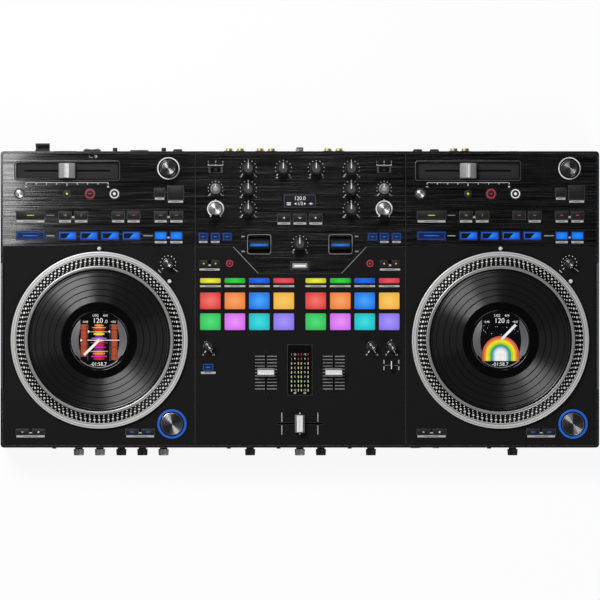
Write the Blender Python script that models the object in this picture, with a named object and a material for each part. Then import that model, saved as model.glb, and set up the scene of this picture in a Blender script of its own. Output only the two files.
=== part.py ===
"""Two-deck DJ controller: motorised platters either side of a scratch mixer, in one flat case.

The frame has +X to the operator's right, +Y to the rear and +Z up. The origin is on the floor
under the middle of the case. Every length is in metres.

Each deck is the same layout, copied from one side of the mixer to the other and not mirrored.
Places on a plate are shares of that plate, so they follow it when its size changes.
"""

import math

import bmesh
import bpy
from mathutils import Matrix, Vector

# The platter sets the deck round it; the mixer and the upper plates have their own sizes
PLATTER_RADIUS = 0.1090
PLATTER_SIDE_MARGIN = 0.00925
PLATTER_REAR_MARGIN = 0.00658
PLATTER_FRONT_MARGIN = 0.02082
MIXER_WIDTH = 0.2596
UPPER_DEPTH = 0.1146
DECK_WIDTH = 2 * (PLATTER_RADIUS + PLATTER_SIDE_MARGIN)
LOWER_DEPTH = PLATTER_REAR_MARGIN + 2 * PLATTER_RADIUS + PLATTER_FRONT_MARGIN

# Case and plates
WALL = 0.0027
CASE_CORNER = 0.0037
CASE_FLOOR = 0.0025
PANEL_TOP_Z = 0.054
FOOT_HEIGHT = 0.006
WALL_ROW_Z = 0.028
PLATE_THICKNESS = 0.002
LEDGE = 0.0018
SEAT_GAP = 0.0003
RUNNING_GAP = 0.0004
SEAM_GAP = 0.0006
RIB_WIDTH = 0.006
RIB_FRONT_GAP = 0.0177
OVERRUN = 0.004
DECK_INSET = 0.0009
MERGE_DISTANCE = 0.00001
SMOOTH_ANGLE_DEG = 35

CASE_WIDTH = MIXER_WIDTH + 2 * DECK_WIDTH + 2 * WALL
CASE_DEPTH = UPPER_DEPTH + LOWER_DEPTH + 2 * WALL
SEAM_Y = LOWER_DEPTH + WALL - CASE_DEPTH / 2
SEAM_X = MIXER_WIDTH / 2
PLATE_UNDERSIDE_Z = PANEL_TOP_Z - PLATE_THICKNESS
CASE_FLOOR_Z = FOOT_HEIGHT + CASE_FLOOR
DECK_CENTRE = SEAM_X + DECK_WIDTH / 2
DECK_AXIS_X = DECK_CENTRE - DECK_INSET
DECK_HALF = DECK_AXIS_X - SEAM_X

# Hand grips let into both ends of the case
GRIP_LENGTH = 0.1553
GRIP_HEIGHT = 0.019
GRIP_DEPTH = 0.013
GRIP_Z = 0.031
GRIP_FILLET = 0.005
GRIP_Y_SHARE = 0.40
GRIP_SKIN = 0.0025
GRIP_CHAMFER = 0.0018

# Chevron where the mixer's upper plate runs down between the pad banks
CHEVRON_TOP_SHARE, CHEVRON_BOTTOM_SHARE, CHEVRON_DROP_SHARE = 0.6317, 0.3944, 0.13325
CHEVRON_TOP_HALF = CHEVRON_TOP_SHARE * SEAM_X
CHEVRON_BOTTOM_HALF = CHEVRON_BOTTOM_SHARE * SEAM_X
CHEVRON_DROP = CHEVRON_DROP_SHARE * LOWER_DEPTH

# Platter, record and the jog display that stands still in their middle; radii are shares of the next one out
FLANGE_INNER_SHARE, CREST_OUTER_SHARE, CREST_INNER_SHARE = 0.9394, 0.8376, 0.8055
PLATTER_FLANGE_INNER = FLANGE_INNER_SHARE * PLATTER_RADIUS
PLATTER_CREST_OUTER = CREST_OUTER_SHARE * PLATTER_RADIUS
PLATTER_CREST_INNER = CREST_INNER_SHARE * PLATTER_RADIUS
PLATTER_LIFT = 0.0015
PLATTER_FLANGE_HEIGHT = 0.003
PLATTER_HEIGHT = 0.011
PLATTER_BED_DROP = 0.0026
PLATTER_WEB = 0.0035
PLATTER_RIM_WALL = 0.004
HUB_RADIUS = 0.017
HUB_REACH = 0.014
PLATTER_SIDES = 36
RECORD_CLEARANCE = 0.0007
RECORD_RADIUS = PLATTER_CREST_INNER - RECORD_CLEARANCE
RECORD_THICKNESS = 0.0020
RECORD_BEAD_HEIGHT = 0.0004
RECORD_BEAD_WIDTH = 0.0022
LABEL_SHARE, DISPLAY_SHARE = 0.5316, 0.4145
RECORD_LABEL_RADIUS = LABEL_SHARE * RECORD_RADIUS
RECORD_GROOVE_DROP = 0.0003
DISPLAY_RADIUS = DISPLAY_SHARE * RECORD_RADIUS
DISPLAY_THICKNESS = 0.0036
DISPLAY_BEZEL = 0.0012
DISPLAY_POST_RADIUS = 0.0115
DISPLAY_SIDES = 28
MOTOR_RADIUS = 0.042
MOTOR_BASE_RADIUS = 0.055
MOTOR_BASE_HEIGHT = 0.004
MOTOR_DROP = 0.002
MOTOR_SIDES = 20

# Tempo slider: a tray sunk in the upper plate, with a cap that rides in its slot
TRAY_LENGTH_SHARE = 0.5535
TRAY_LENGTH = TRAY_LENGTH_SHARE * DECK_WIDTH
TRAY_WIDTH = 0.0252
TRAY_LIP_WIDTH = 0.0026
TRAY_LIP_HEIGHT = 0.0006
TRAY_SINK = 0.0030
TRAY_FLOOR = 0.0014
TRAY_WALL = 0.0009
TRAY_SHELL = 0.0012
TRAY_CORNER = 0.0016
TRAY_END_MARGIN = 0.0120
TEMPO_SLOT_LENGTH = TRAY_LENGTH - 2 * TRAY_END_MARGIN
SLOT_WIDTH = 0.0022
TEMPO_CAP_LENGTH = 0.0205
TEMPO_CAP_DEPTH = 0.0185
TEMPO_CAP_HEIGHT = 0.0115
TEMPO_X_SHARE = -0.339
TEMPO_Y_SHARE = 0.814

# Mixer faders
FADER_SLOT_LENGTH = 0.0524
FADER_CAP_LENGTH = 0.0214
FADER_CAP_DEPTH = 0.0107
FADER_CAP_HEIGHT = 0.0125
CROSS_SLOT_LENGTH = 0.0564
CROSS_CAP_LENGTH = 0.0217
CROSS_CAP_DEPTH = 0.0121
CAP_LIFT = 0.0012
CAP_GROOVE = 0.0009
CAP_CROWN_SHARE, CAP_SHOULDER_SHARE = 0.36, 0.25
STEM_WIDTH = 0.0012
STEM_LENGTH = 0.0045
STEM_REACH = 0.0085
TRACK_WIDTH = 0.0125
TRACK_WALL = 0.0016
TRACK_OVERHANG = 0.006
CHANNEL_X_SHARE = 0.322
CHANNEL_Y_SHARE = 0.633
CROSSFADER_Y_SHARE = 0.890

# Rotary controls
SHAFT_RADIUS = 0.0030
SHAFT_REACH = 0.0045
KNOB_LIFT = 0.0008
TONE_KNOB_RADIUS = 0.0076
TONE_KNOB_HEIGHT = 0.0165
TRIM_KNOB_RADIUS = 0.0066
TRIM_KNOB_HEIGHT = 0.0150
FILTER_KNOB_RADIUS = 0.0080
FILTER_KNOB_HEIGHT = 0.0170
SMALL_KNOB_RADIUS = 0.0065
SMALL_KNOB_HEIGHT = 0.0130
SELECTOR_RADIUS = 0.0107
SELECTOR_HEIGHT = 0.0196
SELECTOR_RING_RADIUS = 0.0137
SELECTOR_RING_HEIGHT = 0.0008
SELECTOR_RING_WALL = 0.0010
KNOB_FLUTE = 0.0004
POINTER_RISE = 0.0007
KNOB_SKIRT_FLARE = 0.0011
KNOB_SKIRT_HEIGHT = 0.0030
POT_SIZE = 0.0098
KNOB_SIDES = 10
FRONT_KNOB_RADIUS = 0.0063
FRONT_KNOB_COLLAR_RADIUS = 0.0046
FRONT_KNOB_REACH = 0.0100
FRONT_KNOB_COLLAR = 0.0022
FRONT_KNOB_NOSE_RADIUS = 0.0059

# Keys, buttons and pads
KEY_DEPTH = 0.0092
CUE_KEY_DEPTH = 0.0097
KEY_RISE = 0.0012
KEY_BEVEL = 0.0005
KEY_CLEARANCE = 0.00035
KEY_WEB_MARGIN = 0.0014
KEY_WEB_THICKNESS = 0.0012
ROUND_KEY_RADIUS = 0.0059
SMALL_ROUND_KEY_RADIUS = 0.0048
RESET_KEY_RADIUS = 0.0037
BACK_KEY_WIDTH_SHARE, LOAD_KEY_WIDTH_SHARE = 0.0512, 0.0799
BACK_KEY_WIDTH = BACK_KEY_WIDTH_SHARE * DECK_WIDTH
BACK_KEY_DEPTH = 0.0101
LOAD_KEY_WIDTH = LOAD_KEY_WIDTH_SHARE * DECK_WIDTH
LOAD_KEY_DEPTH = 0.0165
BEND_KEY_DEPTH = 0.0065
BEND_KEY_WIDTH_SHARE, BEND_KEY_PITCH_SHARE = 0.0626, 0.0841
BEND_KEY_WIDTH = BEND_KEY_WIDTH_SHARE * DECK_WIDTH
BEND_KEY_PITCH = BEND_KEY_PITCH_SHARE * DECK_WIDTH
MODE_KEY_DEPTH = 0.0069
PAD_WIDTH_SHARE, PAD_DEPTH_SHARE = 0.2003, 0.0864
PAD_WIDTH = PAD_WIDTH_SHARE * SEAM_X
PAD_DEPTH = PAD_DEPTH_SHARE * LOWER_DEPTH
PAD_RISE = 0.0022
PAD_BEVEL = 0.0010
EFFECT_KEY_WIDTH_SHARE = 0.1171
EFFECT_KEY_WIDTH = EFFECT_KEY_WIDTH_SHARE * SEAM_X
EFFECT_KEY_DEPTH = 0.0091
FX_KEY_WIDTH = 0.0107
FX_KEY_DEPTH = 0.0089
SHIFT_KEY_WIDTH = 0.0214
PARAMETER_KEY_WIDTH = 0.0102
PARAMETER_KEY_DEPTH = 0.0085
ECHO_KEY_WIDTH = 0.0131
ROUND_KEY_SIDES = 12
START_RING_SHARE = 0.07696
START_RING_WIDTH = 0.0043
START_RING_RADIUS = START_RING_SHARE * DECK_WIDTH
START_BUTTON_RADIUS = START_RING_RADIUS - START_RING_WIDTH
START_BUTTON_RISE = 0.0032
START_RING_RISE = 0.0020
START_RING_GROOVE = 0.0004
START_RING_GROOVE_DEPTH = 0.0008
START_BUTTON_DROP = 0.0060
START_SIDES = 24
LAMP_RADIUS = 0.0024
LAMP_RISE = 0.0040
LAMP_GAP = 0.0013
LAMP_ORBIT = PLATTER_RADIUS + LAMP_GAP + LAMP_RADIUS

# Effect paddles
BEZEL_WIDTH = 0.0296
BEZEL_DEPTH = 0.0248
BEZEL_CORNER = 0.0030
BEZEL_RISE = 0.0010
BEZEL_RIM = 0.0022
BEZEL_SINK = 0.0050
PADDLE_WIDTH = 0.0240
PADDLE_BARREL_RADIUS = 0.0078
PADDLE_AXIS_DROP = 0.0052
PADDLE_BLADE_THICKNESS = 0.0040
PADDLE_BLADE_RISE = 0.0130
PADDLE_BLADE_Y_SHARE = 0.12
PADDLE_ARC_STEPS = 12
BEZEL_X_SHARE = 0.386
BEZEL_Y_SHARE = 0.022

# Windows
SCREEN_WIDTH = 0.0393
SCREEN_DEPTH = 0.0159
METER_WIDTH = 0.0309
METER_DEPTH = 0.0625
WINDOW_RISE = 0.0004

# Slide switches
SWITCH_OPENING_LENGTH = 0.0088
SWITCH_OPENING_WIDTH = 0.0040
SWITCH_LEVER = 0.0030
SWITCH_LEVER_RISE = 0.0025
SWITCH_SHOE_LENGTH = 0.0070
SWITCH_SHOE_THICKNESS = 0.0010
CUE_LEVER_DEPTH = 0.0118
CUE_SLOT_LENGTH = 0.0160
CUE_LEVER_RISE = 0.0075
FRONT_SWITCH_WIDTH = 0.0050
FRONT_SWITCH_REACH = 0.0018
FRONT_SWITCH_HEIGHT = 0.0030
FRONT_SWITCH_ROOM = 0.0028

# Inside the case
BOARD_DROP = 0.0150
BOARD_THICKNESS = 0.0016
STOP_KNOB_X_SHARE, STOP_KNOB_Y_SHARE = 0.722, 0.0844
BOARD_REAR_GAP = 0.0157
BOARD_FRONT_GAP = 0.0177
BOARD_SIDE_GAP = 0.0210
BOARD_STEM_GAP = 0.0088
BOARD_KNOB_MARGIN = 0.0087
BOARD_REAR = CASE_DEPTH / 2 - BOARD_REAR_GAP
BOARD_FRONT = CASE_DEPTH / 2 - BOARD_FRONT_GAP
BOARD_HALF_WIDTH = CASE_WIDTH / 2 - BOARD_SIDE_GAP
STEM_BOARD_HALF_WIDTH = SEAM_X - BOARD_STEM_GAP
BOARD_SHOULDER = SEAM_Y - STOP_KNOB_Y_SHARE * LOWER_DEPTH - BOARD_KNOB_MARGIN
BOARD_POST_RADIUS = 0.0030
BOARD_POST_INSET = 0.007
SEAM_POST_RADIUS = 0.0026
POST_CLEARANCE = 0.0008
SUPPLY_WIDTH = 0.086
SUPPLY_DEPTH = 0.052
SUPPLY_HEIGHT = 0.018
SUPPLY_BEVEL = 0.002
SUPPLY_REAR_GAP = 0.034
POST_SIDES = 6

# Feet
FOOT_RADIUS = 0.014
FOOT_WAIST_RADIUS = 0.0115
FOOT_INSET = 0.034
FOOT_SIDES = 10

# Rear sockets
PHONO_RADIUS = 0.00415
PHONO_BORE_RADIUS = 0.0016
PHONO_REACH = 0.0040
PHONO_BODY_HEIGHT = 0.0120
PHONO_BODY_MARGIN = 0.0060
PHONO_PITCH = 0.0142
SOCKET_DEPTH = 0.012
RAIL_THICKNESS = 0.0016
RAIL_HEIGHT = 0.018
JACK_RADIUS = 0.0051
JACK_BORE_RADIUS = 0.0033
JACK_REACH = 0.0030
JACK_BODY = 0.0130
COMBO_RADIUS = 0.0112
COMBO_REACH = 0.0018
MINI_JACK_RADIUS = 0.0032
MINI_JACK_BORE_RADIUS = 0.0018
PHONES_REACH = 0.0007
GROUND_RADIUS = 0.0043
GROUND_REACH = 0.0052
TRIMMER_RADIUS = 0.0028
TRIMMER_REACH = 0.0047
POWER_SWITCH_WIDTH = 0.0210
POWER_SWITCH_HEIGHT = 0.0140
POWER_SWITCH_REACH = 0.0040
POWER_FRAME_WALL = 0.0012
POWER_FRAME_REACH = 0.0026
ROCKER_WIDTH = 0.0166
ROCKER_DIP = 0.0014
ROCKER_DEPTH = 0.0050
ROCKER_POCKET_DEPTH = 0.0085
ROCKER_WAIST_SHARE = 0.8
INLET_WIDTH = 0.0270
INLET_HEIGHT = 0.0195
INLET_WALL = 0.0020
INLET_PIN = 0.0020
INLET_PIN_SPACING = 0.0070
USB_WIDTH = 0.0120
USB_HEIGHT = 0.0108
USB_WALL = 0.0012
USB_TONGUE = 0.0035
FLUSH_REACH = 0.0006
SOCKET_SIDES = 8
COMBO_SIDES = 16
HOOK_WIDTH = 0.0173
HOOK_REACH = 0.0100
HOOK_HEIGHT = 0.012
HOOK_WALL = 0.0022
HOOK_Z = 0.036
HOOK_PLATE = 0.002

# Shares: across a plate from its middle to its edge, along it from the seam to its far edge
SELECTOR_X_SHARE, SELECTOR_Y_SHARE = 0.726, 0.839
BUTTON_ROW_SHARE, LOOP_ROW_SHARE, CUE_ROW_SHARE = 0.566, 0.334, 0.114
TEMPO_RANGE_SHARE, RESET_SHARE, KEY_LOCK_SHARE, SYNC_SHARE = -0.838, -0.339, -0.098, 0.158
BACK_KEY_SHARE, LOAD_KEY_SHARE, LOAD_ROW_SHARE = 0.633, 0.801, 0.578
KEY_FIELD_SHARE = 0.869
LOOP_KEY_SHARES = ((0.0, 0.168), (0.255, 0.328), (0.352, 0.428))
SLIP_KEY_SHARES = ((0.577, 0.648), (0.670, 0.743), (0.834, 0.906), (0.928, 1.0))
CUE_KEY_SHARES = (
    (0.0, 0.168), (0.255, 0.360), (0.383, 0.488), (0.510, 0.615), (0.637, 0.742),
    (0.834, 0.906), (0.928, 1.0),
)
START_X_SHARE, START_Y_SHARE = 0.763, 0.892
BEND_X_SHARE, SELECT_X_SHARE, BEND_Y_SHARE = -0.722, 0.428, 0.9325
LAMP_ANGLES_DEG = (90.0, 40.0)
TONE_X_SHARE, TRIM_X_SHARE, LEVEL_X_SHARE = 0.489, 0.800, 0.156
TONE_ROW_SHARES = (0.836, 0.616, 0.400)
TRIM_ROW_SHARE, FILTER_ROW_SHARE, INPUT_ROW_SHARE = 0.620, 0.404, 0.824
SCREEN_ROW_SHARE, EFFECT_ROW_SHARE, FX_ROW_SHARE, DEPTH_KNOB_SHARE = 0.487, 0.306, 0.104, 0.027
EFFECT_X_SHARES = (-0.151, 0.0, 0.151)
FX_X_SHARES = (0.690, 0.803, 0.917)
SHIFT_DROP_SHARE = 0.731
PARAMETER_ROW_SHARE, PARAMETER_X_SHARES, SILENT_X_SHARE = 0.0864, (0.799, 0.914), 0.666
MODE_ROW_SHARE, PAD_ROW_SHARES = 0.1724, (0.2738, 0.3786)
PAD_X_SHARES = (0.152, 0.384, 0.617, 0.849)
SMALL_KNOB_ROW_SHARE, OUTER_KNOB_SHARE, INNER_KNOB_SHARE = 0.5008, 0.869, 0.683
ECHO_ROW_SHARE, METER_ROW_SHARE, CUE_SLIDER_ROW_SHARE = 0.607, 0.6206, 0.596
SEAM_POST_SHARES = (0.5, 0.86)
CHEVRON_POST_SHARE = 0.27
FRONT_KNOB_SHARES = (-0.741, -0.670, -0.598, -0.528, -0.457, -0.1665, 0.0, 0.0708, 0.238, 0.713)
FRONT_SWITCH_SHARES = (-0.823, -0.238, -0.0715, 0.167, 0.634)
PHONES_SHARE, MINI_PHONES_SHARE = 0.387, 0.456
PHONO_PAIR_SHARES = (-0.218, -0.114, 0.113, 0.536)
JACK_SHARES = (-0.409, 0.395, 0.451)
COMBO_SHARE, GROUND_SHARE = -0.538, 0.0
TRIMMER_SHARES = (-0.619, -0.456)
POWER_SHARE, INLET_SHARE, USB_SHARES, HOOK_SHARE = -0.696, -0.785, (0.650, 0.715), -0.861
SIDES = ((-1, "left"), (1, "right"))


def material(name, colour, roughness, metallic=0.0):
    """A plain Principled material."""
    made = bpy.data.materials.new(name)
    made.use_nodes = True
    shader = made.node_tree.nodes["Principled BSDF"]
    shader.inputs["Base Color"].default_value = (*colour, 1.0)
    shader.inputs["Roughness"].default_value = roughness
    shader.inputs["Metallic"].default_value = metallic
    return made


def make_materials():
    """Every finish on the controller, by name."""
    return {
        "case_black": material("case_black", (0.020, 0.020, 0.021), 0.45),
        "brushed_plate": material("brushed_plate", (0.030, 0.030, 0.031), 0.32, 0.85),
        "matt_panel": material("matt_panel", (0.013, 0.013, 0.014), 0.50),
        "platter_metal": material("platter_metal", (0.62, 0.62, 0.63), 0.28, 0.9),
        "record_black": material("record_black", (0.012, 0.012, 0.012), 0.22),
        "knob_black": material("knob_black", (0.025, 0.025, 0.026), 0.40),
        "knob_grey": material("knob_grey", (0.22, 0.22, 0.22), 0.40),
        "bright_metal": material("bright_metal", (0.72, 0.72, 0.73), 0.18, 1.0),
        "cap_silver": material("cap_silver", (0.66, 0.66, 0.66), 0.30, 0.4),
        "key_black": material("key_black", (0.030, 0.030, 0.031), 0.38),
        "pad_rubber": material("pad_rubber", (0.55, 0.55, 0.60), 0.50),
        "glass_black": material("glass_black", (0.008, 0.008, 0.009), 0.08),
        "socket_black": material("socket_black", (0.015, 0.015, 0.015), 0.35),
        "board_green": material("board_green", (0.02, 0.14, 0.06), 0.45),
        "can_steel": material("can_steel", (0.45, 0.45, 0.46), 0.35, 0.9),
    }


def new_object(name, mesh):
    """An object in the scene made from a bmesh, which is freed."""
    data = bpy.data.meshes.new(name)
    bmesh.ops.recalc_face_normals(mesh, faces=mesh.faces)
    mesh.to_mesh(data)
    mesh.free()
    made = bpy.data.objects.new(name, data)
    bpy.context.scene.collection.objects.link(made)
    return made


def prism(outline, low, high, name="prism"):
    """A closed outline in plan, extruded from one height to another."""
    return loft([at_height(outline, low), at_height(outline, high)], name)


def turned(profile, sides, name="turned"):
    """A closed outline of (radius, height) points, spun round the vertical axis."""
    mesh = bmesh.new()
    points = [mesh.verts.new((radius, 0, height)) for radius, height in profile]
    edges = [mesh.edges.new(pair) for pair in zip(points, points[1:] + points[:1])]
    bmesh.ops.spin(
        mesh, geom=points + edges, axis=(0, 0, 1), cent=(0, 0, 0), angle=math.tau, steps=sides,
        use_merge=True,
    )
    bmesh.ops.remove_doubles(mesh, verts=mesh.verts, dist=MERGE_DISTANCE)
    bmesh.ops.dissolve_degenerate(mesh, edges=mesh.edges, dist=MERGE_DISTANCE)
    loose = [edge for edge in mesh.edges if not edge.link_faces]
    bmesh.ops.delete(mesh, geom=loose, context="EDGES")
    return new_object(name, mesh)


def loft(rings, name="loft"):
    """A closed body skinned over rings with equal numbers of points, capped at both ends."""
    mesh = bmesh.new()
    loops = [[mesh.verts.new(point) for point in ring] for ring in rings]
    for lower, upper in zip(loops, loops[1:]):
        for here, there in zip(range(-1, len(lower) - 1), range(len(lower))):
            mesh.faces.new((lower[here], lower[there], upper[there], upper[here]))
    mesh.faces.new(loops[0])
    mesh.faces.new(loops[-1])
    return new_object(name, mesh)


def rectangle(width, depth, centre=(0, 0)):
    """Corners of a rectangle in plan."""
    x, y = centre
    return [
        (x - width / 2, y - depth / 2), (x + width / 2, y - depth / 2),
        (x + width / 2, y + depth / 2), (x - width / 2, y + depth / 2),
    ]


def rounded(width, depth, radius, centre=(0, 0), steps=2):
    """Outline of a rectangle whose corners are quarter circles."""
    outline = []
    for quarter, (sx, sy) in enumerate(((1, 1), (-1, 1), (-1, -1), (1, -1))):
        corner = (centre[0] + sx * (width / 2 - radius), centre[1] + sy * (depth / 2 - radius))
        for step in range(steps + 1):
            angle = (quarter + step / steps) * math.pi / 2
            outline.append((corner[0] + radius * math.cos(angle), corner[1] + radius * math.sin(angle)))
    return outline


def circle(radius, centre=(0, 0), sides=ROUND_KEY_SIDES):
    """Outline of a regular polygon that stands for a circle."""
    x, y = centre
    turns = [math.tau * i / sides for i in range(sides)]
    return [(x + radius * math.cos(turn), y + radius * math.sin(turn)) for turn in turns]


def at_height(outline, height):
    """An outline in plan lifted to a height, as a ring for a loft."""
    return [(x, y, height) for x, y in outline]


def block(width, depth, low, high, centre=(0, 0)):
    """A rectangular block between two heights."""
    return prism(rectangle(width, depth, centre), low, high)


def moved(piece, x=0.0, y=0.0, z=0.0):
    """The piece with its mesh shifted."""
    piece.data.transform(Matrix.Translation((x, y, z)))
    return piece


def joined(pieces, name="joined"):
    """Pieces put into one object, still as separate bodies."""
    mesh = bmesh.new()
    for piece in pieces:
        mesh.from_mesh(piece.data)
        bpy.data.objects.remove(piece)
    return new_object(name, mesh)


def combined(piece, tools, operation):
    """The piece with a Boolean by all the tools at once, applied."""
    tool = joined(tools)
    modifier = piece.modifiers.new(operation.lower(), "BOOLEAN")
    modifier.operation = operation
    modifier.solver = "EXACT"
    modifier.use_self = True
    modifier.object = tool
    bpy.context.view_layer.update()
    shape = piece.evaluated_get(bpy.context.evaluated_depsgraph_get())
    data = bpy.data.meshes.new_from_object(shape)
    piece.modifiers.clear()
    piece.data = data
    bpy.data.objects.remove(tool)
    return piece


def cut(piece, tools):
    """The piece with the tools taken out of it."""
    return combined(piece, tools, "DIFFERENCE")


def fused(piece, tools):
    """The piece with the tools, which overlap it, made part of it."""
    return combined(piece, tools, "UNION")


def node(name, piece, finish, pivot=(0, 0, 0)):
    """One named sub-part of the controller, with its origin on its own axis."""
    piece.name = name
    piece.data.name = name
    piece.data.materials.clear()
    piece.data.materials.append(finish)
    piece.data.transform(Matrix.Translation(-Vector(pivot)))
    piece.location = pivot
    piece.data.shade_smooth()
    piece.data.set_sharp_from_angle(angle=math.radians(SMOOTH_ANGLE_DEG))
    return piece


def deck_axis(side):
    """X of a deck's platter axis; side is -1 on the left and 1 on the right."""
    return side * DECK_AXIS_X


def deck_x(side, share):
    """X of a place on a deck, as a share of the way from the platter axis to the seam."""
    return deck_axis(side) + share * DECK_HALF


def upper_y(share):
    """Y of a place above the seam, as a share of the upper plates' depth."""
    return SEAM_Y + share * UPPER_DEPTH


def lower_y(share):
    """Y of a place below the seam, as a share of the lower panels' depth."""
    return SEAM_Y - share * LOWER_DEPTH


def mixer_x(share):
    """X of a place on the mixer, as a share of half its width."""
    return share * SEAM_X


def case_x(share):
    """X of a place on the front or rear wall, as a share of half the case's width."""
    return share * CASE_WIDTH / 2


def platter_centre(side):
    """Plan position of a platter's axis."""
    return deck_axis(side), SEAM_Y - PLATTER_REAR_MARGIN - PLATTER_RADIUS


class Key:
    """One key top: its place and size in plan, and whether it is round."""

    def __init__(self, centre, width, depth=0.0, is_round=False):
        self.centre = centre
        self.width = width
        self.depth = depth
        self.is_round = is_round

    def outline(self, grow=0.0):
        """The key's outline, grown or shrunk all round."""
        if self.is_round:
            return circle(self.width / 2 + grow, self.centre)
        return rectangle(self.width + 2 * grow, self.depth + 2 * grow, self.centre)

    def hole(self):
        """The cutter for this key's opening in its plate."""
        return prism(self.outline(KEY_CLEARANCE), PLATE_UNDERSIDE_Z - OVERRUN, PANEL_TOP_Z + OVERRUN)

    def top(self, rise, bevel):
        """The key top with its bevelled crown, rising from the middle of the web."""
        low, high = web_heights()
        crown = PANEL_TOP_Z + rise
        return loft([
            at_height(self.outline(), (low + high) / 2),
            at_height(self.outline(), crown - bevel),
            at_height(self.outline(-bevel), crown),
        ])


def round_key(centre, radius):
    """A round key top."""
    return Key(centre, 2 * radius, is_round=True)


def web_heights():
    """Lower and upper face of a key bank's web, which lies just under the plates."""
    high = PLATE_UNDERSIDE_Z - SEAT_GAP
    return high - KEY_WEB_THICKNESS, high


def span(keys):
    """Left, right, front and rear edge of a web patch that covers the keys."""
    points = [point for key in keys for point in key.outline(KEY_WEB_MARGIN)]
    xs, ys = [x for x, _ in points], [y for _, y in points]
    return min(xs), max(xs), min(ys), max(ys)


def web_patch(left, right, front, rear):
    """A rectangular patch of web between four edges."""
    return block(right - left, rear - front, *web_heights(), ((left + right) / 2, (front + rear) / 2))


def key_bank(groups, links, rise, bevel):
    """Keys moulded on one web: a patch under each group, links between them, and the key tops."""
    patches = [web_patch(*span(group)) for group in groups] + [web_patch(*link) for link in links]
    tops = [key.top(rise, bevel) for group in groups for key in group]
    bank = patches.pop(0)
    return fused(fused(bank, patches) if patches else bank, tops)


def field_keys(side, shares, row, depth):
    """Keys whose left and right edges are shares of a deck's key field."""
    field = 2 * KEY_FIELD_SHARE * DECK_HALF
    left = deck_axis(side) - field / 2
    return [
        Key((left + (start + end) / 2 * field, upper_y(row)), (end - start) * field, depth)
        for start, end in shares
    ]


def pair_keys(centre, row):
    """Two keys side by side about a centre, such as the pitch bend pair."""
    return [
        Key((centre + hand * BEND_KEY_PITCH / 2, lower_y(row)), BEND_KEY_WIDTH, BEND_KEY_DEPTH)
        for hand in (-1, 1)
    ]


def deck_keys(side):
    """Every key in a deck's upper plate."""
    row = upper_y(BUTTON_ROW_SHARE)
    load_row = upper_y(LOAD_ROW_SHARE)
    return [
        round_key((deck_x(side, TEMPO_RANGE_SHARE), row), ROUND_KEY_RADIUS),
        round_key((deck_x(side, RESET_SHARE), row), RESET_KEY_RADIUS),
        round_key((deck_x(side, KEY_LOCK_SHARE), row), ROUND_KEY_RADIUS),
        round_key((deck_x(side, SYNC_SHARE), row), ROUND_KEY_RADIUS),
        Key((deck_x(side, BACK_KEY_SHARE), load_row), BACK_KEY_WIDTH, BACK_KEY_DEPTH),
        Key((deck_x(side, LOAD_KEY_SHARE), load_row), LOAD_KEY_WIDTH, LOAD_KEY_DEPTH),
        *field_keys(side, LOOP_KEY_SHARES, LOOP_ROW_SHARE, KEY_DEPTH),
        *field_keys(side, SLIP_KEY_SHARES, LOOP_ROW_SHARE, KEY_DEPTH),
        *field_keys(side, CUE_KEY_SHARES, CUE_ROW_SHARE, CUE_KEY_DEPTH),
    ]


def bend_keys(side):
    """Pitch bend pair and deck select pair, in front of the platter."""
    return [
        *pair_keys(deck_x(side, BEND_X_SHARE), BEND_Y_SHARE),
        *pair_keys(deck_x(side, SELECT_X_SHARE), BEND_Y_SHARE),
    ]


def effect_keys():
    """The effect keys in three groups: the middle row, then the select keys of each side, then shift."""
    middle = [
        Key((mixer_x(share), upper_y(EFFECT_ROW_SHARE)), EFFECT_KEY_WIDTH, EFFECT_KEY_DEPTH)
        for share in EFFECT_X_SHARES
    ]
    select = [
        [
            Key((side * mixer_x(share), upper_y(FX_ROW_SHARE)), FX_KEY_WIDTH, FX_KEY_DEPTH)
            for share in FX_X_SHARES
        ]
        for side in (-1, 1)
    ]
    shift = [Key((0, SEAM_Y - SHIFT_DROP_SHARE * CHEVRON_DROP), SHIFT_KEY_WIDTH, FX_KEY_DEPTH)]
    return [middle, *select, shift]


def parameter_keys(side):
    """Two parameter keys and the round silent cue key."""
    row = lower_y(PARAMETER_ROW_SHARE)
    keys = [
        Key((side * mixer_x(share), row), PARAMETER_KEY_WIDTH, PARAMETER_KEY_DEPTH)
        for share in PARAMETER_X_SHARES
    ]
    return [*keys, round_key((side * mixer_x(SILENT_X_SHARE), row), SMALL_ROUND_KEY_RADIUS)]


def echo_key():
    """The single key below the sampler knob."""
    return Key((-mixer_x(OUTER_KNOB_SHARE), lower_y(ECHO_ROW_SHARE)), ECHO_KEY_WIDTH, PARAMETER_KEY_DEPTH)


def pad_keys(side):
    """The eight performance pads of one side."""
    return [
        Key((side * mixer_x(share), lower_y(row)), PAD_WIDTH, PAD_DEPTH)
        for row in PAD_ROW_SHARES for share in PAD_X_SHARES
    ]


def mode_keys(side):
    """The four pad mode keys of one side."""
    row = lower_y(MODE_ROW_SHARE)
    return [Key((side * mixer_x(share), row), PAD_WIDTH, MODE_KEY_DEPTH) for share in PAD_X_SHARES]


class Control:
    """A rotary control on the top: node name, place, radius, height and finish."""

    def __init__(self, name, place, radius, height, finish, points=True):
        self.name = name
        self.points = points
        self.x, self.y = place
        self.radius = radius
        self.height = height
        self.finish = finish

    def hole(self):
        """The cutter for the shaft's opening in the plate."""
        low, high = PLATE_UNDERSIDE_Z - OVERRUN, PANEL_TOP_Z + OVERRUN
        return prism(circle(SHAFT_RADIUS + RUNNING_GAP, (self.x, self.y), SOCKET_SIDES), low, high)

    def pot(self):
        """The potentiometer that stands on the board under the shaft."""
        low = PANEL_TOP_Z - BOARD_DROP - BOARD_THICKNESS / 2
        return block(POT_SIZE, POT_SIZE, low, PANEL_TOP_Z - SHAFT_REACH - SEAT_GAP, (self.x, self.y))


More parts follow.
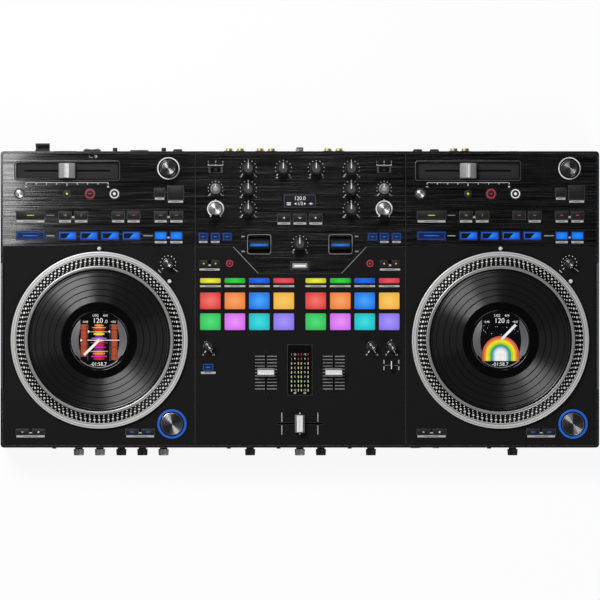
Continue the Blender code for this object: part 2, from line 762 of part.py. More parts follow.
def deck_controls(side, hand):
    """A deck's selector and its stop time knob."""
    selector = deck_x(side, SELECTOR_X_SHARE), upper_y(SELECTOR_Y_SHARE)
    stop = deck_x(side, STOP_KNOB_X_SHARE), lower_y(STOP_KNOB_Y_SHARE)
    return [
        Control(f"{hand}_selector_knob", selector, SELECTOR_RADIUS, SELECTOR_HEIGHT, "bright_metal", False),
        Control(f"{hand}_stop_time_knob", stop, SMALL_KNOB_RADIUS, SMALL_KNOB_HEIGHT, "bright_metal"),
    ]


def channel_controls(side, hand):
    """A channel's three tone knobs, its trim and its filter."""
    tone, trim = side * mixer_x(TONE_X_SHARE), side * mixer_x(TRIM_X_SHARE)
    made = [
        Control(f"{hand}_{band}_knob", (tone, upper_y(row)), TONE_KNOB_RADIUS, TONE_KNOB_HEIGHT, "knob_black")
        for row, band in zip(TONE_ROW_SHARES, ("high", "mid", "low"))
    ]
    trim_place, filter_place = (trim, upper_y(TRIM_ROW_SHARE)), (trim, upper_y(FILTER_ROW_SHARE))
    made.append(Control(f"{hand}_trim_knob", trim_place, TRIM_KNOB_RADIUS, TRIM_KNOB_HEIGHT, "knob_grey"))
    made.append(
        Control(f"{hand}_filter_knob", filter_place, FILTER_KNOB_RADIUS, FILTER_KNOB_HEIGHT, "bright_metal")
    )
    return made


def shared_controls():
    """The mixer's own knobs: booth, master and effect depth, then sampler and headphones."""
    level_row, small_row = upper_y(TONE_ROW_SHARES[0]), lower_y(SMALL_KNOB_ROW_SHARE)
    tall = (
        ("booth_level_knob", (-mixer_x(LEVEL_X_SHARE), level_row)),
        ("master_level_knob", (mixer_x(LEVEL_X_SHARE), level_row)),
        ("effect_depth_knob", (0, upper_y(DEPTH_KNOB_SHARE))),
    )
    small = (
        ("sampler_volume_knob", (-mixer_x(OUTER_KNOB_SHARE), small_row)),
        ("phones_level_knob", (mixer_x(INNER_KNOB_SHARE), small_row)),
        ("phones_mix_knob", (mixer_x(OUTER_KNOB_SHARE), small_row)),
    )
    made = [Control(*spot, TONE_KNOB_RADIUS, TONE_KNOB_HEIGHT, "knob_black") for spot in tall]
    made += [Control(*spot, SMALL_KNOB_RADIUS, SMALL_KNOB_HEIGHT, "bright_metal") for spot in small]
    return made


def controls():
    """Every rotary control on the top of the controller."""
    made = shared_controls()
    for side, hand in SIDES:
        made += deck_controls(side, hand) + channel_controls(side, hand)
    return made


def fluted(radius, height, flute, pointer, centre):
    """A ring of a knob: every other point drawn in by the flute, and the rearmost point standing out."""
    ring = []
    for i in range(KNOB_SIDES):
        angle = math.pi / 2 + math.tau * i / KNOB_SIDES
        here = radius - flute * (i % 2) + (pointer if i == 0 else 0)
        ring.append((centre[0] + here * math.cos(angle), centre[1] + here * math.sin(angle), height))
    return ring


def knob(control):
    """A knob on its shaft: a flared skirt, then a fluted waist and a crown, with a ridge as its pointer."""
    centre = (control.x, control.y)
    base, top = PANEL_TOP_Z + KNOB_LIFT, PANEL_TOP_Z + control.height
    waist = control.radius - KNOB_SKIRT_FLARE
    pointer = POINTER_RISE if control.points else 0
    return loft([
        fluted(SHAFT_RADIUS, PANEL_TOP_Z - SHAFT_REACH, 0, 0, centre),
        fluted(SHAFT_RADIUS, base, 0, 0, centre),
        fluted(control.radius, base, 0, 0, centre),
        fluted(waist, base + KNOB_SKIRT_HEIGHT, KNOB_FLUTE, pointer, centre),
        fluted(waist - KNOB_FLUTE, top - KNOB_FLUTE, KNOB_FLUTE, pointer, centre),
        fluted(waist - 2 * KNOB_FLUTE, top, 0, 0, centre),
    ])


def case_outline():
    """The case's outline in plan."""
    return rounded(CASE_WIDTH, CASE_DEPTH, CASE_CORNER)


def wall_thickness():
    """Thickness of the case's walls below the plates, with the ledge that carries the plates."""
    return LEDGE + WALL


def case_ribs():
    """Ribs that stand on the floor under the seams between the decks and the mixer."""
    low, high = FOOT_HEIGHT + CASE_FLOOR / 2, PLATE_UNDERSIDE_Z - SEAT_GAP
    rear, front = BOARD_SHOULDER - BOARD_POST_INSET, RIB_FRONT_GAP - CASE_DEPTH / 2
    middle = (front + rear) / 2
    return [block(RIB_WIDTH, rear - front, low, high, (side * SEAM_X, middle)) for side, _ in SIDES]


def board_post_places():
    """Plan position of each post under the main board."""
    wide, narrow = BOARD_HALF_WIDTH - BOARD_POST_INSET, STEM_BOARD_HALF_WIDTH - BOARD_POST_INSET
    rear, shoulder, front = (
        BOARD_REAR - BOARD_POST_INSET, BOARD_SHOULDER + BOARD_POST_INSET, BOARD_POST_INSET - BOARD_FRONT,
    )
    places = []
    corners = ((wide, rear), (wide, shoulder), (narrow, rear), (narrow, front))
    for side, _ in SIDES:
        places += [(side * across, along) for across, along in corners]
    return places


def seam_post_places():
    """Plan position of each post under the plates' seams, where the main board has a hole for it."""
    places = [(side * share * CASE_WIDTH / 2, SEAM_Y) for side, _ in SIDES for share in SEAM_POST_SHARES]
    places += [(side * SEAM_X, SEAM_Y) for side, _ in SIDES]
    places += [(side * mixer_x(CHEVRON_POST_SHARE), SEAM_Y - CHEVRON_DROP) for side, _ in SIDES]
    return places


def case_posts():
    """Posts moulded on the floor, for the board and for the plates."""
    low = FOOT_HEIGHT + CASE_FLOOR / 2
    board_seat = PANEL_TOP_Z - BOARD_DROP - BOARD_THICKNESS - SEAT_GAP
    plate_seat = PLATE_UNDERSIDE_Z - SEAT_GAP
    posts = [(BOARD_POST_RADIUS, board_seat, place) for place in board_post_places()]
    posts += [(SEAM_POST_RADIUS, plate_seat, place) for place in seam_post_places()]
    return [prism(circle(radius, place, POST_SIDES), low, seat) for radius, seat, place in posts]


def grip_blocks():
    """Thick places in the end walls, big enough to hold the hand grips."""
    low, high = FOOT_HEIGHT + CASE_FLOOR / 2, PLATE_UNDERSIDE_Z - SEAT_GAP
    depth = GRIP_DEPTH + GRIP_SKIN - WALL / 2
    outer = CASE_WIDTH / 2 - WALL / 2 - depth / 2
    y = lower_y(GRIP_Y_SHARE)
    return [block(depth, GRIP_LENGTH + 2 * GRIP_SKIN, low, high, (side * outer, y)) for side, _ in SIDES]


def grip_pocket(side):
    """The cutter for one hand grip: a rounded slot that runs into the end wall."""
    deep, out = CASE_WIDTH / 2 - GRIP_DEPTH, CASE_WIDTH / 2 + OVERRUN
    y = lower_y(GRIP_Y_SHARE)
    outline = rounded(GRIP_LENGTH, GRIP_HEIGHT, GRIP_FILLET, (y, GRIP_Z))
    return loft([[(side * x, py, pz) for py, pz in outline] for x in (deep, out)])


def grip_bevel(side):
    """The cutter for the finger bevel along the rim above a hand grip."""
    edge, y = side * CASE_WIDTH / 2, lower_y(GRIP_Y_SHARE)
    section = [
        (edge - side * (GRIP_CHAMFER + SEAT_GAP), PANEL_TOP_Z + SEAT_GAP),
        (edge + side * SEAT_GAP, PANEL_TOP_Z - GRIP_CHAMFER - SEAT_GAP),
        (edge + side * SEAT_GAP, PANEL_TOP_Z + SEAT_GAP),
    ]
    return loft([[(x, y + end * GRIP_LENGTH / 2, z) for x, z in section] for end in (-1, 1)])


def in_wall(piece, back):
    """A piece drawn with +Z out of a wall and its face at zero, laid over onto the rear or front wall."""
    turn = Matrix.Rotation(-math.pi / 2 if back else math.pi / 2, 4, "X")
    place = Matrix.Translation((0, CASE_DEPTH / 2 if back else -CASE_DEPTH / 2, WALL_ROW_Z))
    piece.data.transform(place @ turn)
    return piece


def wall_cutter(outline, back):
    """A cutter through the front or rear wall, from an outline drawn in that wall's plane."""
    return in_wall(prism(outline, -wall_thickness() - OVERRUN, OVERRUN), back)


def wall_holes():
    """Cutters for every control and socket in the front and rear walls."""
    shaft, clear = SHAFT_RADIUS + RUNNING_GAP, 2 * SEAT_GAP
    openings = [(circle(shaft, (case_x(share), 0), SOCKET_SIDES), False) for share in FRONT_KNOB_SHARES]
    travel, height = FRONT_SWITCH_WIDTH + 2 * FRONT_SWITCH_ROOM, FRONT_SWITCH_HEIGHT + 2 * RUNNING_GAP
    openings += [(rectangle(travel, height, (case_x(share), 0)), False) for share in FRONT_SWITCH_SHARES]
    large, small = (case_x(PHONES_SHARE), 0), (case_x(MINI_PHONES_SHARE), 0)
    openings.append((rectangle(JACK_BODY + clear, JACK_BODY + clear, large), False))
    openings.append((circle(MINI_JACK_RADIUS + SEAT_GAP, small, SOCKET_SIDES), False))
    for x, width, height in rear_bodies_in_plan():
        openings.append((rectangle(width + clear, height + clear, (x, 0)), True))
    for x, radius, sides in rear_round_bodies():
        openings.append((circle(radius + SEAT_GAP, (x, 0), sides), True))
    return [wall_cutter(outline, back) for outline, back in openings]


def rear_bodies_in_plan():
    """Middle, width and height of every square body in the rear wall: phono pairs, jacks and sunk sockets."""
    pair_width = PHONO_PITCH + 2 * PHONO_BODY_MARGIN
    bodies = [(case_x(share), pair_width, PHONO_BODY_HEIGHT) for share in PHONO_PAIR_SHARES]
    bodies += [(case_x(share), JACK_BODY, JACK_BODY) for share in JACK_SHARES]
    return bodies + [(case_x(share), width, height) for share, width, height, _, _ in sunk_places()]


def rear_round_bodies():
    """Middle, radius and number of sides of every round body in the rear wall."""
    trimmers = [(case_x(share), TRIMMER_RADIUS, SOCKET_SIDES) for share in TRIMMER_SHARES]
    ground = (case_x(GROUND_SHARE), SHAFT_RADIUS, SOCKET_SIDES)
    return [*trimmers, ground, (case_x(COMBO_SHARE), COMBO_RADIUS, COMBO_SIDES)]


def phono_places():
    """X of every phono socket, in left and right pairs."""
    return [case_x(share) + hand * PHONO_PITCH / 2 for share in PHONO_PAIR_SHARES for hand in (-1, 1)]


def make_case(finish):
    """The bottom case: floor, walls with a ledge for the plates, ribs, posts, feet, grips and openings."""
    shell = prism(case_outline(), FOOT_HEIGHT, PANEL_TOP_Z)
    seat = PLATE_UNDERSIDE_Z - SEAT_GAP
    pocket = block(CASE_WIDTH - 2 * WALL, CASE_DEPTH - 2 * WALL, seat, PANEL_TOP_Z + OVERRUN)
    inner = 2 * wall_thickness()
    cavity = block(CASE_WIDTH - inner, CASE_DEPTH - inner, CASE_FLOOR_Z, PANEL_TOP_Z + OVERRUN)
    cut(cut(shell, [pocket]), [cavity])
    fused(shell, case_ribs() + case_posts() + grip_blocks() + case_feet())
    grips = [cutter(side) for cutter in (grip_pocket, grip_bevel) for side, _ in SIDES]
    cut(shell, grips + wall_holes())
    node("bottom_case", shell, finish)


def case_feet():
    """Six round feet moulded under the floor, narrower where they meet the table."""
    x, y = CASE_WIDTH / 2 - FOOT_INSET, CASE_DEPTH / 2 - FOOT_INSET
    top = FOOT_HEIGHT + CASE_FLOOR / 2
    rings = [(FOOT_WAIST_RADIUS, 0), (FOOT_RADIUS, FOOT_HEIGHT / 2), (FOOT_RADIUS, top)]
    centres = [(across * x, along * y) for across in (-1, 0, 1) for along in (-1, 1)]
    return [
        loft([at_height(circle(radius, centre, FOOT_SIDES), height) for radius, height in rings])
        for centre in centres
    ]


def plate_rectangle(left, right, front, rear):
    """A plate's outline between four edges, with half the seam's gap taken off each side."""
    gap = SEAM_GAP / 2
    return [
        (left + gap, front + gap), (right - gap, front + gap),
        (right - gap, rear - gap), (left + gap, rear - gap),
    ]


def deck_edges(side):
    """Left and right edge of a deck's plates."""
    inner, outer = side * SEAM_X, side * (SEAM_X + DECK_WIDTH)
    return min(inner, outer), max(inner, outer)


def shaft_holes(left, right, front, rear):
    """Openings for the shafts of the controls that stand inside a rectangle."""
    return [
        control.hole() for control in controls() if front < control.y < rear and left < control.x < right
    ]


def slot_cutter(width, depth, centre):
    """A cutter for a rectangular slot right through a plate and anything let into it."""
    return block(width, depth, PLATE_UNDERSIDE_Z - TRAY_SINK - OVERRUN, PANEL_TOP_Z + OVERRUN, centre)


def make_deck_plate(side, hand, finish):
    """A brushed plate above the seam, with its tempo tray let in and a ring round the selector."""
    left, right = deck_edges(side)
    plate = prism(plate_rectangle(left, right, SEAM_Y, upper_y(1)), PLATE_UNDERSIDE_Z, PANEL_TOP_Z)
    middle = PANEL_TOP_Z - PLATE_THICKNESS / 2
    tray = tray_centre(side)
    low = PANEL_TOP_Z - TRAY_SINK - TRAY_FLOOR
    lip = prism(rounded(TRAY_LENGTH, TRAY_WIDTH, TRAY_CORNER, tray), middle, PANEL_TOP_Z + TRAY_LIP_HEIGHT)
    well = (TRAY_LENGTH - 2 * TRAY_LIP_WIDTH, TRAY_WIDTH - 2 * TRAY_LIP_WIDTH)
    body = [size + 2 * TRAY_SHELL for size in well]
    box = prism(rounded(*body, TRAY_CORNER, tray), low, middle + TRAY_LIP_HEIGHT)
    selector = deck_controls(side, hand)[0]
    ring_edge, ring_bore = [
        circle(radius, (selector.x, selector.y), MOTOR_SIDES)
        for radius in (SELECTOR_RING_RADIUS, SELECTOR_RING_RADIUS - SELECTOR_RING_WALL)
    ]
    ring = prism(ring_edge, middle, PANEL_TOP_Z + SELECTOR_RING_HEIGHT)
    fused(plate, [lip])
    fused(plate, [box, ring])
    hollows = (rounded(*well, TRAY_CORNER / 2, tray), low + TRAY_FLOOR), (ring_bore, PANEL_TOP_Z)
    cut(plate, [prism(outline, floor, PANEL_TOP_Z + OVERRUN) for outline, floor in hollows])
    cutters = [key.hole() for key in deck_keys(side)] + shaft_holes(left, right, SEAM_Y, upper_y(1))
    cut(plate, [*cutters, slot_cutter(TEMPO_SLOT_LENGTH, SLOT_WIDTH, tray)])
    node(f"{hand}_deck_plate", plate, finish)


def make_platter_panel(side, hand, finish):
    """A matt panel under a platter, with the two lamps that light the platter's dots."""
    left, right = deck_edges(side)
    panel = prism(plate_rectangle(left, right, lower_y(1), SEAM_Y), PLATE_UNDERSIDE_Z, PANEL_TOP_Z)
    low, high = PLATE_UNDERSIDE_Z - OVERRUN, PANEL_TOP_Z + OVERRUN
    cutters = [key.hole() for key in bend_keys(side)] + shaft_holes(left, right, lower_y(1), SEAM_Y)
    hub = circle(HUB_RADIUS + OVERRUN, platter_centre(side), MOTOR_SIDES)
    start = circle(START_RING_RADIUS + KEY_CLEARANCE, start_centre(side), START_SIDES)
    cut(panel, cutters + [prism(outline, low, high) for outline in (hub, start)])
    node(f"{hand}_platter_panel", fused(panel, [lamp(place) for place in lamp_places(side)]), finish)


def lamp(place):
    """A short round lamp with a bevelled top."""
    rings = [
        (LAMP_RADIUS, PLATE_UNDERSIDE_Z + PLATE_THICKNESS / 2),
        (LAMP_RADIUS, PANEL_TOP_Z + LAMP_RISE - KEY_BEVEL),
        (LAMP_RADIUS - KEY_BEVEL, PANEL_TOP_Z + LAMP_RISE),
    ]
    return loft([at_height(circle(radius, place, SOCKET_SIDES), height) for radius, height in rings])


def chevron(gap):
    """The seam between the mixer's plates, from left to right, moved up by the gap."""
    low = SEAM_Y - CHEVRON_DROP + gap
    return [
        (-CHEVRON_TOP_HALF, SEAM_Y + gap), (-CHEVRON_BOTTOM_HALF, low), (CHEVRON_BOTTOM_HALF, low),
        (CHEVRON_TOP_HALF, SEAM_Y + gap),
    ]


def make_mixer_fascia(finish):
    """The mixer's brushed upper plate: it runs down between the pads, and frames both effect paddles."""
    edge, gap = SEAM_X - SEAM_GAP / 2, SEAM_GAP / 2
    rear = upper_y(1) - gap
    outline = [(-edge, SEAM_Y + gap), *chevron(gap), (edge, SEAM_Y + gap), (edge, rear), (-edge, rear)]
    fascia = prism(outline, PLATE_UNDERSIDE_Z, PANEL_TOP_Z)
    middle = PANEL_TOP_Z - PLATE_THICKNESS / 2
    rims, bodies, cutters = [], [], []
    for side, _ in SIDES:
        centre = bezel_centre(side)
        body = (BEZEL_WIDTH - 2 * BEZEL_RIM, BEZEL_DEPTH - 2 * BEZEL_RIM)
        rim = rounded(BEZEL_WIDTH, BEZEL_DEPTH, BEZEL_CORNER, centre)
        sunk = rounded(*body, BEZEL_CORNER / 2, centre)
        rims.append(prism(rim, middle, PANEL_TOP_Z + BEZEL_RISE))
        bodies.append(prism(sunk, PANEL_TOP_Z - BEZEL_SINK, middle + BEZEL_RISE))
        window = (PADDLE_WIDTH + 2 * RUNNING_GAP, body[1] - 2 * TRAY_WALL)
        cutters.append(slot_cutter(*window, centre))
        cutters.append(slot_cutter(SWITCH_OPENING_LENGTH, SWITCH_OPENING_WIDTH, input_switch_centre(side)))
    fused(fused(fascia, rims), bodies)
    cutters += [key.hole() for group in effect_keys() for key in group]
    cutters += shaft_holes(-edge, edge, SEAM_Y, upper_y(1))
    cutters.append(slot_cutter(SCREEN_WIDTH + 2 * SEAT_GAP, SCREEN_DEPTH + 2 * SEAT_GAP, screen_centre()))
    node("mixer_fascia", cut(fascia, cutters), finish)


def make_mixer_panel(finish):
    """The mixer's matt lower panel, with the openings for pads, faders, meter and small controls."""
    edge, gap = SEAM_X - SEAM_GAP / 2, SEAM_GAP / 2
    front = lower_y(1) + gap
    outline = [
        (-edge, front), (edge, front), (edge, SEAM_Y - gap), *reversed(chevron(-gap)), (-edge, SEAM_Y - gap),
    ]
    panel = prism(outline, PLATE_UNDERSIDE_Z, PANEL_TOP_Z)
    cutters = shaft_holes(-edge, edge, lower_y(1), SEAM_Y) + [echo_key().hole()]
    cutters.append(slot_cutter(METER_WIDTH + 2 * SEAT_GAP, METER_DEPTH + 2 * SEAT_GAP, meter_centre()))
    cutters.append(slot_cutter(CROSS_SLOT_LENGTH, SLOT_WIDTH, crossfader_centre()))
    cutters.append(slot_cutter(CUE_SLOT_LENGTH, SLOT_WIDTH, cue_slider_centre()))
    for side, _ in SIDES:
        cutters += [key.hole() for key in pad_keys(side) + mode_keys(side) + parameter_keys(side)]
        cutters.append(slot_cutter(SLOT_WIDTH, FADER_SLOT_LENGTH, channel_centre(side)))
    node("mixer_panel", cut(panel, cutters), finish)


def tray_centre(side):
    """Plan position of a tempo slider."""
    return deck_x(side, TEMPO_X_SHARE), upper_y(TEMPO_Y_SHARE)


def channel_centre(side):
    """Plan position of a channel fader."""
    return side * mixer_x(CHANNEL_X_SHARE), lower_y(CHANNEL_Y_SHARE)


def crossfader_centre():
    """Plan position of the crossfader."""
    return 0, lower_y(CROSSFADER_Y_SHARE)


def cue_slider_centre():
    """Plan position of the headphone cue slider."""
    return mixer_x(OUTER_KNOB_SHARE), lower_y(CUE_SLIDER_ROW_SHARE)


def input_switch_centre(side):
    """Plan position of an input selector switch."""
    return side * mixer_x(TRIM_X_SHARE), upper_y(INPUT_ROW_SHARE)


def bezel_centre(side):
    """Plan position of an effect paddle."""
    return side * mixer_x(BEZEL_X_SHARE), upper_y(BEZEL_Y_SHARE)


def screen_centre():
    """Plan position of the effect display."""
    return 0, upper_y(SCREEN_ROW_SHARE)


def meter_centre():
    """Plan position of the level meter."""
    return 0, lower_y(METER_ROW_SHARE)


def start_centre(side):
    """Plan position of a start and stop button."""
    return deck_x(side, START_X_SHARE), lower_y(START_Y_SHARE)


def lamp_places(side):
    """Plan positions of the two lamps that light the platter's dots."""
    x, y = platter_centre(side)
    angles = [math.radians(angle) for angle in LAMP_ANGLES_DEG]
    return [(x + LAMP_ORBIT * math.cos(angle), y + LAMP_ORBIT * math.sin(angle)) for angle in angles]


def bed_height():
    """Height of the platter's bed, on which the record lies."""
    return PANEL_TOP_Z + PLATTER_LIFT + PLATTER_HEIGHT - PLATTER_BED_DROP


def record_top():
    """Height of the record's label."""
    return bed_height() + SEAT_GAP + RECORD_THICKNESS


def display_underside():
    """Height of the lower face of the jog display's head."""
    return record_top() - DISPLAY_THICKNESS


def make_platter(side, hand, finish):
    """The platter casting: hollow underneath, a dotted flank and crest outside, and a bed for the record."""
    x, y = platter_centre(side)
    under, bed = PANEL_TOP_Z + PLATTER_LIFT, bed_height()
    crest = bed + PLATTER_BED_DROP
    pit = display_underside() - RUNNING_GAP
    hub_end = PANEL_TOP_Z - HUB_REACH
    bore, recess = DISPLAY_POST_RADIUS + RUNNING_GAP, DISPLAY_RADIUS + RUNNING_GAP
    profile = [
        (PLATTER_RADIUS, under),
        (PLATTER_RADIUS, under + PLATTER_FLANGE_HEIGHT),
        (PLATTER_FLANGE_INNER, under + PLATTER_FLANGE_HEIGHT),
        (PLATTER_CREST_OUTER, crest),
        (PLATTER_CREST_INNER, crest),
        (PLATTER_CREST_INNER, bed),
        (recess, bed),
        (recess, pit),
        (bore, pit),
        (bore, hub_end),
        (HUB_RADIUS, hub_end),
        (HUB_RADIUS, pit - PLATTER_WEB),
        (PLATTER_CREST_INNER - PLATTER_RIM_WALL, bed - PLATTER_WEB),
        (PLATTER_RADIUS - PLATTER_RIM_WALL, under),
    ]
    node(f"{hand}_platter", moved(turned(profile, PLATTER_SIDES), x, y), finish, (x, y, under))


def make_record(side, hand, finish):
    """The control record: a bead at the edge, a lowered grooved band and a flat label, open in the middle."""
    x, y = platter_centre(side)
    top = record_top()
    low, groove = top - RECORD_THICKNESS, top - RECORD_GROOVE_DROP
    hole = DISPLAY_RADIUS + RUNNING_GAP
    profile = [
        (hole, low),
        (RECORD_RADIUS, low),
        (RECORD_RADIUS, groove + RECORD_BEAD_HEIGHT),
        (RECORD_RADIUS - RECORD_BEAD_WIDTH, groove),
        (RECORD_LABEL_RADIUS, groove),
        (RECORD_LABEL_RADIUS, top),
        (hole, top),
    ]
    node(f"{hand}_record", moved(turned(profile, PLATTER_SIDES), x, y), finish, (x, y, low))


def make_display(side, hand, finish):
    """A round display that stands still in the record's middle, on a post down to the case floor."""
    x, y = platter_centre(side)
    foot, under, top = CASE_FLOOR_Z + SEAT_GAP, display_underside(), record_top()
    edge = DISPLAY_RADIUS - RUNNING_GAP
    profile = [
        (0, foot),
        (DISPLAY_POST_RADIUS, foot),
        (DISPLAY_POST_RADIUS, under),
        (edge, under),
        (edge, top),
        (edge - DISPLAY_BEZEL, top),
        (edge - DISPLAY_BEZEL, top - SEAT_GAP),
        (0, top - SEAT_GAP),
    ]
    node(f"{hand}_jog_display", moved(turned(profile, DISPLAY_SIDES), x, y), finish)


def make_motor(side, hand, finish):
    """A direct-drive motor: a can on a base flange, bored for the platter's hub and the display's post."""
    x, y = platter_centre(side)
    low, top = CASE_FLOOR_Z + SEAT_GAP, PLATE_UNDERSIDE_Z - MOTOR_DROP
    seat = PANEL_TOP_Z - HUB_REACH - RUNNING_GAP
    hub_bore, post_bore = HUB_RADIUS + RUNNING_GAP, DISPLAY_POST_RADIUS + SEAT_GAP
    profile = [
        (MOTOR_BASE_RADIUS, low), (MOTOR_BASE_RADIUS, low + MOTOR_BASE_HEIGHT),
        (MOTOR_RADIUS, low + MOTOR_BASE_HEIGHT), (MOTOR_RADIUS, top), (hub_bore, top), (hub_bore, seat),
        (post_bore, seat), (post_bore, low),
    ]
    node(f"{hand}_platter_motor", moved(turned(profile, MOTOR_SIDES), x, y), finish)


def cap_section(depth, height):
    """Side view of a fader cap: upright feet, flanks that lean in, and a crown with a line cut in it."""
    base, top = PANEL_TOP_Z + CAP_LIFT, PANEL_TOP_Z + height
    half, crown = depth / 2, depth * CAP_CROWN_SHARE
    shoulder = base + (top - base) * CAP_SHOULDER_SHARE
    return [
        (-half, base), (half, base), (half, shoulder), (crown, top), (CAP_GROOVE, top),
        (0, top - CAP_GROOVE), (-CAP_GROOVE, top), (-crown, top), (-half, shoulder),
    ]


def fader_cap(centre, length, depth, height, travels_in_x):
    """A fader cap with the stem that carries it; its line lies across its travel."""
    section = cap_section(depth, height)
    cap = loft([[(end * length / 2, across, up) for across, up in section] for end in (-1, 1)])
    fused(cap, [block(STEM_WIDTH, STEM_LENGTH, PANEL_TOP_Z - STEM_REACH, PANEL_TOP_Z + 2 * CAP_LIFT)])
    if travels_in_x:
        cap.data.transform(Matrix.Rotation(math.pi / 2, 4, "Z"))
    return moved(cap, *centre)


def make_faders(finish):
    """The five fader caps."""
    crossfader = fader_cap(crossfader_centre(), CROSS_CAP_LENGTH, CROSS_CAP_DEPTH, FADER_CAP_HEIGHT, True)
    node("crossfader_cap", crossfader, finish, (*crossfader_centre(), PANEL_TOP_Z))
    for side, hand in SIDES:
        channel = fader_cap(channel_centre(side), FADER_CAP_LENGTH, FADER_CAP_DEPTH, FADER_CAP_HEIGHT, False)
        node(f"{hand}_channel_cap", channel, finish, (*channel_centre(side), PANEL_TOP_Z))
        tempo = fader_cap(tray_centre(side), TEMPO_CAP_DEPTH, TEMPO_CAP_LENGTH, TEMPO_CAP_HEIGHT, True)
        node(f"{hand}_tempo_cap", tempo, finish, (*tray_centre(side), PANEL_TOP_Z))


def make_paddle(side, hand, finish):
    """An effect paddle: a barrel on a cross axis, with a blade that stands up through its frame."""
    x, y = bezel_centre(side)
    axis_z, tip = PANEL_TOP_Z - PADDLE_AXIS_DROP, PANEL_TOP_Z + PADDLE_BLADE_RISE
    radius, half = PADDLE_BARREL_RADIUS, PADDLE_BLADE_THICKNESS / 2
    offset, taper = -PADDLE_BLADE_Y_SHARE * radius, PADDLE_BLADE_THICKNESS / 4
    front, rear = math.asin((offset - half) / radius), math.asin((offset + half) / radius)
    angles = [rear + (math.tau - rear + front) * i / PADDLE_ARC_STEPS for i in range(PADDLE_ARC_STEPS + 1)]
    section = [(y + radius * math.sin(angle), axis_z + radius * math.cos(angle)) for angle in angles]
    section += [(y + offset - taper, tip - taper), (y + offset, tip), (y + offset + taper, tip - taper)]
    blade = loft([[(x + end * PADDLE_WIDTH / 2, py, pz) for py, pz in section] for end in (-1, 1)])
    node(f"{hand}_effect_paddle", blade, finish, (x, y, axis_z))


def make_start_button(side, hand, finish):
    """A start and stop button: a bright cap in the middle of a lower ring that lights up."""
    x, y = start_centre(side)
    low = PANEL_TOP_Z - START_BUTTON_DROP
    crown, cap = PANEL_TOP_Z + START_RING_RISE, PANEL_TOP_Z + START_BUTTON_RISE
    ring_inner, groove = START_BUTTON_RADIUS + START_RING_GROOVE, crown - START_RING_GROOVE_DEPTH
    profile = [
        (0, low), (START_RING_RADIUS, low), (START_RING_RADIUS, crown - KEY_BEVEL),
        (START_RING_RADIUS - KEY_BEVEL, crown), (ring_inner, crown), (ring_inner, groove),
        (START_BUTTON_RADIUS, groove), (START_BUTTON_RADIUS, cap - KEY_BEVEL),
        (START_BUTTON_RADIUS - KEY_BEVEL, cap), (0, cap),
    ]
    node(f"{hand}_start_button", moved(turned(profile, START_SIDES), x, y), finish, (x, y, PANEL_TOP_Z))


def make_key_banks(finishes):
    """The banks of keys and pads, each moulded on one web."""
    for side, hand in SIDES:
        deck = key_bank([deck_keys(side)], [], KEY_RISE, KEY_BEVEL)
        node(f"{hand}_deck_keys", deck, finishes["key_black"])
        bend = key_bank([bend_keys(side)], [], KEY_RISE, KEY_BEVEL)
        node(f"{hand}_bend_keys", bend, finishes["key_black"])
        node(f"{hand}_pads", pad_bank(side), finishes["pad_rubber"])
    node("effect_keys", effect_bank(), finishes["key_black"])


def pad_bank(side):
    """Pads, pad mode keys and parameter keys of one side; the left bank also reaches the echo key."""
    pads, parameters = pad_keys(side), parameter_keys(side)
    groups = [pads + mode_keys(side)]
    left, right, front, rear = span(parameters)
    outer = left if side < 0 else right - 2 * FX_KEY_WIDTH
    links = [(outer, outer + 2 * FX_KEY_WIDTH, span(pads)[3], rear)]
    if side < 0:
        echo = span([echo_key()])
        groups.append([echo_key()])
        links.append((span(pads)[0], echo[0] + 2 * KEY_WEB_MARGIN, echo[2], span(pads)[2] + KEY_WEB_MARGIN))
    bank = key_bank(groups, [*links, (left, right, front, rear)], PAD_RISE, PAD_BEVEL)
    return fused(bank, [key.top(KEY_RISE, KEY_BEVEL) for key in parameters])


def effect_bank():
    """The effect keys on one web that passes between the tone knobs and the paddles."""
    groups = effect_keys()
    middle, shift = span(groups[0]), span(groups[3])
    left, right = span(groups[1]), span(groups[2])
    across = (left[0], right[1], left[3] - KEY_WEB_MARGIN, left[3] + EFFECT_KEY_DEPTH / 2)
    ends, half = (shift[2], middle[2] + KEY_WEB_MARGIN), EFFECT_KEY_DEPTH / 4
    down = [(x - half, x + half, *ends) for x in (-EFFECT_KEY_WIDTH / 2, EFFECT_KEY_WIDTH / 2)]
    return key_bank(groups, [across, *down], KEY_RISE, KEY_BEVEL)


def lever(centre, length, depth, rise):
    """A slide switch's lever on a shoe that runs under the plate."""
    high = PLATE_UNDERSIDE_Z - SEAT_GAP
    low = high - SWITCH_SHOE_THICKNESS
    shoe = block(SWITCH_SHOE_LENGTH, SWITCH_SHOE_LENGTH, low, high, centre)
    return fused(shoe, [block(length, depth, (low + high) / 2, PANEL_TOP_Z + rise, centre)])


def make_switches(finish):
    """The two input selector levers and the headphone cue slider."""
    for side, hand in SIDES:
        centre = input_switch_centre(side)
        node(
            f"{hand}_input_switch", lever(centre, SWITCH_LEVER, SWITCH_LEVER, SWITCH_LEVER_RISE), finish,
            (*centre, PANEL_TOP_Z),
        )
    centre = cue_slider_centre()
    slider = lever(centre, SWITCH_LEVER, STEM_WIDTH, 2 * CAP_LIFT)
    heights = PANEL_TOP_Z + CAP_LIFT, PANEL_TOP_Z + CUE_LEVER_RISE
    handle = block(SWITCH_LEVER, CUE_LEVER_DEPTH, *heights, centre)
    node("phones_cue_slider", fused(slider, [handle]), finish, (*centre, PANEL_TOP_Z))


def stud(x, rings, sides=SOCKET_SIDES):
    """A round body drawn with +Z out of the wall, from (radius, height) pairs."""
    return loft([at_height(circle(radius, (x, 0), sides), height) for radius, height in rings])


def barrel(x, radius, reach):
    """A socket's round barrel, which stands out of its body."""
    return stud(x, [(radius, -WALL), (radius, reach)])


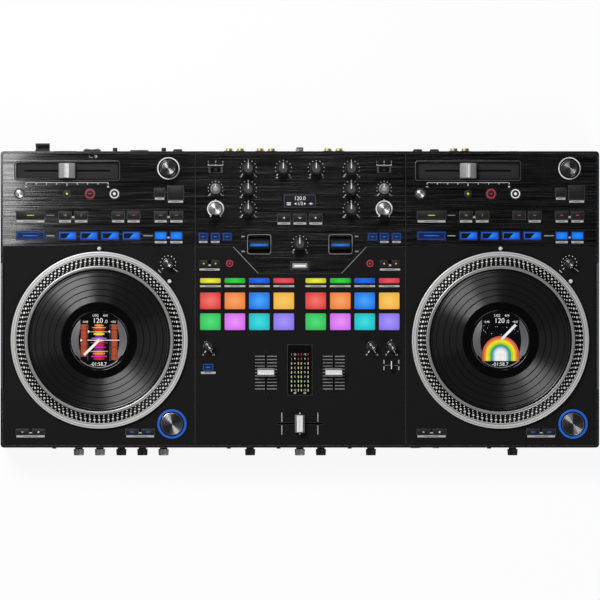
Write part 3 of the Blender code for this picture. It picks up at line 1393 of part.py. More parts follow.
def square_body(x, width, height, reach, depth=SOCKET_DEPTH):
    """The square body of a socket, from behind its bore to its face."""
    return block(width, height, -depth - WALL, reach, (x, 0))


def bore(x, radius, sides=SOCKET_SIDES):
    """The cutter for a socket's blind bore."""
    return stud(x, [(radius, -SOCKET_DEPTH), (radius, OVERRUN + JACK_REACH)], sides)


def rail(left, right):
    """The narrow board behind a wall that carries everything in it."""
    low = -wall_thickness() - SEAT_GAP - RAIL_THICKNESS
    return block(right - left, RAIL_HEIGHT, low, low + RAIL_THICKNESS, ((left + right) / 2, 0))


def make_front_controls(finish):
    """Front control board: knobs, slide switches and two headphone sockets on one rail."""
    ends = FRONT_SWITCH_SHARES[0], FRONT_KNOB_SHARES[-1]
    board = rail(case_x(ends[0]) - FRONT_SWITCH_WIDTH, case_x(ends[1]) + FRONT_SWITCH_WIDTH)
    inside = -wall_thickness() - SEAT_GAP - RAIL_THICKNESS / 2
    parts = []
    for share in FRONT_KNOB_SHARES:
        parts.append(stud(case_x(share), [
            (SHAFT_RADIUS, inside), (SHAFT_RADIUS, SEAT_GAP), (FRONT_KNOB_COLLAR_RADIUS, SEAT_GAP),
            (FRONT_KNOB_COLLAR_RADIUS, FRONT_KNOB_COLLAR), (FRONT_KNOB_RADIUS, FRONT_KNOB_COLLAR),
            (FRONT_KNOB_NOSE_RADIUS, FRONT_KNOB_REACH),
        ]))
    for share in FRONT_SWITCH_SHARES:
        place, tip = (case_x(share), 0), FRONT_SWITCH_REACH
        parts.append(loft([
            at_height(rectangle(FRONT_SWITCH_WIDTH, FRONT_SWITCH_HEIGHT, place), inside),
            at_height(rectangle(FRONT_SWITCH_WIDTH, FRONT_SWITCH_HEIGHT, place), tip - KEY_BEVEL),
            at_height(rectangle(FRONT_SWITCH_WIDTH - KEY_BEVEL, FRONT_SWITCH_HEIGHT - KEY_BEVEL, place), tip),
        ]))
    large, small = case_x(PHONES_SHARE), case_x(MINI_PHONES_SHARE)
    parts.append(square_body(large, JACK_BODY, JACK_BODY, 0))
    parts.append(barrel(large, JACK_RADIUS, PHONES_REACH))
    parts.append(stud(small, [(MINI_JACK_RADIUS, -SOCKET_DEPTH - WALL), (MINI_JACK_RADIUS, PHONES_REACH)]))
    body = cut(fused(board, parts), [bore(large, JACK_BORE_RADIUS), bore(small, MINI_JACK_BORE_RADIUS)])
    node("front_controls", in_wall(body, False), finish)


def contact(width, height, x):
    """A contact that stands in a flush socket."""
    return block(width, height, -SOCKET_DEPTH - WALL / 2, -WALL, (x, 0))


def sunk_places():
    """Place, outer width and height, wall and depth of each rectangular hollow in the rear sockets."""
    places = [(share, USB_WIDTH, USB_HEIGHT, USB_WALL, SOCKET_DEPTH) for share in USB_SHARES]
    places.append((INLET_SHARE, INLET_WIDTH, INLET_HEIGHT, INLET_WALL, SOCKET_DEPTH))
    frame = POWER_SWITCH_WIDTH, POWER_SWITCH_HEIGHT, POWER_FRAME_WALL
    return [*places, (POWER_SHARE, *frame, ROCKER_POCKET_DEPTH)]


def make_power_switch(finish):
    """The mains rocker, which tips about an upright axis in its frame."""
    x, half = case_x(POWER_SHARE), ROCKER_WIDTH / 2
    waist = half * ROCKER_WAIST_SHARE
    section = [
        (-half, POWER_SWITCH_REACH), (-waist, -ROCKER_DEPTH), (waist, -ROCKER_DEPTH),
        (half, POWER_SWITCH_REACH), (0, POWER_SWITCH_REACH - ROCKER_DIP),
    ]
    height = (POWER_SWITCH_HEIGHT - 2 * POWER_FRAME_WALL) / 2 - RUNNING_GAP
    rear = CASE_DEPTH / 2
    outline = [(x + across, rear + out) for across, out in section]
    rocker = prism(outline, WALL_ROW_Z - height, WALL_ROW_Z + height)
    node("power_switch", rocker, finish, (x, rear - ROCKER_DEPTH / 2, WALL_ROW_Z))


def rear_bodies():
    """Every square or round body in the rear wall, before it is bored and its barrels are added."""
    flush = rear_bodies_in_plan()[:-len(sunk_places())]
    parts = [square_body(x, width, height, 0) for x, width, height in flush]
    for share, width, height, _, depth in sunk_places():
        reach = POWER_FRAME_REACH if share == POWER_SHARE else FLUSH_REACH
        parts.append(square_body(case_x(share), width, height, reach, depth))
    combo = [(COMBO_RADIUS, -SOCKET_DEPTH - WALL), (COMBO_RADIUS, COMBO_REACH)]
    parts.append(stud(case_x(COMBO_SHARE), combo, COMBO_SIDES))
    inside = -wall_thickness() - SEAT_GAP - RAIL_THICKNESS / 2
    trimmer = [(TRIMMER_RADIUS, inside), (TRIMMER_RADIUS, TRIMMER_REACH)]
    parts += [stud(case_x(share), trimmer) for share in TRIMMER_SHARES]
    shaft = [(SHAFT_RADIUS, inside), (SHAFT_RADIUS, SEAT_GAP)]
    nut = [(GROUND_RADIUS, SEAT_GAP), (GROUND_RADIUS, GROUND_REACH)]
    return [*parts, stud(case_x(GROUND_SHARE), shaft + nut)]


def make_rear_sockets(finish):
    """Everything in the rear wall on one rail: phono, jack, microphone, ground, USB and mains sockets."""
    board = rail(case_x(INLET_SHARE) - INLET_WIDTH / 2, case_x(USB_SHARES[-1]) + USB_WIDTH / 2)
    bores = [bore(x, PHONO_BORE_RADIUS) for x in phono_places()]
    bores += [bore(case_x(share), JACK_BORE_RADIUS) for share in (*JACK_SHARES, COMBO_SHARE)]
    for share, width, height, wall, depth in sunk_places():
        bores.append(block(width - 2 * wall, height - 2 * wall, -depth, OVERRUN, (case_x(share), 0)))
    contacts = [contact(2 * USB_TONGUE, USB_TONGUE, case_x(share)) for share in USB_SHARES]
    pins = [case_x(INLET_SHARE) + hand * INLET_PIN_SPACING for hand in (-1, 0, 1)]
    contacts += [contact(INLET_PIN, 2 * INLET_PIN, x) for x in pins]
    barrels = [barrel(x, PHONO_RADIUS, PHONO_REACH) for x in phono_places()]
    barrels += [barrel(case_x(share), JACK_RADIUS, JACK_REACH) for share in JACK_SHARES]
    body = fused(cut(fused(fused(board, rear_bodies()), barrels), bores), contacts)
    node("rear_sockets", in_wall(body, True), finish)


def make_hook(finish):
    """The cable hook on the rear wall: a flat plate, an arm and a turned-up end that holds the lead."""
    rear, tip = CASE_DEPTH / 2 + SEAT_GAP, CASE_DEPTH / 2 + HOOK_REACH
    x = case_x(HOOK_SHARE)
    low, high = HOOK_Z - HOOK_HEIGHT / 2, HOOK_Z + HOOK_HEIGHT / 2
    section = [
        (rear, low - HOOK_PLATE), (rear + HOOK_PLATE, low - HOOK_PLATE), (rear + HOOK_PLATE, low), (tip, low),
        (tip, high), (tip - HOOK_WALL, high), (tip - HOOK_WALL, low + HOOK_WALL),
        (rear + HOOK_PLATE, low + HOOK_WALL), (rear + HOOK_PLATE, high), (rear, high),
    ]
    hook = loft([[(x + end * HOOK_WIDTH / 2, y, z) for y, z in section] for end in (-1, 1)])
    node("cable_hook", hook, finish)


def track(length, centre, top, along_x):
    """A fader's track on the board, as (outer block, cutters): lips leave a slot for the stem."""
    low = PANEL_TOP_Z - BOARD_DROP
    body_length = length + 2 * TRACK_OVERHANG
    through = body_length + OVERRUN
    sizes = [(body_length, TRACK_WIDTH), (through, TRACK_WIDTH - 2 * TRACK_WALL), (through, SLOT_WIDTH)]
    outer, hollow, slot = sizes if along_x else [size[::-1] for size in sizes]
    body = block(*outer, low - BOARD_THICKNESS / 2, top, centre)
    cutters = [
        block(*hollow, low + TRACK_WALL, top - TRACK_WALL, centre),
        block(*slot, top - 2 * TRACK_WALL, top + OVERRUN, centre),
    ]
    return body, cutters


def make_main_board(finish):
    """The main board, a T in plan: it carries the pots, the fader tracks, the display and the meter."""
    top = PANEL_TOP_Z - BOARD_DROP
    wide, narrow = BOARD_HALF_WIDTH, STEM_BOARD_HALF_WIDTH
    outline = [
        (-narrow, -BOARD_FRONT), (narrow, -BOARD_FRONT), (narrow, BOARD_SHOULDER), (wide, BOARD_SHOULDER),
        (wide, BOARD_REAR), (-wide, BOARD_REAR), (-wide, BOARD_SHOULDER), (-narrow, BOARD_SHOULDER),
    ]
    board = prism(outline, top - BOARD_THICKNESS, top)
    pane = PANEL_TOP_Z + WINDOW_RISE
    parts = [control.pot() for control in controls()]
    parts.append(block(SCREEN_WIDTH, SCREEN_DEPTH, top - BOARD_THICKNESS / 2, pane, screen_centre()))
    parts.append(block(METER_WIDTH, METER_DEPTH, top - BOARD_THICKNESS / 2, pane, meter_centre()))
    switch_top = PLATE_UNDERSIDE_Z - SWITCH_SHOE_THICKNESS - 2 * SEAT_GAP
    places = [input_switch_centre(side) for side, _ in SIDES] + [cue_slider_centre()]
    parts += [block(POT_SIZE, POT_SIZE, top - BOARD_THICKNESS / 2, switch_top, place) for place in places]
    plate_seat = PLATE_UNDERSIDE_Z - SEAT_GAP
    tray_seat = PANEL_TOP_Z - TRAY_SINK - TRAY_FLOOR - SEAT_GAP
    tracks = [track(CROSS_SLOT_LENGTH, crossfader_centre(), plate_seat, True)]
    for side, _ in SIDES:
        tracks.append(track(FADER_SLOT_LENGTH, channel_centre(side), plate_seat, False))
        tracks.append(track(TEMPO_SLOT_LENGTH, tray_centre(side), tray_seat, True))
    fused(board, parts + [body for body, _ in tracks])
    cut(board, [post_hole(place) for place in seam_post_places()])
    node("main_board", cut(board, [cutter for _, pair in tracks for cutter in pair]), finish)


def post_hole(place):
    """The cutter for a seam post's hole in the main board."""
    top = PANEL_TOP_Z - BOARD_DROP
    outline = circle(SEAM_POST_RADIUS + POST_CLEARANCE, place, POST_SIDES)
    return prism(outline, top - BOARD_THICKNESS - OVERRUN, top + OVERRUN)


def make_supply(finish):
    """The power supply's box, on the floor beneath the left deck's end of the board."""
    centre = (deck_axis(-1), CASE_DEPTH / 2 - SUPPLY_REAR_GAP - SUPPLY_DEPTH / 2)
    low = CASE_FLOOR_Z + SEAT_GAP
    base = rectangle(SUPPLY_WIDTH, SUPPLY_DEPTH, centre)
    crown = rectangle(SUPPLY_WIDTH - 2 * SUPPLY_BEVEL, SUPPLY_DEPTH - 2 * SUPPLY_BEVEL, centre)
    box = loft([
        at_height(base, low), at_height(base, low + SUPPLY_HEIGHT - SUPPLY_BEVEL),
        at_height(crown, low + SUPPLY_HEIGHT),
    ])
    node("power_supply", box, finish)


def make_deck(side, hand, finishes):
    """Everything that belongs to one deck."""
    make_deck_plate(side, hand, finishes["brushed_plate"])
    make_platter_panel(side, hand, finishes["matt_panel"])
    make_platter(side, hand, finishes["platter_metal"])
    make_record(side, hand, finishes["record_black"])
    make_display(side, hand, finishes["glass_black"])
    make_motor(side, hand, finishes["can_steel"])
    make_start_button(side, hand, finishes["bright_metal"])
    make_paddle(side, hand, finishes["knob_black"])


def main():
    """Builds the whole controller in an empty scene."""
    for old in list(bpy.data.objects):
        bpy.data.objects.remove(old)
    finishes = make_materials()
    make_case(finishes["case_black"])
    make_mixer_fascia(finishes["brushed_plate"])
    make_mixer_panel(finishes["matt_panel"])
    for side, hand in SIDES:
        make_deck(side, hand, finishes)
    make_key_banks(finishes)
    make_faders(finishes["cap_silver"])
    for control in controls():
        node(control.name, knob(control), finishes[control.finish], (control.x, control.y, PANEL_TOP_Z))
    make_switches(finishes["knob_black"])
    make_front_controls(finishes["knob_black"])
    make_rear_sockets(finishes["socket_black"])
    make_power_switch(finishes["knob_grey"])
    make_hook(finishes["socket_black"])
    make_main_board(finishes["board_green"])
    make_supply(finishes["can_steel"])


main()
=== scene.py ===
"""Looks of the two-deck DJ controller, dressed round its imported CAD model.

Sizes are in millimetres in the model's own frame: +X to the operator's right, +Y to the rear, +Z up.
Form.piece turns them into metres once. Every piece rides on the CAD body that carries it.
"""

import logging
import math
from collections.abc import Callable, Iterable, Sequence
from dataclasses import dataclass
from enum import Enum, IntEnum
from typing import Any

import bpy
import numpy as np
from mathutils import Matrix, Vector


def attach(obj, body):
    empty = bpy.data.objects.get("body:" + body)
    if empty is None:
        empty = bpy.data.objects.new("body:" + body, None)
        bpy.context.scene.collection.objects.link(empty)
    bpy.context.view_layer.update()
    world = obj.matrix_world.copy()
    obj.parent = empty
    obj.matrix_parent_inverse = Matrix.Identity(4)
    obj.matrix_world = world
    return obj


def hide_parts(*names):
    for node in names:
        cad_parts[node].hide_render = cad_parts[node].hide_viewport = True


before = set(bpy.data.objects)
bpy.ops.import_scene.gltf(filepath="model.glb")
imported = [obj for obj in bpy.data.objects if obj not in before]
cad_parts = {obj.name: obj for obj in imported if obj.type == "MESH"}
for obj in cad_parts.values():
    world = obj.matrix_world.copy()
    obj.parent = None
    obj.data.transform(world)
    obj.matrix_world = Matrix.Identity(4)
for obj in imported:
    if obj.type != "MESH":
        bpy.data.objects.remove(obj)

log = logging.getLogger("dj_controller")

MM = 0.001
TOP = 54.0
INK = TOP + 0.05
LIFT = 0.02
KEY_RISE = 1.2
KEY_SINK = 3.2
WINDOW_Z = TOP + 0.44
UNLIT = 0.16

Colour = tuple[float, float, float]
Corner = tuple[float, float, float]
Spot = tuple[float, float]
Ring = np.ndarray


def tint(red: float, green: float, blue: float) -> Colour:
    """Turns a screen colour of 0 to 255 into the linear values that a shader takes.

    Args:
        red, green, blue: The colour as a screen shows it.

    Returns:
        The same colour in linear light.
    """
    scaled = [value / 255 for value in (red, green, blue)]
    linear = [v / 12.92 if v <= 0.04045 else ((v + 0.055) / 1.055) ** 2.4 for v in scaled]
    return (linear[0], linear[1], linear[2])


class Hand(Enum):
    """The two decks, and the two sides of the mixer."""

    LEFT = "left"
    RIGHT = "right"

    @property
    def side(self) -> int:
        """-1 for the left hand and 1 for the right."""
        return -1 if self is Hand.LEFT else 1

    @property
    def deck_x(self) -> float:
        """Where this deck's platter turns."""
        return self.side * 247.15


DECK_Y = -50.18
SELECTOR = (85.2, 161.55)
STOP_TIME = (84.73, 44.69)
TEMPO = (-39.78, 158.68)
LEVEL_X = 20.25
CHANNEL_X = 63.47
TRIM_X = 103.84
KNOB_ROWS = (161.21, 135.99, 111.24)
TRIM_Y = 136.45
FILTER_Y = 111.7
EFFECT_KNOB_Y = 68.49
FADER = (41.8, -89.94)
CROSSFADER = (0.0, -153.01)
SAMPLER_X = -112.8
PHONES_X = (88.65, 112.8)
SMALL_KNOB_Y = -57.5
CUE_SLIDER = (112.8, -80.86)
SMALL_KEYS_X = 111.15
PAD_COLUMNS = (19.7, 49.9, 80.0, 110.2)


class Tree:
    """Adds nodes to one shader tree and wires them."""

    def __init__(self, tree: bpy.types.NodeTree) -> None:
        """Keeps the tree to work in."""
        self.tree = tree

    def add(self, kind: str, inputs: dict[Any, Any] | None = None, **settings: Any) -> bpy.types.Node:
        """Adds a node.

        Args:
            kind: The node's type name.
            inputs: Sockets by name or number, each with a value or another node's socket.
            settings: Attributes of the node.

        Returns:
            The new node.
        """
        node = self.tree.nodes.new(kind)
        for name, value in settings.items():
            setattr(node, name, value)
        for key, value in (inputs or {}).items():
            if isinstance(value, bpy.types.NodeSocket):
                self.tree.links.new(value, node.inputs[key])
            else:
                node.inputs[key].default_value = value
        return node

    def math(self, operation: str, *values: Any) -> bpy.types.NodeSocket:
        """Adds a Math node on up to three values and returns what it gives."""
        return self.add("ShaderNodeMath", dict(enumerate(values)), operation=operation).outputs[0]

    def vector(self, operation: str, *values: Any) -> bpy.types.Node:
        """Adds a Vector Math node."""
        return self.add("ShaderNodeVectorMath", dict(enumerate(values)), operation=operation)

    def mix(self, share: Any, first: Any, second: Any) -> bpy.types.NodeSocket:
        """Blends two colours and returns the blend."""
        inputs = {0: share, 6: opaque(first), 7: opaque(second)}
        return self.add("ShaderNodeMix", inputs, data_type="RGBA").outputs[2]

    def spread(self, value: Any, start: float, stop: float, low: float = 0.0, high: float = 1.0) -> Any:
        """Maps start to stop onto low to high, held at both ends, and returns the result."""
        return self.add("ShaderNodeMapRange", {0: value, 1: start, 2: stop, 3: low, 4: high}).outputs[0]


def opaque(value: Any) -> Any:
    """Gives a plain colour its fourth number, and leaves a socket as it is."""
    return value if isinstance(value, bpy.types.NodeSocket) else (*value, 1.0)


@dataclass(frozen=True)
class Effect:
    """A node group that several materials share, each with its own values."""

    title: str
    inputs: tuple[tuple[str, float], ...]
    outputs: tuple[str, ...]
    wire: Callable[[Tree, bpy.types.Node], Sequence[bpy.types.NodeSocket]]

    def tree(self) -> bpy.types.NodeTree:
        """Builds the group's tree the first time it is asked for.

        Returns:
            The group's tree.
        """
        if self.title in bpy.data.node_groups:
            return bpy.data.node_groups[self.title]
        group = bpy.data.node_groups.new(self.title, "ShaderNodeTree")
        for name, value in self.inputs:
            socket = group.interface.new_socket(name, in_out="INPUT", socket_type="NodeSocketFloat")
            socket.default_value = value
        for name in self.outputs:
            group.interface.new_socket(name, in_out="OUTPUT", socket_type="NodeSocketFloat")
        given, result = group.nodes.new("NodeGroupInput"), group.nodes.new("NodeGroupOutput")
        for number, socket in enumerate(self.wire(Tree(group), given)):
            group.links.new(socket, result.inputs[number])
        return group

    def place(self, tree: Tree, **values: float) -> bpy.types.Node:
        """Puts the group in a material.

        Args:
            tree: The material's tree.
            values: The group's inputs for this material.

        Returns:
            The group node.
        """
        return tree.add("ShaderNodeGroup", dict(values), node_tree=self.tree())


def object_place(tree: Tree) -> bpy.types.NodeSocket:
    """Returns the point on the surface, in its object's own metres."""
    return tree.add("ShaderNodeTexCoord").outputs["Object"]


def wire_grain(tree: Tree, given: bpy.types.Node) -> Sequence[bpy.types.NodeSocket]:
    """Fine moulded or painted grain: two sizes of noise added up.

    Args:
        tree: The group's own tree.
        given: The group's inputs.

    Returns:
        A socket for each output.
    """
    place = object_place(tree)
    fine = {"Vector": place, "Scale": given.outputs["Scale"], "Detail": 3.0}
    coarse = {"Vector": place, "Scale": tree.math("MULTIPLY", given.outputs["Scale"], 0.06), "Detail": 4.0}
    values = [tree.add("ShaderNodeTexNoise", inputs).outputs["Fac"] for inputs in (fine, coarse)]
    return [tree.math("ADD", tree.math("MULTIPLY", values[0], 0.7), tree.math("MULTIPLY", values[1], 0.3))]


def wire_brushing(tree: Tree, given: bpy.types.Node) -> Sequence[bpy.types.NodeSocket]:
    """Brush lines that run along X: hair lines, with longer and broader bands between them.

    Args:
        tree: The group's own tree.
        given: The group's inputs.

    Returns:
        A socket for each output.
    """
    place = object_place(tree)
    hair = tree.vector("MULTIPLY", place, (0.008, 1.0, 1.0)).outputs[0]
    band = tree.vector("MULTIPLY", place, (0.022, 1.0, 1.0)).outputs[0]
    lines = {"Vector": hair, "Scale": given.outputs["Scale"], "Detail": 5.0, "Roughness": 0.7}
    bands = {"Vector": band, "Scale": tree.math("MULTIPLY", given.outputs["Scale"], 0.22), "Detail": 4.0}
    values = [tree.add("ShaderNodeTexNoise", inputs).outputs["Fac"] for inputs in (lines, bands)]
    both = tree.math("ADD", tree.math("MULTIPLY", values[0], 0.45), tree.math("MULTIPLY", values[1], 0.55))
    return [tree.spread(both, 0.36, 0.64)]


def wire_turning(tree: Tree, given: bpy.types.Node) -> Sequence[bpy.types.NodeSocket]:
    """Lathe lines about the object's own axis, uneven from one to the next.

    Args:
        tree: The group's own tree.
        given: The group's inputs.

    Returns:
        A socket for each output.
    """
    place = object_place(tree)
    flat = tree.vector("MULTIPLY", place, (1.0, 1.0, 0.0)).outputs[0]
    radius = tree.vector("LENGTH", flat).outputs["Value"]
    turns = tree.math("DIVIDE", radius, given.outputs["Pitch"])
    wave = tree.math("SINE", tree.math("MULTIPLY", turns, math.tau))
    uneven = tree.add("ShaderNodeTexNoise", {"W": turns, "Scale": 0.37, "Detail": 3.0}, noise_dimensions="1D")
    raised = tree.math("MULTIPLY_ADD", wave, 0.25, 0.5)
    return [tree.math("MULTIPLY", raised, tree.spread(uneven.outputs["Fac"], 0.3, 0.7, 0.6, 1.4))]


def wire_wear_and_highlight(tree: Tree, given: bpy.types.Node) -> Sequence[bpy.types.NodeSocket]:
    """Rubbed edges, which also paint the highlight that edges catch: where a rounded normal leaves the true one, broken
    up by noise.

    Args:
        tree: The group's own tree.
        given: The group's inputs.

    Returns:
        A socket for each output.
    """
    rounded_off = tree.add("ShaderNodeBevel", {"Radius": given.outputs["Width"]}, samples=4)
    true = tree.add("ShaderNodeNewGeometry").outputs["Normal"]
    turn = tree.vector("DOT_PRODUCT", rounded_off.outputs[0], true).outputs["Value"]
    edge = tree.spread(turn, 0.995, 0.90)
    patches = tree.add("ShaderNodeTexNoise", {"Vector": object_place(tree), "Scale": 260.0, "Detail": 4.0})
    broken = tree.spread(patches.outputs["Fac"], 0.36, 0.6)
    return [tree.math("MULTIPLY", tree.math("MULTIPLY", edge, broken), given.outputs["Amount"])]


def wire_dust(tree: Tree, given: bpy.types.Node) -> Sequence[bpy.types.NodeSocket]:
    """Settled dust: fine specks in soft patches, on what faces up.

    Args:
        tree: The group's own tree.
        given: The group's inputs.

    Returns:
        A socket for each output.
    """
    place = object_place(tree)
    specks = tree.add("ShaderNodeTexNoise", {"Vector": place, "Scale": 1900.0, "Detail": 2.0})
    patches = tree.add("ShaderNodeTexNoise", {"Vector": place, "Scale": 14.0, "Detail": 3.0})
    facing = tree.add("ShaderNodeSeparateXYZ", {0: tree.add("ShaderNodeNewGeometry").outputs["Normal"]})
    fine = tree.spread(specks.outputs["Fac"], 0.62, 0.72)
    broad = tree.spread(patches.outputs["Fac"], 0.35, 0.75)
    upward = tree.spread(facing.outputs["Z"], 0.3, 0.9)
    settled = tree.math("MULTIPLY", upward, given.outputs["Amount"])
    return [tree.math("MULTIPLY", tree.math("MULTIPLY", fine, broad), settled)]


GRAIN = Effect("grain", (("Scale", 3000.0),), ("Value",), wire_grain)
BRUSHING = Effect("brushing", (("Scale", 3000.0),), ("Value",), wire_brushing)
TURNING = Effect("turning", (("Pitch", 0.001),), ("Value",), wire_turning)
# The edge mask lightens every edge: rubbed wear, and a painted highlight along the edge.
EDGE_WEAR_AND_HIGHLIGHT = Effect("edge_wear_and_highlight", (("Width", 0.0005), ("Amount", 0.5)), ("Mask",), wire_wear_and_highlight)
DUST = Effect("dust", (("Amount", 0.3),), ("Mask",), wire_dust)


class Texture(Enum):
    """How a surface was finished."""

    GRAIN = "moulded, painted or blasted"
    BRUSHED = "brushed along X"
    TURNED = "turned about the object's own axis"


@dataclass(frozen=True)
class Finish:
    """A surface: its colour and gloss, the texture over it, how it has aged, and the highlight painted on its edges."""

    name: str
    colour: Colour
    roughness: float = 0.5
    metallic: float = 0.0
    texture: Texture = Texture.GRAIN
    scale: float = 2600.0
    variation: float = 0.12
    relief: float = 0.02
    stretch: float = 0.0
    axis: str = "Z"
    turn: float = 0.25
    coat: float = 0.0
    specular: float = 0.5
    # Lighter edges: rubbed wear, and a painted highlight on every edge.
    wear_and_highlight: float = 0.0
    wear_and_highlight_width: float = 0.4
    worn_and_lit_colour: Colour = (0.30, 0.30, 0.31)
    dust: float = 0.0

    def pattern(self, tree: Tree) -> bpy.types.NodeSocket:
        """Adds the texture, whose value runs from 0 to 1.

        Args:
            tree: The material's tree.

        Returns:
            The texture's value.
        """
        if self.texture is Texture.TURNED:
            return TURNING.place(tree, Pitch=self.scale * MM).outputs[0]
        effect = BRUSHING if self.texture is Texture.BRUSHED else GRAIN
        return effect.place(tree, Scale=self.scale).outputs[0]

    def coloured(self, tree: Tree, pattern: bpy.types.NodeSocket) -> bpy.types.NodeSocket:
        """Adds the colour with its variation, lighter edges that are partly wear and partly painted highlight, and
        dust.

        Args:
            tree: The material's tree.
            pattern: The texture's value.

        Returns:
            The colour.
        """
        low, high = 1 - self.variation, 1 + self.variation
        dark = tuple(value * low for value in self.colour)
        light = tuple(min(value * high, 1.0) for value in self.colour)
        colour = tree.mix(pattern, dark, light)
        # Edges turn a lighter grey: rubbed paint, and a painted highlight along every edge.
        if self.wear_and_highlight:
            mask = EDGE_WEAR_AND_HIGHLIGHT.place(tree, Width=self.wear_and_highlight_width * MM, Amount=self.wear_and_highlight).outputs[0]
            colour = tree.mix(mask, colour, self.worn_and_lit_colour)
        if self.dust:
            mask = DUST.place(tree, Amount=self.dust).outputs[0]
            colour = tree.mix(mask, colour, (0.32, 0.31, 0.29))
        return colour

    def material(self) -> bpy.types.Material:
        """Builds the finished material the first time it is asked for.

        Returns:
            The material.
        """
        if self.name in bpy.data.materials:
            return bpy.data.materials[self.name]
        made = bpy.data.materials.new(self.name)
        made.use_nodes = True
        tree = Tree(made.node_tree)
        shader = made.node_tree.nodes["Principled BSDF"]
        pattern = self.pattern(tree)
        links = made.node_tree.links
        links.new(self.coloured(tree, pattern), shader.inputs["Base Color"])
        low, high = max(self.roughness - 0.07, 0.02), min(self.roughness + 0.07, 1.0)
        links.new(tree.spread(pattern, 0.0, 1.0, low, high), shader.inputs["Roughness"])
        if self.relief:
            bump = tree.add("ShaderNodeBump", {"Strength": 1.0, "Distance": self.relief * MM, "Height": pattern})
            links.new(bump.outputs[0], shader.inputs["Normal"])
        if self.stretch:
            tangent = tree.add("ShaderNodeTangent", direction_type="RADIAL", axis=self.axis)
            links.new(tangent.outputs[0], shader.inputs["Tangent"])
            shader.inputs["Anisotropic"].default_value = self.stretch
            shader.inputs["Anisotropic Rotation"].default_value = self.turn
        shader.inputs["Metallic"].default_value = self.metallic
        shader.inputs["Specular IOR Level"].default_value = self.specular
        shader.inputs["Coat Weight"].default_value = self.coat
        shader.inputs["Coat Roughness"].default_value = 0.06
        self.extra(tree, shader)
        return made

    def extra(self, tree: Tree, shader: bpy.types.Node) -> None:
        """Leaves room for a finish that does more."""


@dataclass(frozen=True)
class Lit(Finish):
    """A surface lit from behind: brighter in the middle than at the edge."""

    light: Colour = (1.0, 1.0, 1.0)
    edge_light: Colour = (0.5, 0.5, 0.5)
    glow: float = 0.8
    lean: Spot = (0.0, 0.0)
    by_face: bool = True

    def extra(self, tree: Tree, shader: bpy.types.Node) -> None:
        """Adds the light that comes through.

        Args:
            tree: The material's tree.
            shader: Its shader.
        """
        place = tree.add("ShaderNodeTexCoord").outputs["UV" if self.by_face else "Generated"]
        across = tree.vector("SUBTRACT", place, (0.5, 0.5, 0.5)).outputs[0]
        level = tree.vector("MULTIPLY", across, (1.0, 1.0, 0.0)).outputs[0]
        reach = tree.vector("LENGTH", level).outputs["Value"]
        leaning = tree.vector("DOT_PRODUCT", level, (*self.lean, 0.0)).outputs["Value"]
        share = tree.spread(tree.math("ADD", reach, leaning), 0.05, 0.62)
        tree.tree.links.new(tree.mix(share, self.light, self.edge_light), shader.inputs["Emission Color"])
        shader.inputs["Emission Strength"].default_value = self.glow


Screen = tuple[int, int, int]


def lit(
    name: str, middle: Screen, edge: Screen, glow: float = 0.85, lean: Spot = (0.0, 0.0), by_face: bool = True,
) -> Lit:
    """Makes a lit finish from screen colours.

    Args:
        name: The material's name.
        middle: The colour in the middle.
        edge: The colour at the edge.
        glow: Strength of the light.
        lean: How far the bright middle leans to one side.
        by_face: Whether each face has a middle of its own, or the whole piece has one.

    Returns:
        The finish.
    """
    body = tuple(value * UNLIT for value in tint(*edge))
    return Lit(
        name, body, 0.4, relief=0.0, variation=0.1, specular=0.3, light=tint(*middle), edge_light=tint(*edge),
        glow=glow, lean=lean, by_face=by_face,
    )


CASE_BLACK = Finish("case_paint", tint(30, 30, 31), 0.36, scale=2200, specular=0.6, wear_and_highlight=0.55, wear_and_highlight_width=0.7, dust=0.1)
PLATE_BLACK = Finish(
    "brushed_black", tint(84, 84, 84), 0.22, 1.0, Texture.BRUSHED, variation=0.85, relief=0.0015,
    stretch=1.0, axis="X", turn=0.0, wear_and_highlight=0.5, wear_and_highlight_width=0.3,
)
PANEL_MATT = Finish("panel_matt", tint(16, 16, 16), 0.6, scale=2400, specular=0.12, wear_and_highlight=0.4, wear_and_highlight_width=0.3, dust=0.03)
TRAY_MATT = Finish("tray_matt", tint(37, 37, 37), 0.6, scale=2400, specular=0.2)
RIM_METAL = Finish("rim_metal", tint(92, 92, 92), 0.24, 1.0, variation=0.1, relief=0.003)
LIP_METAL = Finish("lip_metal", tint(94, 94, 96), 0.38, 0.5, relief=0.004)
SATIN_METAL = Finish(
    "platter_satin", tint(218, 218, 217), 0.36, 0.35, Texture.TURNED, scale=0.55, variation=0.06, relief=0.004,
    stretch=0.4, dust=0.03,
)
BEAD_METAL = Finish(
    "platter_bead", tint(172, 172, 171), 0.3, 0.6, Texture.TURNED, scale=0.4, variation=0.05, relief=0.003,
)
DOT_METAL = Finish("strobe_dots", tint(236, 236, 234), 0.35, 0.15, variation=0.08, relief=0.004)
FLANK_BLACK = Finish("platter_flank", tint(5, 5, 5), 0.4, 0.0, Texture.TURNED, scale=0.5, relief=0.01, specular=0.15)
CAST_METAL = Finish("platter_casting", tint(120, 120, 124), 0.5, 0.8, scale=1200, relief=0.04)
VINYL = Finish(
    "record_vinyl", tint(14, 14, 14), 0.32, 0.0, Texture.TURNED, scale=0.62, variation=0.5, relief=0.006,
    stretch=1.0, specular=1.0, dust=0.05,
)
VINYL_PLAIN = Finish("record_land", tint(5, 5, 6), 0.4, 0.0, Texture.TURNED, scale=0.9, relief=0.002, specular=0.15)
LABEL_GLOSS = Finish("record_label", tint(5, 5, 6), 0.14, scale=900, relief=0.001, specular=0.25)
KNOB_RUBBER = Finish("knob_rubber", tint(22, 22, 23), 0.55, specular=0.4, wear_and_highlight=0.3, wear_and_highlight_width=0.3)
KNOB_TOP = Finish("knob_top", tint(60, 60, 62), 0.5, relief=0.015, specular=0.35)
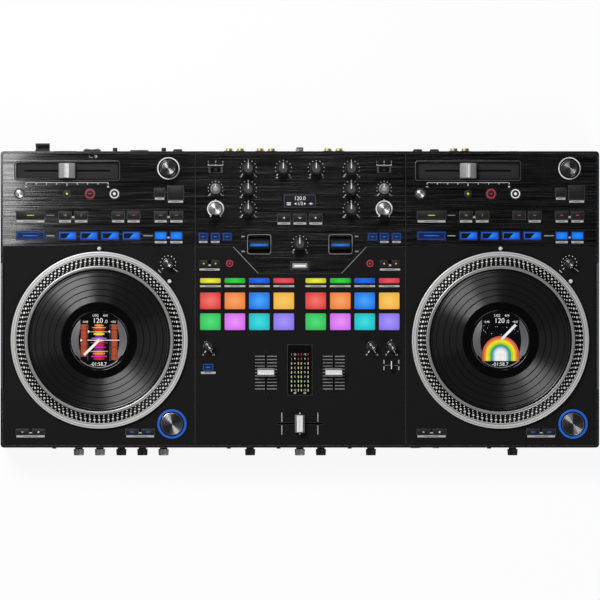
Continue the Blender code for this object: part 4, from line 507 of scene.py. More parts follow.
KNOB_GREY = Finish("knob_grey_body", tint(158, 158, 160), 0.42, 0.3, scale=2400, relief=0.01, wear_and_highlight=0.3, wear_and_highlight_width=0.3)
KNOB_GROOVE = Finish("knob_groove", tint(52, 52, 54), 0.5, scale=2400, relief=0.01)
DARK_SPUN = Finish(
    "dark_spun_metal", tint(142, 142, 142), 0.3, 1.0, Texture.TURNED, scale=0.35, variation=0.12, relief=0.0015,
    stretch=1.0,
)
BRIGHT_SPUN = Finish(
    "bright_spun_metal", tint(206, 206, 206), 0.42, 0.9, Texture.TURNED, scale=0.35, variation=0.1, relief=0.0015,
    stretch=0.96,
)
SMALL_SPUN = Finish(
    "small_spun_metal", tint(176, 176, 176), 0.26, 1.0, Texture.TURNED, scale=0.35, variation=0.1, relief=0.0015,
    stretch=1.0,
)
DARK_CHROME = Finish("dark_chrome", tint(104, 104, 106), 0.28, 0.9, scale=900, variation=0.05, relief=0.002)
CHROME = Finish("chrome", tint(200, 200, 203), 0.2, 1.0, scale=900, variation=0.04, relief=0.002)
# A darker copy of the cap finishes: painted shade for the caps' flanks and ends.
CAP_FLANK_SHADE = Finish("cap_flank_painted_shade", tint(182, 182, 183), 0.4, 0.4, variation=0.05, relief=0.004)
CAP_SILVER = Finish("cap_silver_paint", tint(240, 240, 240), 0.4, 0.1, variation=0.02, relief=0.002)
CAP_METAL = Finish("cap_polished", tint(212, 212, 212), 0.4, 0.45, variation=0.05, relief=0.003)
CAP_LINE = Finish("cap_line", tint(248, 248, 248), 0.4, relief=0.004)
CAP_DARK = Finish("cap_dark", tint(70, 70, 73), 0.4, 0.3, relief=0.006)
KEY_BLACK = Finish(
    "key_plastic", tint(28, 28, 28), 0.44, scale=2400, relief=0.012, specular=0.25, wear_and_highlight=0.5, wear_and_highlight_width=0.35,
)
KEY_DARK = Finish("key_window", tint(7, 12, 28), 0.3, scale=2400, relief=0.004, specular=0.3)
# Blue for the bevel round a lit blue key: painted glow spilling from the key.
BLUE_RIM_GLOW = Finish("key_rim_painted_blue_glow", tint(26, 44, 104), 0.4, scale=2400, relief=0.004)
# A lighter metal for the key hole's bevel: painted highlight.
KEY_RIM_HIGHLIGHT = Finish("key_rim_painted_highlight", tint(98, 98, 98), 0.35, 0.4, scale=2400, relief=0.004)
INK_WHITE = Finish("ink_white", tint(226, 226, 224), 0.6, scale=4000, variation=0.06, relief=0.004)
INK_GREY = Finish("ink_grey", tint(176, 176, 174), 0.6, scale=4000, variation=0.07, relief=0.004)
INK_FAINT = Finish("ink_faint", tint(128, 128, 128), 0.6, scale=4000, variation=0.07, relief=0.004)
HOLE_BLACK = Finish("dark_gap", tint(4, 4, 4), 0.8, scale=2000, relief=0.01, specular=0.1)
RUBBER = Finish("foot_rubber", tint(34, 34, 34), 0.8, scale=1500, relief=0.06, dust=0.3)
GLASS_BLACK = Finish(
    "window_glass", tint(6, 6, 8), 0.08, scale=60, variation=0.03, relief=0.001, specular=0.4, coat=0.2,
)
GLASS_VIOLET = Finish(
    "screen_glass", tint(36, 34, 44), 0.1, scale=60, variation=0.2, relief=0.001, specular=0.4, coat=0.2,
)
SOCKET_BLACK = Finish("socket_plastic", tint(24, 24, 25), 0.5, scale=2200, wear_and_highlight=0.2, wear_and_highlight_width=0.3)
GOLD = Finish("gold_plate", tint(246, 226, 158), 0.4, 0.85, scale=1500, variation=0.06, relief=0.004)
NICKEL = Finish("nickel_plate", tint(190, 190, 188), 0.25, 1.0, scale=1500, variation=0.06, relief=0.004)
BOARD_GREEN = Finish("board_mask", tint(18, 62, 40), 0.35, scale=900, variation=0.3, relief=0.03)
CAN_STEEL = Finish("can_steel", tint(150, 152, 155), 0.35, 0.95, scale=700, variation=0.2)
SCREEN_SATIN = Finish(
    "screen_satin", tint(128, 128, 130), 0.45, 0.6, Texture.TURNED, scale=0.8, variation=0.25, relief=0.002,
    stretch=0.6,
)
METER_FRAME = Finish("meter_frame", tint(66, 66, 68), 0.4, 0.5, relief=0.004)
METER_RED = lit("meter_red", (172, 66, 74), (148, 50, 58), 0.8)
METER_AMBER = lit("meter_amber", (218, 202, 144), (200, 182, 122), 0.8)
METER_GREEN = lit("meter_green", (206, 220, 154), (188, 204, 132), 0.8)
PAD_SIDE = Finish("pad_side", tint(70, 71, 74), 0.5, relief=0.01)

BLUE = lit("lit_blue", (22, 160, 255), (6, 84, 222), lean=(0.25, -0.3))
BLUE_SOLID = lit("lit_blue_solid", (14, 150, 255), (0, 104, 230))
BLUE_RING = lit("lit_blue_ring", (40, 100, 206), (32, 86, 184), 0.8)
BLUE_FRAME = lit("lit_blue_frame", (40, 100, 204), (30, 78, 172), 0.8)
BLUE_DEEP = lit("lit_blue_deep", (10, 36, 88), (6, 22, 62), 0.8)
BLUE_BLADE = lit("lit_blue_blade", (44, 132, 220), (20, 76, 172), 0.85)
WHITE_LIGHT = lit("lit_white", (246, 246, 246), (226, 226, 226))
RED_LIGHT = lit("lit_red", (206, 62, 74), (170, 46, 60), 0.8)
AMBER_LIGHT = lit("lit_amber", (236, 196, 60), (206, 160, 40))
GREEN_LIGHT = lit("lit_green", (220, 240, 90), (130, 190, 30), by_face=False)


def circle(radius: float, z: float, count: int = 48) -> Ring:
    """Returns a level ring about the origin, anticlockwise from above."""
    angles = np.arange(count) * math.tau / count
    return np.stack([radius * np.cos(angles), radius * np.sin(angles), np.full(count, z)], 1)


def fluted(radius: float, z: float, depth: float, flutes: int, count: int = 96) -> Ring:
    """Makes a ring drawn in by a row of rounded flutes.

    Args:
        radius: Radius of the crests.
        z: Height of the ring.
        depth: Depth of a flute.
        flutes: Number of flutes.
        count: Number of points.

    Returns:
        The ring.
    """
    ring = circle(1.0, z, count)
    waves = 0.5 - 0.5 * np.cos(np.arange(count) * math.tau * flutes / count)
    ring[:, :2] *= (radius - depth * waves)[:, None]
    return ring


def rounded(width: float, depth: float, corner: float, z: float, steps: int = 4) -> Ring:
    """Returns a level rectangle with rounded corners about the origin.

    Args:
        width, depth: Outer sizes.
        corner: Radius of the corners.
        z: Height of the ring.
        steps: Points on each corner, less one.

    Returns:
        The ring, anticlockwise from above.
    """
    points = []
    for turn, (right, rear) in enumerate(((1, 1), (-1, 1), (-1, -1), (1, -1))):
        for step in range(steps + 1):
            angle = math.radians(90 * (turn + step / steps))
            points.append((
                right * (width / 2 - corner) + corner * math.cos(angle),
                rear * (depth / 2 - corner) + corner * math.sin(angle), z,
            ))
    return np.array(points)


def shifted(ring: Ring, x: float, y: float, z: float = 0.0) -> Ring:
    """Returns the ring moved."""
    return ring + np.array((x, y, z))


def stepped(
    size: Spot, corner: float, steps: Iterable[Spot], at: Spot = (0.0, 0.0), ease: float = 0.0, least: float = 0.0,
    points: int = 4,
) -> list[Ring]:
    """Stacks rounded rectangles that are drawn in from one outer size.

    Args:
        size: The outer width and depth.
        corner: Radius of the outer corners.
        steps: How far each ring is drawn in, and its height.
        at: The middle.
        ease: How much the corners tighten with each millimetre drawn in.
        least: The smallest radius of a corner.
        points: Points on each corner, less one.

    Returns:
        The rings in order.
    """
    width, depth = size
    return [
        shifted(rounded(width - 2 * inset, depth - 2 * inset, max(corner - inset * ease, least), z, points), *at)
        for inset, z in steps
    ]


class Form:
    """A mesh in the making: points, faces, and the number of each face's finish."""

    def __init__(self) -> None:
        """Starts with nothing."""
        self.points: list[np.ndarray] = []
        self.faces: list[tuple[int, ...]] = []
        self.marks: list[int] = []
        self.total = 0

    def _take(self, points: Ring, faces: list[tuple[int, ...]], marks: list[int]) -> None:
        """Adds points, and faces numbered from the first of them.

        Args:
            points: The points.
            faces: The faces, by point.
            marks: The finish number of each face.
        """
        base = self.total
        self.points.append(np.asarray(points, float))
        self.total += len(points)
        self.faces += [tuple(base + corner for corner in face) for face in faces]
        self.marks += marks

    def loft(
        self, rings: Sequence[Ring], finish: int | Sequence[int] = 0, ends: tuple[bool, bool] = (True, True),
        loop: bool = False,
    ) -> "Form":
        """Skins a stack of rings that have the same number of points.

        Args:
            rings: The rings in order.
            finish: One finish number, or one for the first end, each band and the last end.
            ends: Whether the first and the last ring are closed with a face.
            loop: Whether the last ring joins the first, as in a hollow turned piece.

        Returns:
            This form.
        """
        count, levels = len(rings[0]), len(rings)
        marks = [finish] * (levels + 1) if isinstance(finish, int) else list(finish)
        faces, used = [], []
        for level in range(levels if loop else levels - 1):
            low, high = level * count, (level + 1) % levels * count
            for i in range(count):
                j = (i + 1) % count
                faces.append((low + i, low + j, high + j, high + i))
                used.append(marks[level + 1] if not loop else marks[level])
        if not loop and ends[0]:
            faces.append(tuple(reversed(range(count))))
            used.append(marks[0])
        if not loop and ends[1]:
            faces.append(tuple(range((levels - 1) * count, levels * count)))
            used.append(marks[-1])
        points = np.concatenate(rings)
        if (loop or all(ends)) and self._inside_out(points, faces):
            faces = [face[::-1] for face in faces]
        self._take(points, faces, used)
        return self

    @staticmethod
    def _inside_out(points: Ring, faces: list[tuple[int, ...]]) -> bool:
        """Tells whether closed faces wind the wrong way, from the sign of their volume."""
        triangles = [(f[0], f[i], f[i + 1]) for f in faces for i in range(1, len(f) - 1)]
        return float(np.linalg.det(points[np.array(triangles)] - points.mean(0)).sum()) < 0

    def turned(
        self, profile: Sequence[Spot], count: int = 96, finish: int | Sequence[int] = 0, loop: bool = True,
    ) -> "Form":
        """Turns a profile of (radius, height) points about the origin."""
        return self.loft([circle(radius, z, count) for radius, z in profile], finish, loop=loop)

    def merge(self, other: "Form", place: Matrix) -> "Form":
        """Adds another form, moved by a matrix in millimetres.

        Args:
            other: The form to add.
            place: Where it goes.

        Returns:
            This form.
        """
        points = np.concatenate(other.points)
        turned = points @ np.array(place.to_3x3()).T + np.array(place.translation)
        flip = place.determinant() < 0
        self._take(turned, [face[::-1] if flip else face for face in other.faces], other.marks)
        return self

    def flat(self, outline: Iterable[Spot], z: float, finish: int = 0) -> "Form":
        """Adds one level face, with its outline anticlockwise from above.

        Args:
            outline: Its corners.
            z: Height of the faces.
            finish: Number of the finish.

        Returns:
            This form.
        """
        points = np.array([(x, y, z) for x, y in outline])
        self._take(points, [tuple(range(len(points)))], [finish])
        return self

    def plate(self, ring: Ring, finish: int = 0) -> "Form":
        """Adds one level face with a ring as its outline."""
        self._take(ring, [tuple(range(len(ring)))], [finish])
        return self

    def bar(
        self, x: float, y: float, width: float, depth: float, z: float = INK, finish: int = 0, turn: float = 0.0,
    ) -> "Form":
        """Adds a level rectangle, turned by an angle in degrees.

        Args:
            x, y: The middle.
            width, depth: Its sizes.
            z: Height of the faces.
            finish: Number of the finish.
            turn: Angle in degrees.

        Returns:
            This form.
        """
        c, s = math.cos(math.radians(turn)), math.sin(math.radians(turn))
        corners = ((-1, -1), (1, -1), (1, 1), (-1, 1))
        halves = [(a * width / 2, b * depth / 2) for a, b in corners]
        return self.flat([(x + u * c - v * s, y + u * s + v * c) for u, v in halves], z, finish)

    def stroke(self, start: Spot, end: Spot, width: float, z: float = INK, finish: int = 0) -> "Form":
        """Adds a level line from one point to another.

        Args:
            start, end: Both ends.
            width: Width of the line.
            z: Height of the faces.
            finish: Number of the finish.

        Returns:
            This form.
        """
        middle = ((start[0] + end[0]) / 2, (start[1] + end[1]) / 2)
        along = (end[0] - start[0], end[1] - start[1])
        angle = math.degrees(math.atan2(along[1], along[0]))
        return self.bar(*middle, math.hypot(*along), width, z, finish, angle)

    def dot(self, x: float, y: float, radius: float, z: float = INK, finish: int = 0, sides: int = 16) -> "Form":
        """Adds a level disc."""
        return self.flat([(x + p[0], y + p[1]) for p in circle(radius, 0, sides)], z, finish)

    def frame(
        self, x: float, y: float, width: float, depth: float, line: float, z: float = INK, finish: int = 0,
        corner: float = 0.6,
    ) -> "Form":
        """Adds a level rectangular outline of the given line width.

        Args:
            x, y: The middle.
            width, depth: Outer sizes.
            line: Width of the line.
            z: Height of the faces.
            finish: Number of the finish.
            corner: Radius of the outer corners.

        Returns:
            This form.
        """
        outer = rounded(width, depth, corner, z)
        inner = rounded(width - 2 * line, depth - 2 * line, max(corner - line, 0.05), z)
        return self.loft([shifted(outer, x, y), shifted(inner, x, y)], finish, (False, False))

    def hoop(self, x: float, y: float, radius: float, line: float, z: float = INK, finish: int = 0) -> "Form":
        """Adds a level ring whose middle line has that radius."""
        rings = [shifted(circle(radius + offset, z), x, y) for offset in (line / 2, -line / 2)]
        return self.loft(rings, finish, (False, False))

    def arc(
        self, x: float, y: float, radius: float, line: float, start: float, stop: float, z: float = INK,
        finish: int = 0,
    ) -> "Form":
        """Adds part of a level ring, from one angle to another in degrees.

        Args:
            x, y: The middle.
            radius: Radius of the middle line.
            line: Width of the line.
            start, stop: Both angles.
            z: Height of the faces.
            finish: Number of the finish.

        Returns:
            This form.
        """
        angles = np.radians(np.linspace(start, stop, 33))
        outer = [(x + (radius + line / 2) * math.cos(a), y + (radius + line / 2) * math.sin(a)) for a in angles]
        inner = [(x + (radius - line / 2) * math.cos(a), y + (radius - line / 2) * math.sin(a)) for a in angles]
        for i in range(len(angles) - 1):
            self.flat((inner[i], outer[i], outer[i + 1], inner[i + 1]), z, finish)
        return self

    def figures(
        self, text: str, x: float, y: float, height: float, z: float = INK, finish: int = 0, turn: float = 0.0,
    ) -> "Form":
        """Adds figures as flat faces, centred on a point.

        Args:
            text: Numbers, signs, or a generic word such as ON.
            x, y: The middle of the text.
            height: Height of a figure.
            z: Height of the faces.
            finish: Their finish number.
            turn: Angle in degrees.

        Returns:
            This form.
        """
        curve = bpy.data.curves.new("figures", "FONT")
        curve.body, curve.size, curve.align_x, curve.align_y = text, height / 0.7, "CENTER", "CENTER"
        curve.resolution_u = 3
        holder = bpy.data.objects.new("figures", curve)
        mesh = bpy.data.meshes.new_from_object(holder)
        points = np.array([vertex.co[:] for vertex in mesh.vertices])
        c, s = math.cos(math.radians(turn)), math.sin(math.radians(turn))
        placed = np.stack([
            x + points[:, 0] * c - points[:, 1] * s, y + points[:, 0] * s + points[:, 1] * c, np.full(len(points), z),
        ], 1)
        faces = [tuple(face.vertices) for face in mesh.polygons]
        self._take(placed, faces, [finish] * len(faces))
        bpy.data.objects.remove(holder)
        bpy.data.curves.remove(curve)
        bpy.data.meshes.remove(mesh)
        return self

    def _unwrap(self, mesh: bpy.types.Mesh) -> None:
        """Gives each face the whole of the map, so a lit face has its bright middle.

        Args:
            mesh: The mesh to map.
        """
        points, layer, spots = np.concatenate(self.points), mesh.uv_layers.new(name="face"), []
        for face in self.faces:
            corners = points[list(face)][:, :2]
            low, size = corners.min(0), np.maximum(np.ptp(corners, 0), 1e-6)
            spots.append((corners - low) / size)
        layer.data.foreach_set("uv", np.concatenate(spots).ravel())

    def piece(
        self, name: str, body: str, finishes: Sequence[Finish], at: Corner = (0.0, 0.0, 0.0),
        replaces: Sequence[str] = (), slot: str = "", sharp: float = 32.0,
    ) -> bpy.types.Object:
        """Makes the object and has it ride on a body.

        Args:
            name: The piece's name.
            body: The CAD body that carries it.
            finishes: The finishes that the faces' numbers mean.
            at: Where its origin goes; the points are measured from there.
            replaces: CAD nodes that the piece stands for.
            slot: Not used.
            sharp: The angle above which an edge stays sharp, in degrees.

        Returns:
            The new object.
        """
        mesh = bpy.data.meshes.new(name)
        mesh.from_pydata((np.concatenate(self.points) * MM).tolist(), [], self.faces)
        for finish in finishes:
            mesh.materials.append(finish.material())
        mesh.polygons.foreach_set("material_index", self.marks)
        self._unwrap(mesh)
        mesh.shade_smooth()
        mesh.set_sharp_from_angle(angle=math.radians(sharp))
        mesh.update()
        made = bpy.data.objects.new(name, mesh)
        bpy.context.scene.collection.objects.link(made)
        made.location = Vector(at) * MM
        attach(made, body)
        if replaces:
            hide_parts(*replaces)
        log.info("%s rides on %s", name, body)
        return made


def dress(node: str, *finishes: Finish) -> None:
    """Gives a CAD node's material slots their finishes.

    Args:
        node: The CAD node's name.
        finishes: One finish for all its slots, or one for each.
    """
    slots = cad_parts[node].material_slots
    for number, slot in enumerate(slots):
        slot.material = finishes[min(number, len(finishes) - 1)].material()
    log.info("%s keeps its CAD shape", node)


def ticks(
    form: Form, x: float, y: float, radius: float, count: int = 11, size: float = 0.48, reach: float = 2.6,
) -> None:
    """Prints a dial round a knob: dots over 270 degrees, and a longer line at each end.

    Args:
        form: The print to add to.
        x, y: The knob's axis.
        radius: Radius of the ring of dots.
        count: Number of marks, ends among them.
        size: Radius of a dot.
        reach: Length of the end lines.
    """
    for i in range(count):
        angle = math.radians(225 - 270 * i / (count - 1))
        c, s = math.cos(angle), math.sin(angle)
        if i in (0, count - 1):
            near, far = radius - 0.6, radius - 0.6 + reach
            form.stroke((x + near * c, y + near * s), (x + far * c, y + far * s), 0.75)
        else:
            form.dot(x + radius * c, y + radius * s, size)


def chip(form: Form, x: float, y: float, width: float, depth: float = 2.6) -> None:
    """Prints a grey label chip with a plain dash."""
    form.plate(shifted(rounded(width, depth, 0.25, INK, 2), x, y), Ink.GREY)
    form.bar(x, y, width * 0.5, 0.6, INK + LIFT, Ink.GAP)


@dataclass
class Studio:
    """The pale floor, the lamps and the camera, in metres."""

    floor_radius: float = 15.0
    sweep_radius: float = 19.0
    sweep_height: float = 5.0
    camera_height: float = 8.0
    view_width: float = 0.7395
    aim: Spot = (0.0002, -0.0007)
    sky: float = 0.06

    def floor(self) -> None:
        """Builds a round floor that sweeps up into a backdrop."""
        form = Form()
        profile = [(self.floor_radius, 0.0)]
        for step in range(1, 9):
            angle = math.radians(90 * step / 8)
            run, rise = self.sweep_radius - self.floor_radius, self.sweep_height
            profile.append((self.floor_radius + run * math.sin(angle), rise * (1 - math.cos(angle))))
        rings = [circle(radius / MM, height / MM, 64) for radius, height in profile]
        form.loft(rings, 0, (True, False))
        mesh = bpy.data.meshes.new("studio_floor")
        mesh.from_pydata((np.concatenate(form.points) * MM).tolist(), [], [face[::-1] for face in form.faces])
        mesh.materials.append(self.paper())
        mesh.shade_smooth()
        floor = bpy.data.objects.new("studio_floor", mesh)
        bpy.context.scene.collection.objects.link(floor)

    def paper(self) -> bpy.types.Material:
        """Makes white paper that keeps a soft shadow and looks white to the camera.

        Returns:
            The material.
        """
        made = bpy.data.materials.new("studio_paper")
        made.use_nodes = True
        tree = Tree(made.node_tree)
        rays = tree.add("ShaderNodeLightPath").outputs
        seen = tree.math("MAXIMUM", rays["Is Camera Ray"], rays["Is Transmission Ray"])
        plain = tree.add("ShaderNodeBsdfDiffuse", {"Color": (0.9, 0.9, 0.9, 1.0)})
        white = tree.add("ShaderNodeEmission", {"Color": (1.0, 1.0, 1.0, 1.0), "Strength": 1.0})
        share = tree.math("MULTIPLY", seen, 0.9)
        mixed = tree.add("ShaderNodeMixShader", {0: share, 1: plain.outputs[0], 2: white.outputs[0]})
        made.node_tree.links.new(mixed.outputs[0], made.node_tree.nodes["Material Output"].inputs[0])
        made.node_tree.nodes.remove(made.node_tree.nodes["Principled BSDF"])
        return made

    def lamp(self, name: str, place: Corner, power: float, size: Spot, aim: Corner = (0.0, 0.0, 0.05)) -> None:
        """Hangs a rectangular soft lamp that points at a spot.

        Args:
            name: Name of the lamp.
            place: Where it hangs.
            power: Its watts.
            size: Its two sides.
            aim: The spot it points at.
        """
        data = bpy.data.lights.new(name, "AREA")
        data.shape, data.energy, data.size, data.size_y = "RECTANGLE", power, *size
        lamp = bpy.data.objects.new(name, data)
        bpy.context.scene.collection.objects.link(lamp)
        lamp.location = place
        lamp.rotation_mode = "QUATERNION"
        lamp.rotation_quaternion = (Vector(aim) - Vector(place)).to_track_quat("-Z", "Y")

    def light(self) -> None:
        """Lights the object softly from the upper left, with a weaker lamp opposite."""
        self.lamp("key_lamp", (-1.11, 1.475, 2.36), 60.0, (1.1, 1.1))
        self.lamp("fill_lamp", (1.42, -1.89, 1.85), 33.0, (1.6, 1.6))
        self.lamp("strip_lamp", (-0.395, 0.57, 0.75), 1.1, (0.03, 0.8), (-0.395, 0.57, 0.0))
        self.lamp("rear_lamp", (0.0, 2.3, 2.6), 4.0, (0.3, 0.8))
        self.lamp("side_lamp", (-2.1, 0.0, 1.35), 8.0, (1.4, 0.35))
        world = bpy.context.scene.world or bpy.data.worlds.new("studio")
        bpy.context.scene.world = world
        world.use_nodes = True
        background = world.node_tree.nodes["Background"]
        background.inputs["Color"].default_value = (1.0, 1.0, 1.0, 1.0)
        background.inputs["Strength"].default_value = self.sky

    def camera(self) -> None:
        """Hangs the camera far above the object, looking straight down."""
        data = bpy.data.cameras.new("camera")
        camera = bpy.data.objects.new("camera", data)
        bpy.context.scene.collection.objects.link(camera)
        camera.location = (*self.aim, self.camera_height)
        data.sensor_width = 36.0
        data.lens = data.sensor_width * (self.camera_height - TOP * MM) / self.view_width
        data.clip_end = 60.0
        bpy.context.scene.camera = camera

    def build(self) -> None:
        """Sets the whole studio up."""
        self.floor()
        self.light()
        self.camera()
        bpy.context.scene.view_settings.view_transform = "Standard"


class KeyLook(Enum):
    """What shows in the top of a key."""

    PLAIN = "bare plastic"
    AMBER = "black with an amber mark"
    RED = "black with a red mark"
    RING = "blue ring round a dark window"
    WIDE_RING = "deep blue window in a blue ring"
    SPLIT = "blue with a black slanted corner"
    SOLID = "blue all over"
    SHIFT = "white window in a dark frame"
    LEFT_ARROW = "white arrow to the left"
    RIGHT_ARROW = "white arrow to the right"
    TURN_ARROW = "white tick"
    AMBER_LEFT = "amber arrow to the left"
    AMBER_RIGHT = "amber arrow to the right"
    MINUS = "white minus"
    PLUS = "white plus"
    BLUE_MARK = "black with a blue mark"

    @classmethod
    def blues(cls) -> "tuple[KeyLook, ...]":
        """Returns the looks that are lit blue."""
        return (cls.RING, cls.WIDE_RING, cls.SPLIT, cls.SOLID)


class Face(IntEnum):
    """The places of a key's finishes in KEY_FINISHES."""

    BODY = 0
    BLUE = 1
    FRAME = 2
    DEEP = 3
    LIGHT = 4
    AMBER = 5
    RED = 6
    WINDOW = 7
    SIGN = 8
    SOLID = 9


KEY_FINISHES = (
    KEY_BLACK, BLUE, BLUE_FRAME, BLUE_DEEP, WHITE_LIGHT, AMBER_LIGHT, RED_LIGHT, KEY_DARK, INK_WHITE, BLUE_SOLID,
)


class Ink(IntEnum):
    """The places of a print's finishes in PRINT_FINISHES; only the mixer's upper print has the last."""

    WHITE = 0
    GREY = 1
    FAINT = 2
    GAP = 3
    PLATE = 4


PRINT_FINISHES = (INK_WHITE, INK_GREY, INK_FAINT, HOLE_BLACK)


@dataclass(frozen=True)
class Key:
    """One rectangular key: its place, size and look."""

    x: float
    y: float
    width: float
    depth: float
    look: KeyLook = KeyLook.PLAIN
    rise: float = KEY_RISE
    text: str = ""

    @property
    def window(self) -> Spot:
        """Width and depth of the lit window."""
        return (self.width - 1.4, self.depth - 1.4)

    def build(self, form: Form) -> None:
        """Adds the key's body and what shows in its top.

        Args:
            form: The form to add to.
        """
        top, round_over = TOP + self.rise, 0.45
        heights = ((TOP - KEY_SINK, 0.0), (top - round_over, 0.0), (top - 0.3 * round_over, 0.3), (top, 0.9))
        steps = [(inset * round_over, z) for z, inset in heights]
        form.loft(stepped((self.width, self.depth), 0.7, steps, (self.x, self.y), points=3), Face.BODY)
        self.mark(form, top + LIFT)

    def arrow(self, form: Form, z: float, way: int, finish: int) -> None:
        """Adds a small filled arrow head.

        Args:
            form: The form to add to.
            z: Height of the face.
            way: -1 to point left and 1 to point right.
            finish: Number of the finish.
        """
        points = [(self.x + way * 1.4, self.y), (self.x - way * 1.0, self.y + 1.3), (self.x - way * 1.0, self.y - 1.3)]
        form.flat(points if way < 0 else points[::-1], z, finish)

    def mark(self, form: Form, z: float) -> None:
        """Adds the window, ring or sign in the key's top.

        Args:
            form: The form to add to.
            z: Height of the faces.
        """
        signs = {
            KeyLook.AMBER: self.dash, KeyLook.RED: self.dash, KeyLook.RING: self.ring, KeyLook.WIDE_RING: self.ring,
            KeyLook.SOLID: self.solid, KeyLook.SPLIT: self.split, KeyLook.SHIFT: self.shift,
            KeyLook.LEFT_ARROW: self.point, KeyLook.RIGHT_ARROW: self.point, KeyLook.AMBER_LEFT: self.point,
            KeyLook.AMBER_RIGHT: self.point, KeyLook.TURN_ARROW: self.tick, KeyLook.MINUS: self.sign,
            KeyLook.PLUS: self.sign, KeyLook.BLUE_MARK: self.blue_mark,
        }
        if self.look in signs:
            signs[self.look](form, z)

    def edge(self, form: Form, z: float, line: float, margin: float = 0.7, corner: float = 0.6) -> None:
        """Adds the lit line round the top."""
        form.frame(self.x, self.y, self.width - margin, self.depth - margin, line, z, Face.FRAME, corner)

    def dash(self, form: Form, z: float) -> None:
        """Adds an amber or red dash, or a short figure.

        Args:
            form: The form to add to.
            z: Height of the faces.
        """
        finish = Face.AMBER if self.look is KeyLook.AMBER else Face.RED
        if self.text:
            form.figures(self.text, self.x, self.y, 2.0, z, finish)
        else:
            form.bar(self.x, self.y, self.width * 0.26, 1.1, z, finish)

    def ring(self, form: Form, z: float) -> None:
        """Adds a deep blue window with a lit edge and a dash.

        Args:
            form: The form to add to.
            z: Height of the faces.
        """
        form.bar(self.x, self.y, *self.window, z, Face.DEEP)
        self.edge(form, z + LIFT, 0.6, 0.8, 0.8)
        form.bar(self.x, self.y, (self.window[0] - 2.8) * 0.62, 0.9, z + 2 * LIFT, Face.BLUE)

    def solid(self, form: Form, z: float) -> None:
        """Adds a face that is blue all over."""
        form.bar(self.x, self.y, *self.window, z, Face.SOLID)
        self.edge(form, z + LIFT, 0.6)

    def split(self, form: Form, z: float) -> None:
        """Adds a blue face with a black corner that ends in a slant.

        Args:
            form: The form to add to.
            z: Height of the faces.
        """
        width, depth = self.window
        form.bar(self.x, self.y, width, depth, z, Face.BLUE)
        self.edge(form, z + 0.03, 0.9)
        left, right = self.x - width / 2 + 0.9, self.x + width * 0.16
        low, high = self.y - depth / 2 + 0.9, self.y + depth / 2 - 0.9
        corners = ((left, low), (right - width * 0.28, low), (right, high), (left, high))
        form.flat(corners, z + LIFT, Face.WINDOW)

    def shift(self, form: Form, z: float) -> None:
        """Adds a white window in a dark frame.

        Args:
            form: The form to add to.
            z: Height of the faces.
        """
        width, depth = self.window
        form.bar(self.x, self.y, width, depth, z, Face.WINDOW)
        form.frame(self.x, self.y, width - 2.0, depth - 2.0, 0.5, z + LIFT, Face.SIGN, 0.3)
        form.bar(self.x, self.y, width - 4.6, depth - 4.6, z + 0.03, Face.LIGHT)

    def point(self, form: Form, z: float) -> None:
        """Adds an arrow head in white or amber.

        Args:
            form: The form to add to.
            z: Height of the faces.
        """
        left = self.look in (KeyLook.LEFT_ARROW, KeyLook.AMBER_LEFT)
        white = self.look in (KeyLook.LEFT_ARROW, KeyLook.RIGHT_ARROW)
        self.arrow(form, z, -1 if left else 1, Face.SIGN if white else Face.AMBER)

    def tick(self, form: Form, z: float) -> None:
        """Adds a white tick."""
        form.stroke((self.x - 1.6, self.y + 1.0), (self.x - 0.3, self.y - 0.8), 0.7, z, Face.SIGN)
        form.stroke((self.x - 0.5, self.y - 0.8), (self.x + 1.8, self.y + 0.2), 0.7, z, Face.SIGN)

    def sign(self, form: Form, z: float) -> None:
        """Adds a white minus or plus.

        Args:
            form: The form to add to.
            z: Height of the faces.
        """
        form.bar(self.x, self.y, 2.4, 0.8, z, Face.SIGN)
        if self.look is KeyLook.PLUS:
            form.bar(self.x, self.y, 0.8, 2.4, z + 0.01, Face.SIGN)

    def blue_mark(self, form: Form, z: float) -> None:
        """Adds a short blue bar."""
        form.bar(self.x, self.y, self.width * 0.35, 1.6, z, Face.FRAME)


class RoundLook(Enum):
    """What shows in the top of a round key."""

    PLAIN = "bare plastic"
    RED = "red ring and dash"
    WHITE = "white ring and dot"
    CUE = "red ring and dot"


@dataclass(frozen=True)
class RoundKey:
    """One round key: its place, radius and look."""

    x: float
    y: float
    radius: float
    look: RoundLook = RoundLook.PLAIN

    def build(self, form: Form) -> None:
        """Adds the key's body and what shows in its top.

        Args:
            form: The form to add to.
        """
        x, y, radius, top = self.x, self.y, self.radius, TOP + KEY_RISE
        profile = ((radius, TOP - KEY_SINK), (radius, top - 0.5), (radius - 0.2, top - 0.15), (radius - 0.6, top))
        form.loft([shifted(circle(r, z, 40), x, y) for r, z in profile], Face.BODY)
        z = top + LIFT
        if self.look is RoundLook.RED:
            form.hoop(x, y, radius - 0.9, 1.3, z, Face.RED).bar(x, y, 4.2, 1.0, z, Face.RED)
        elif self.look is RoundLook.WHITE:
            form.hoop(x, y, radius - 0.9, 1.2, z, Face.LIGHT).dot(x, y, 1.8, z, Face.LIGHT)
        elif self.look is RoundLook.CUE:
            form.hoop(x, y, radius - 1.05, 1.1, z, Face.RED).dot(x, y, 1.2, z, Face.RED)


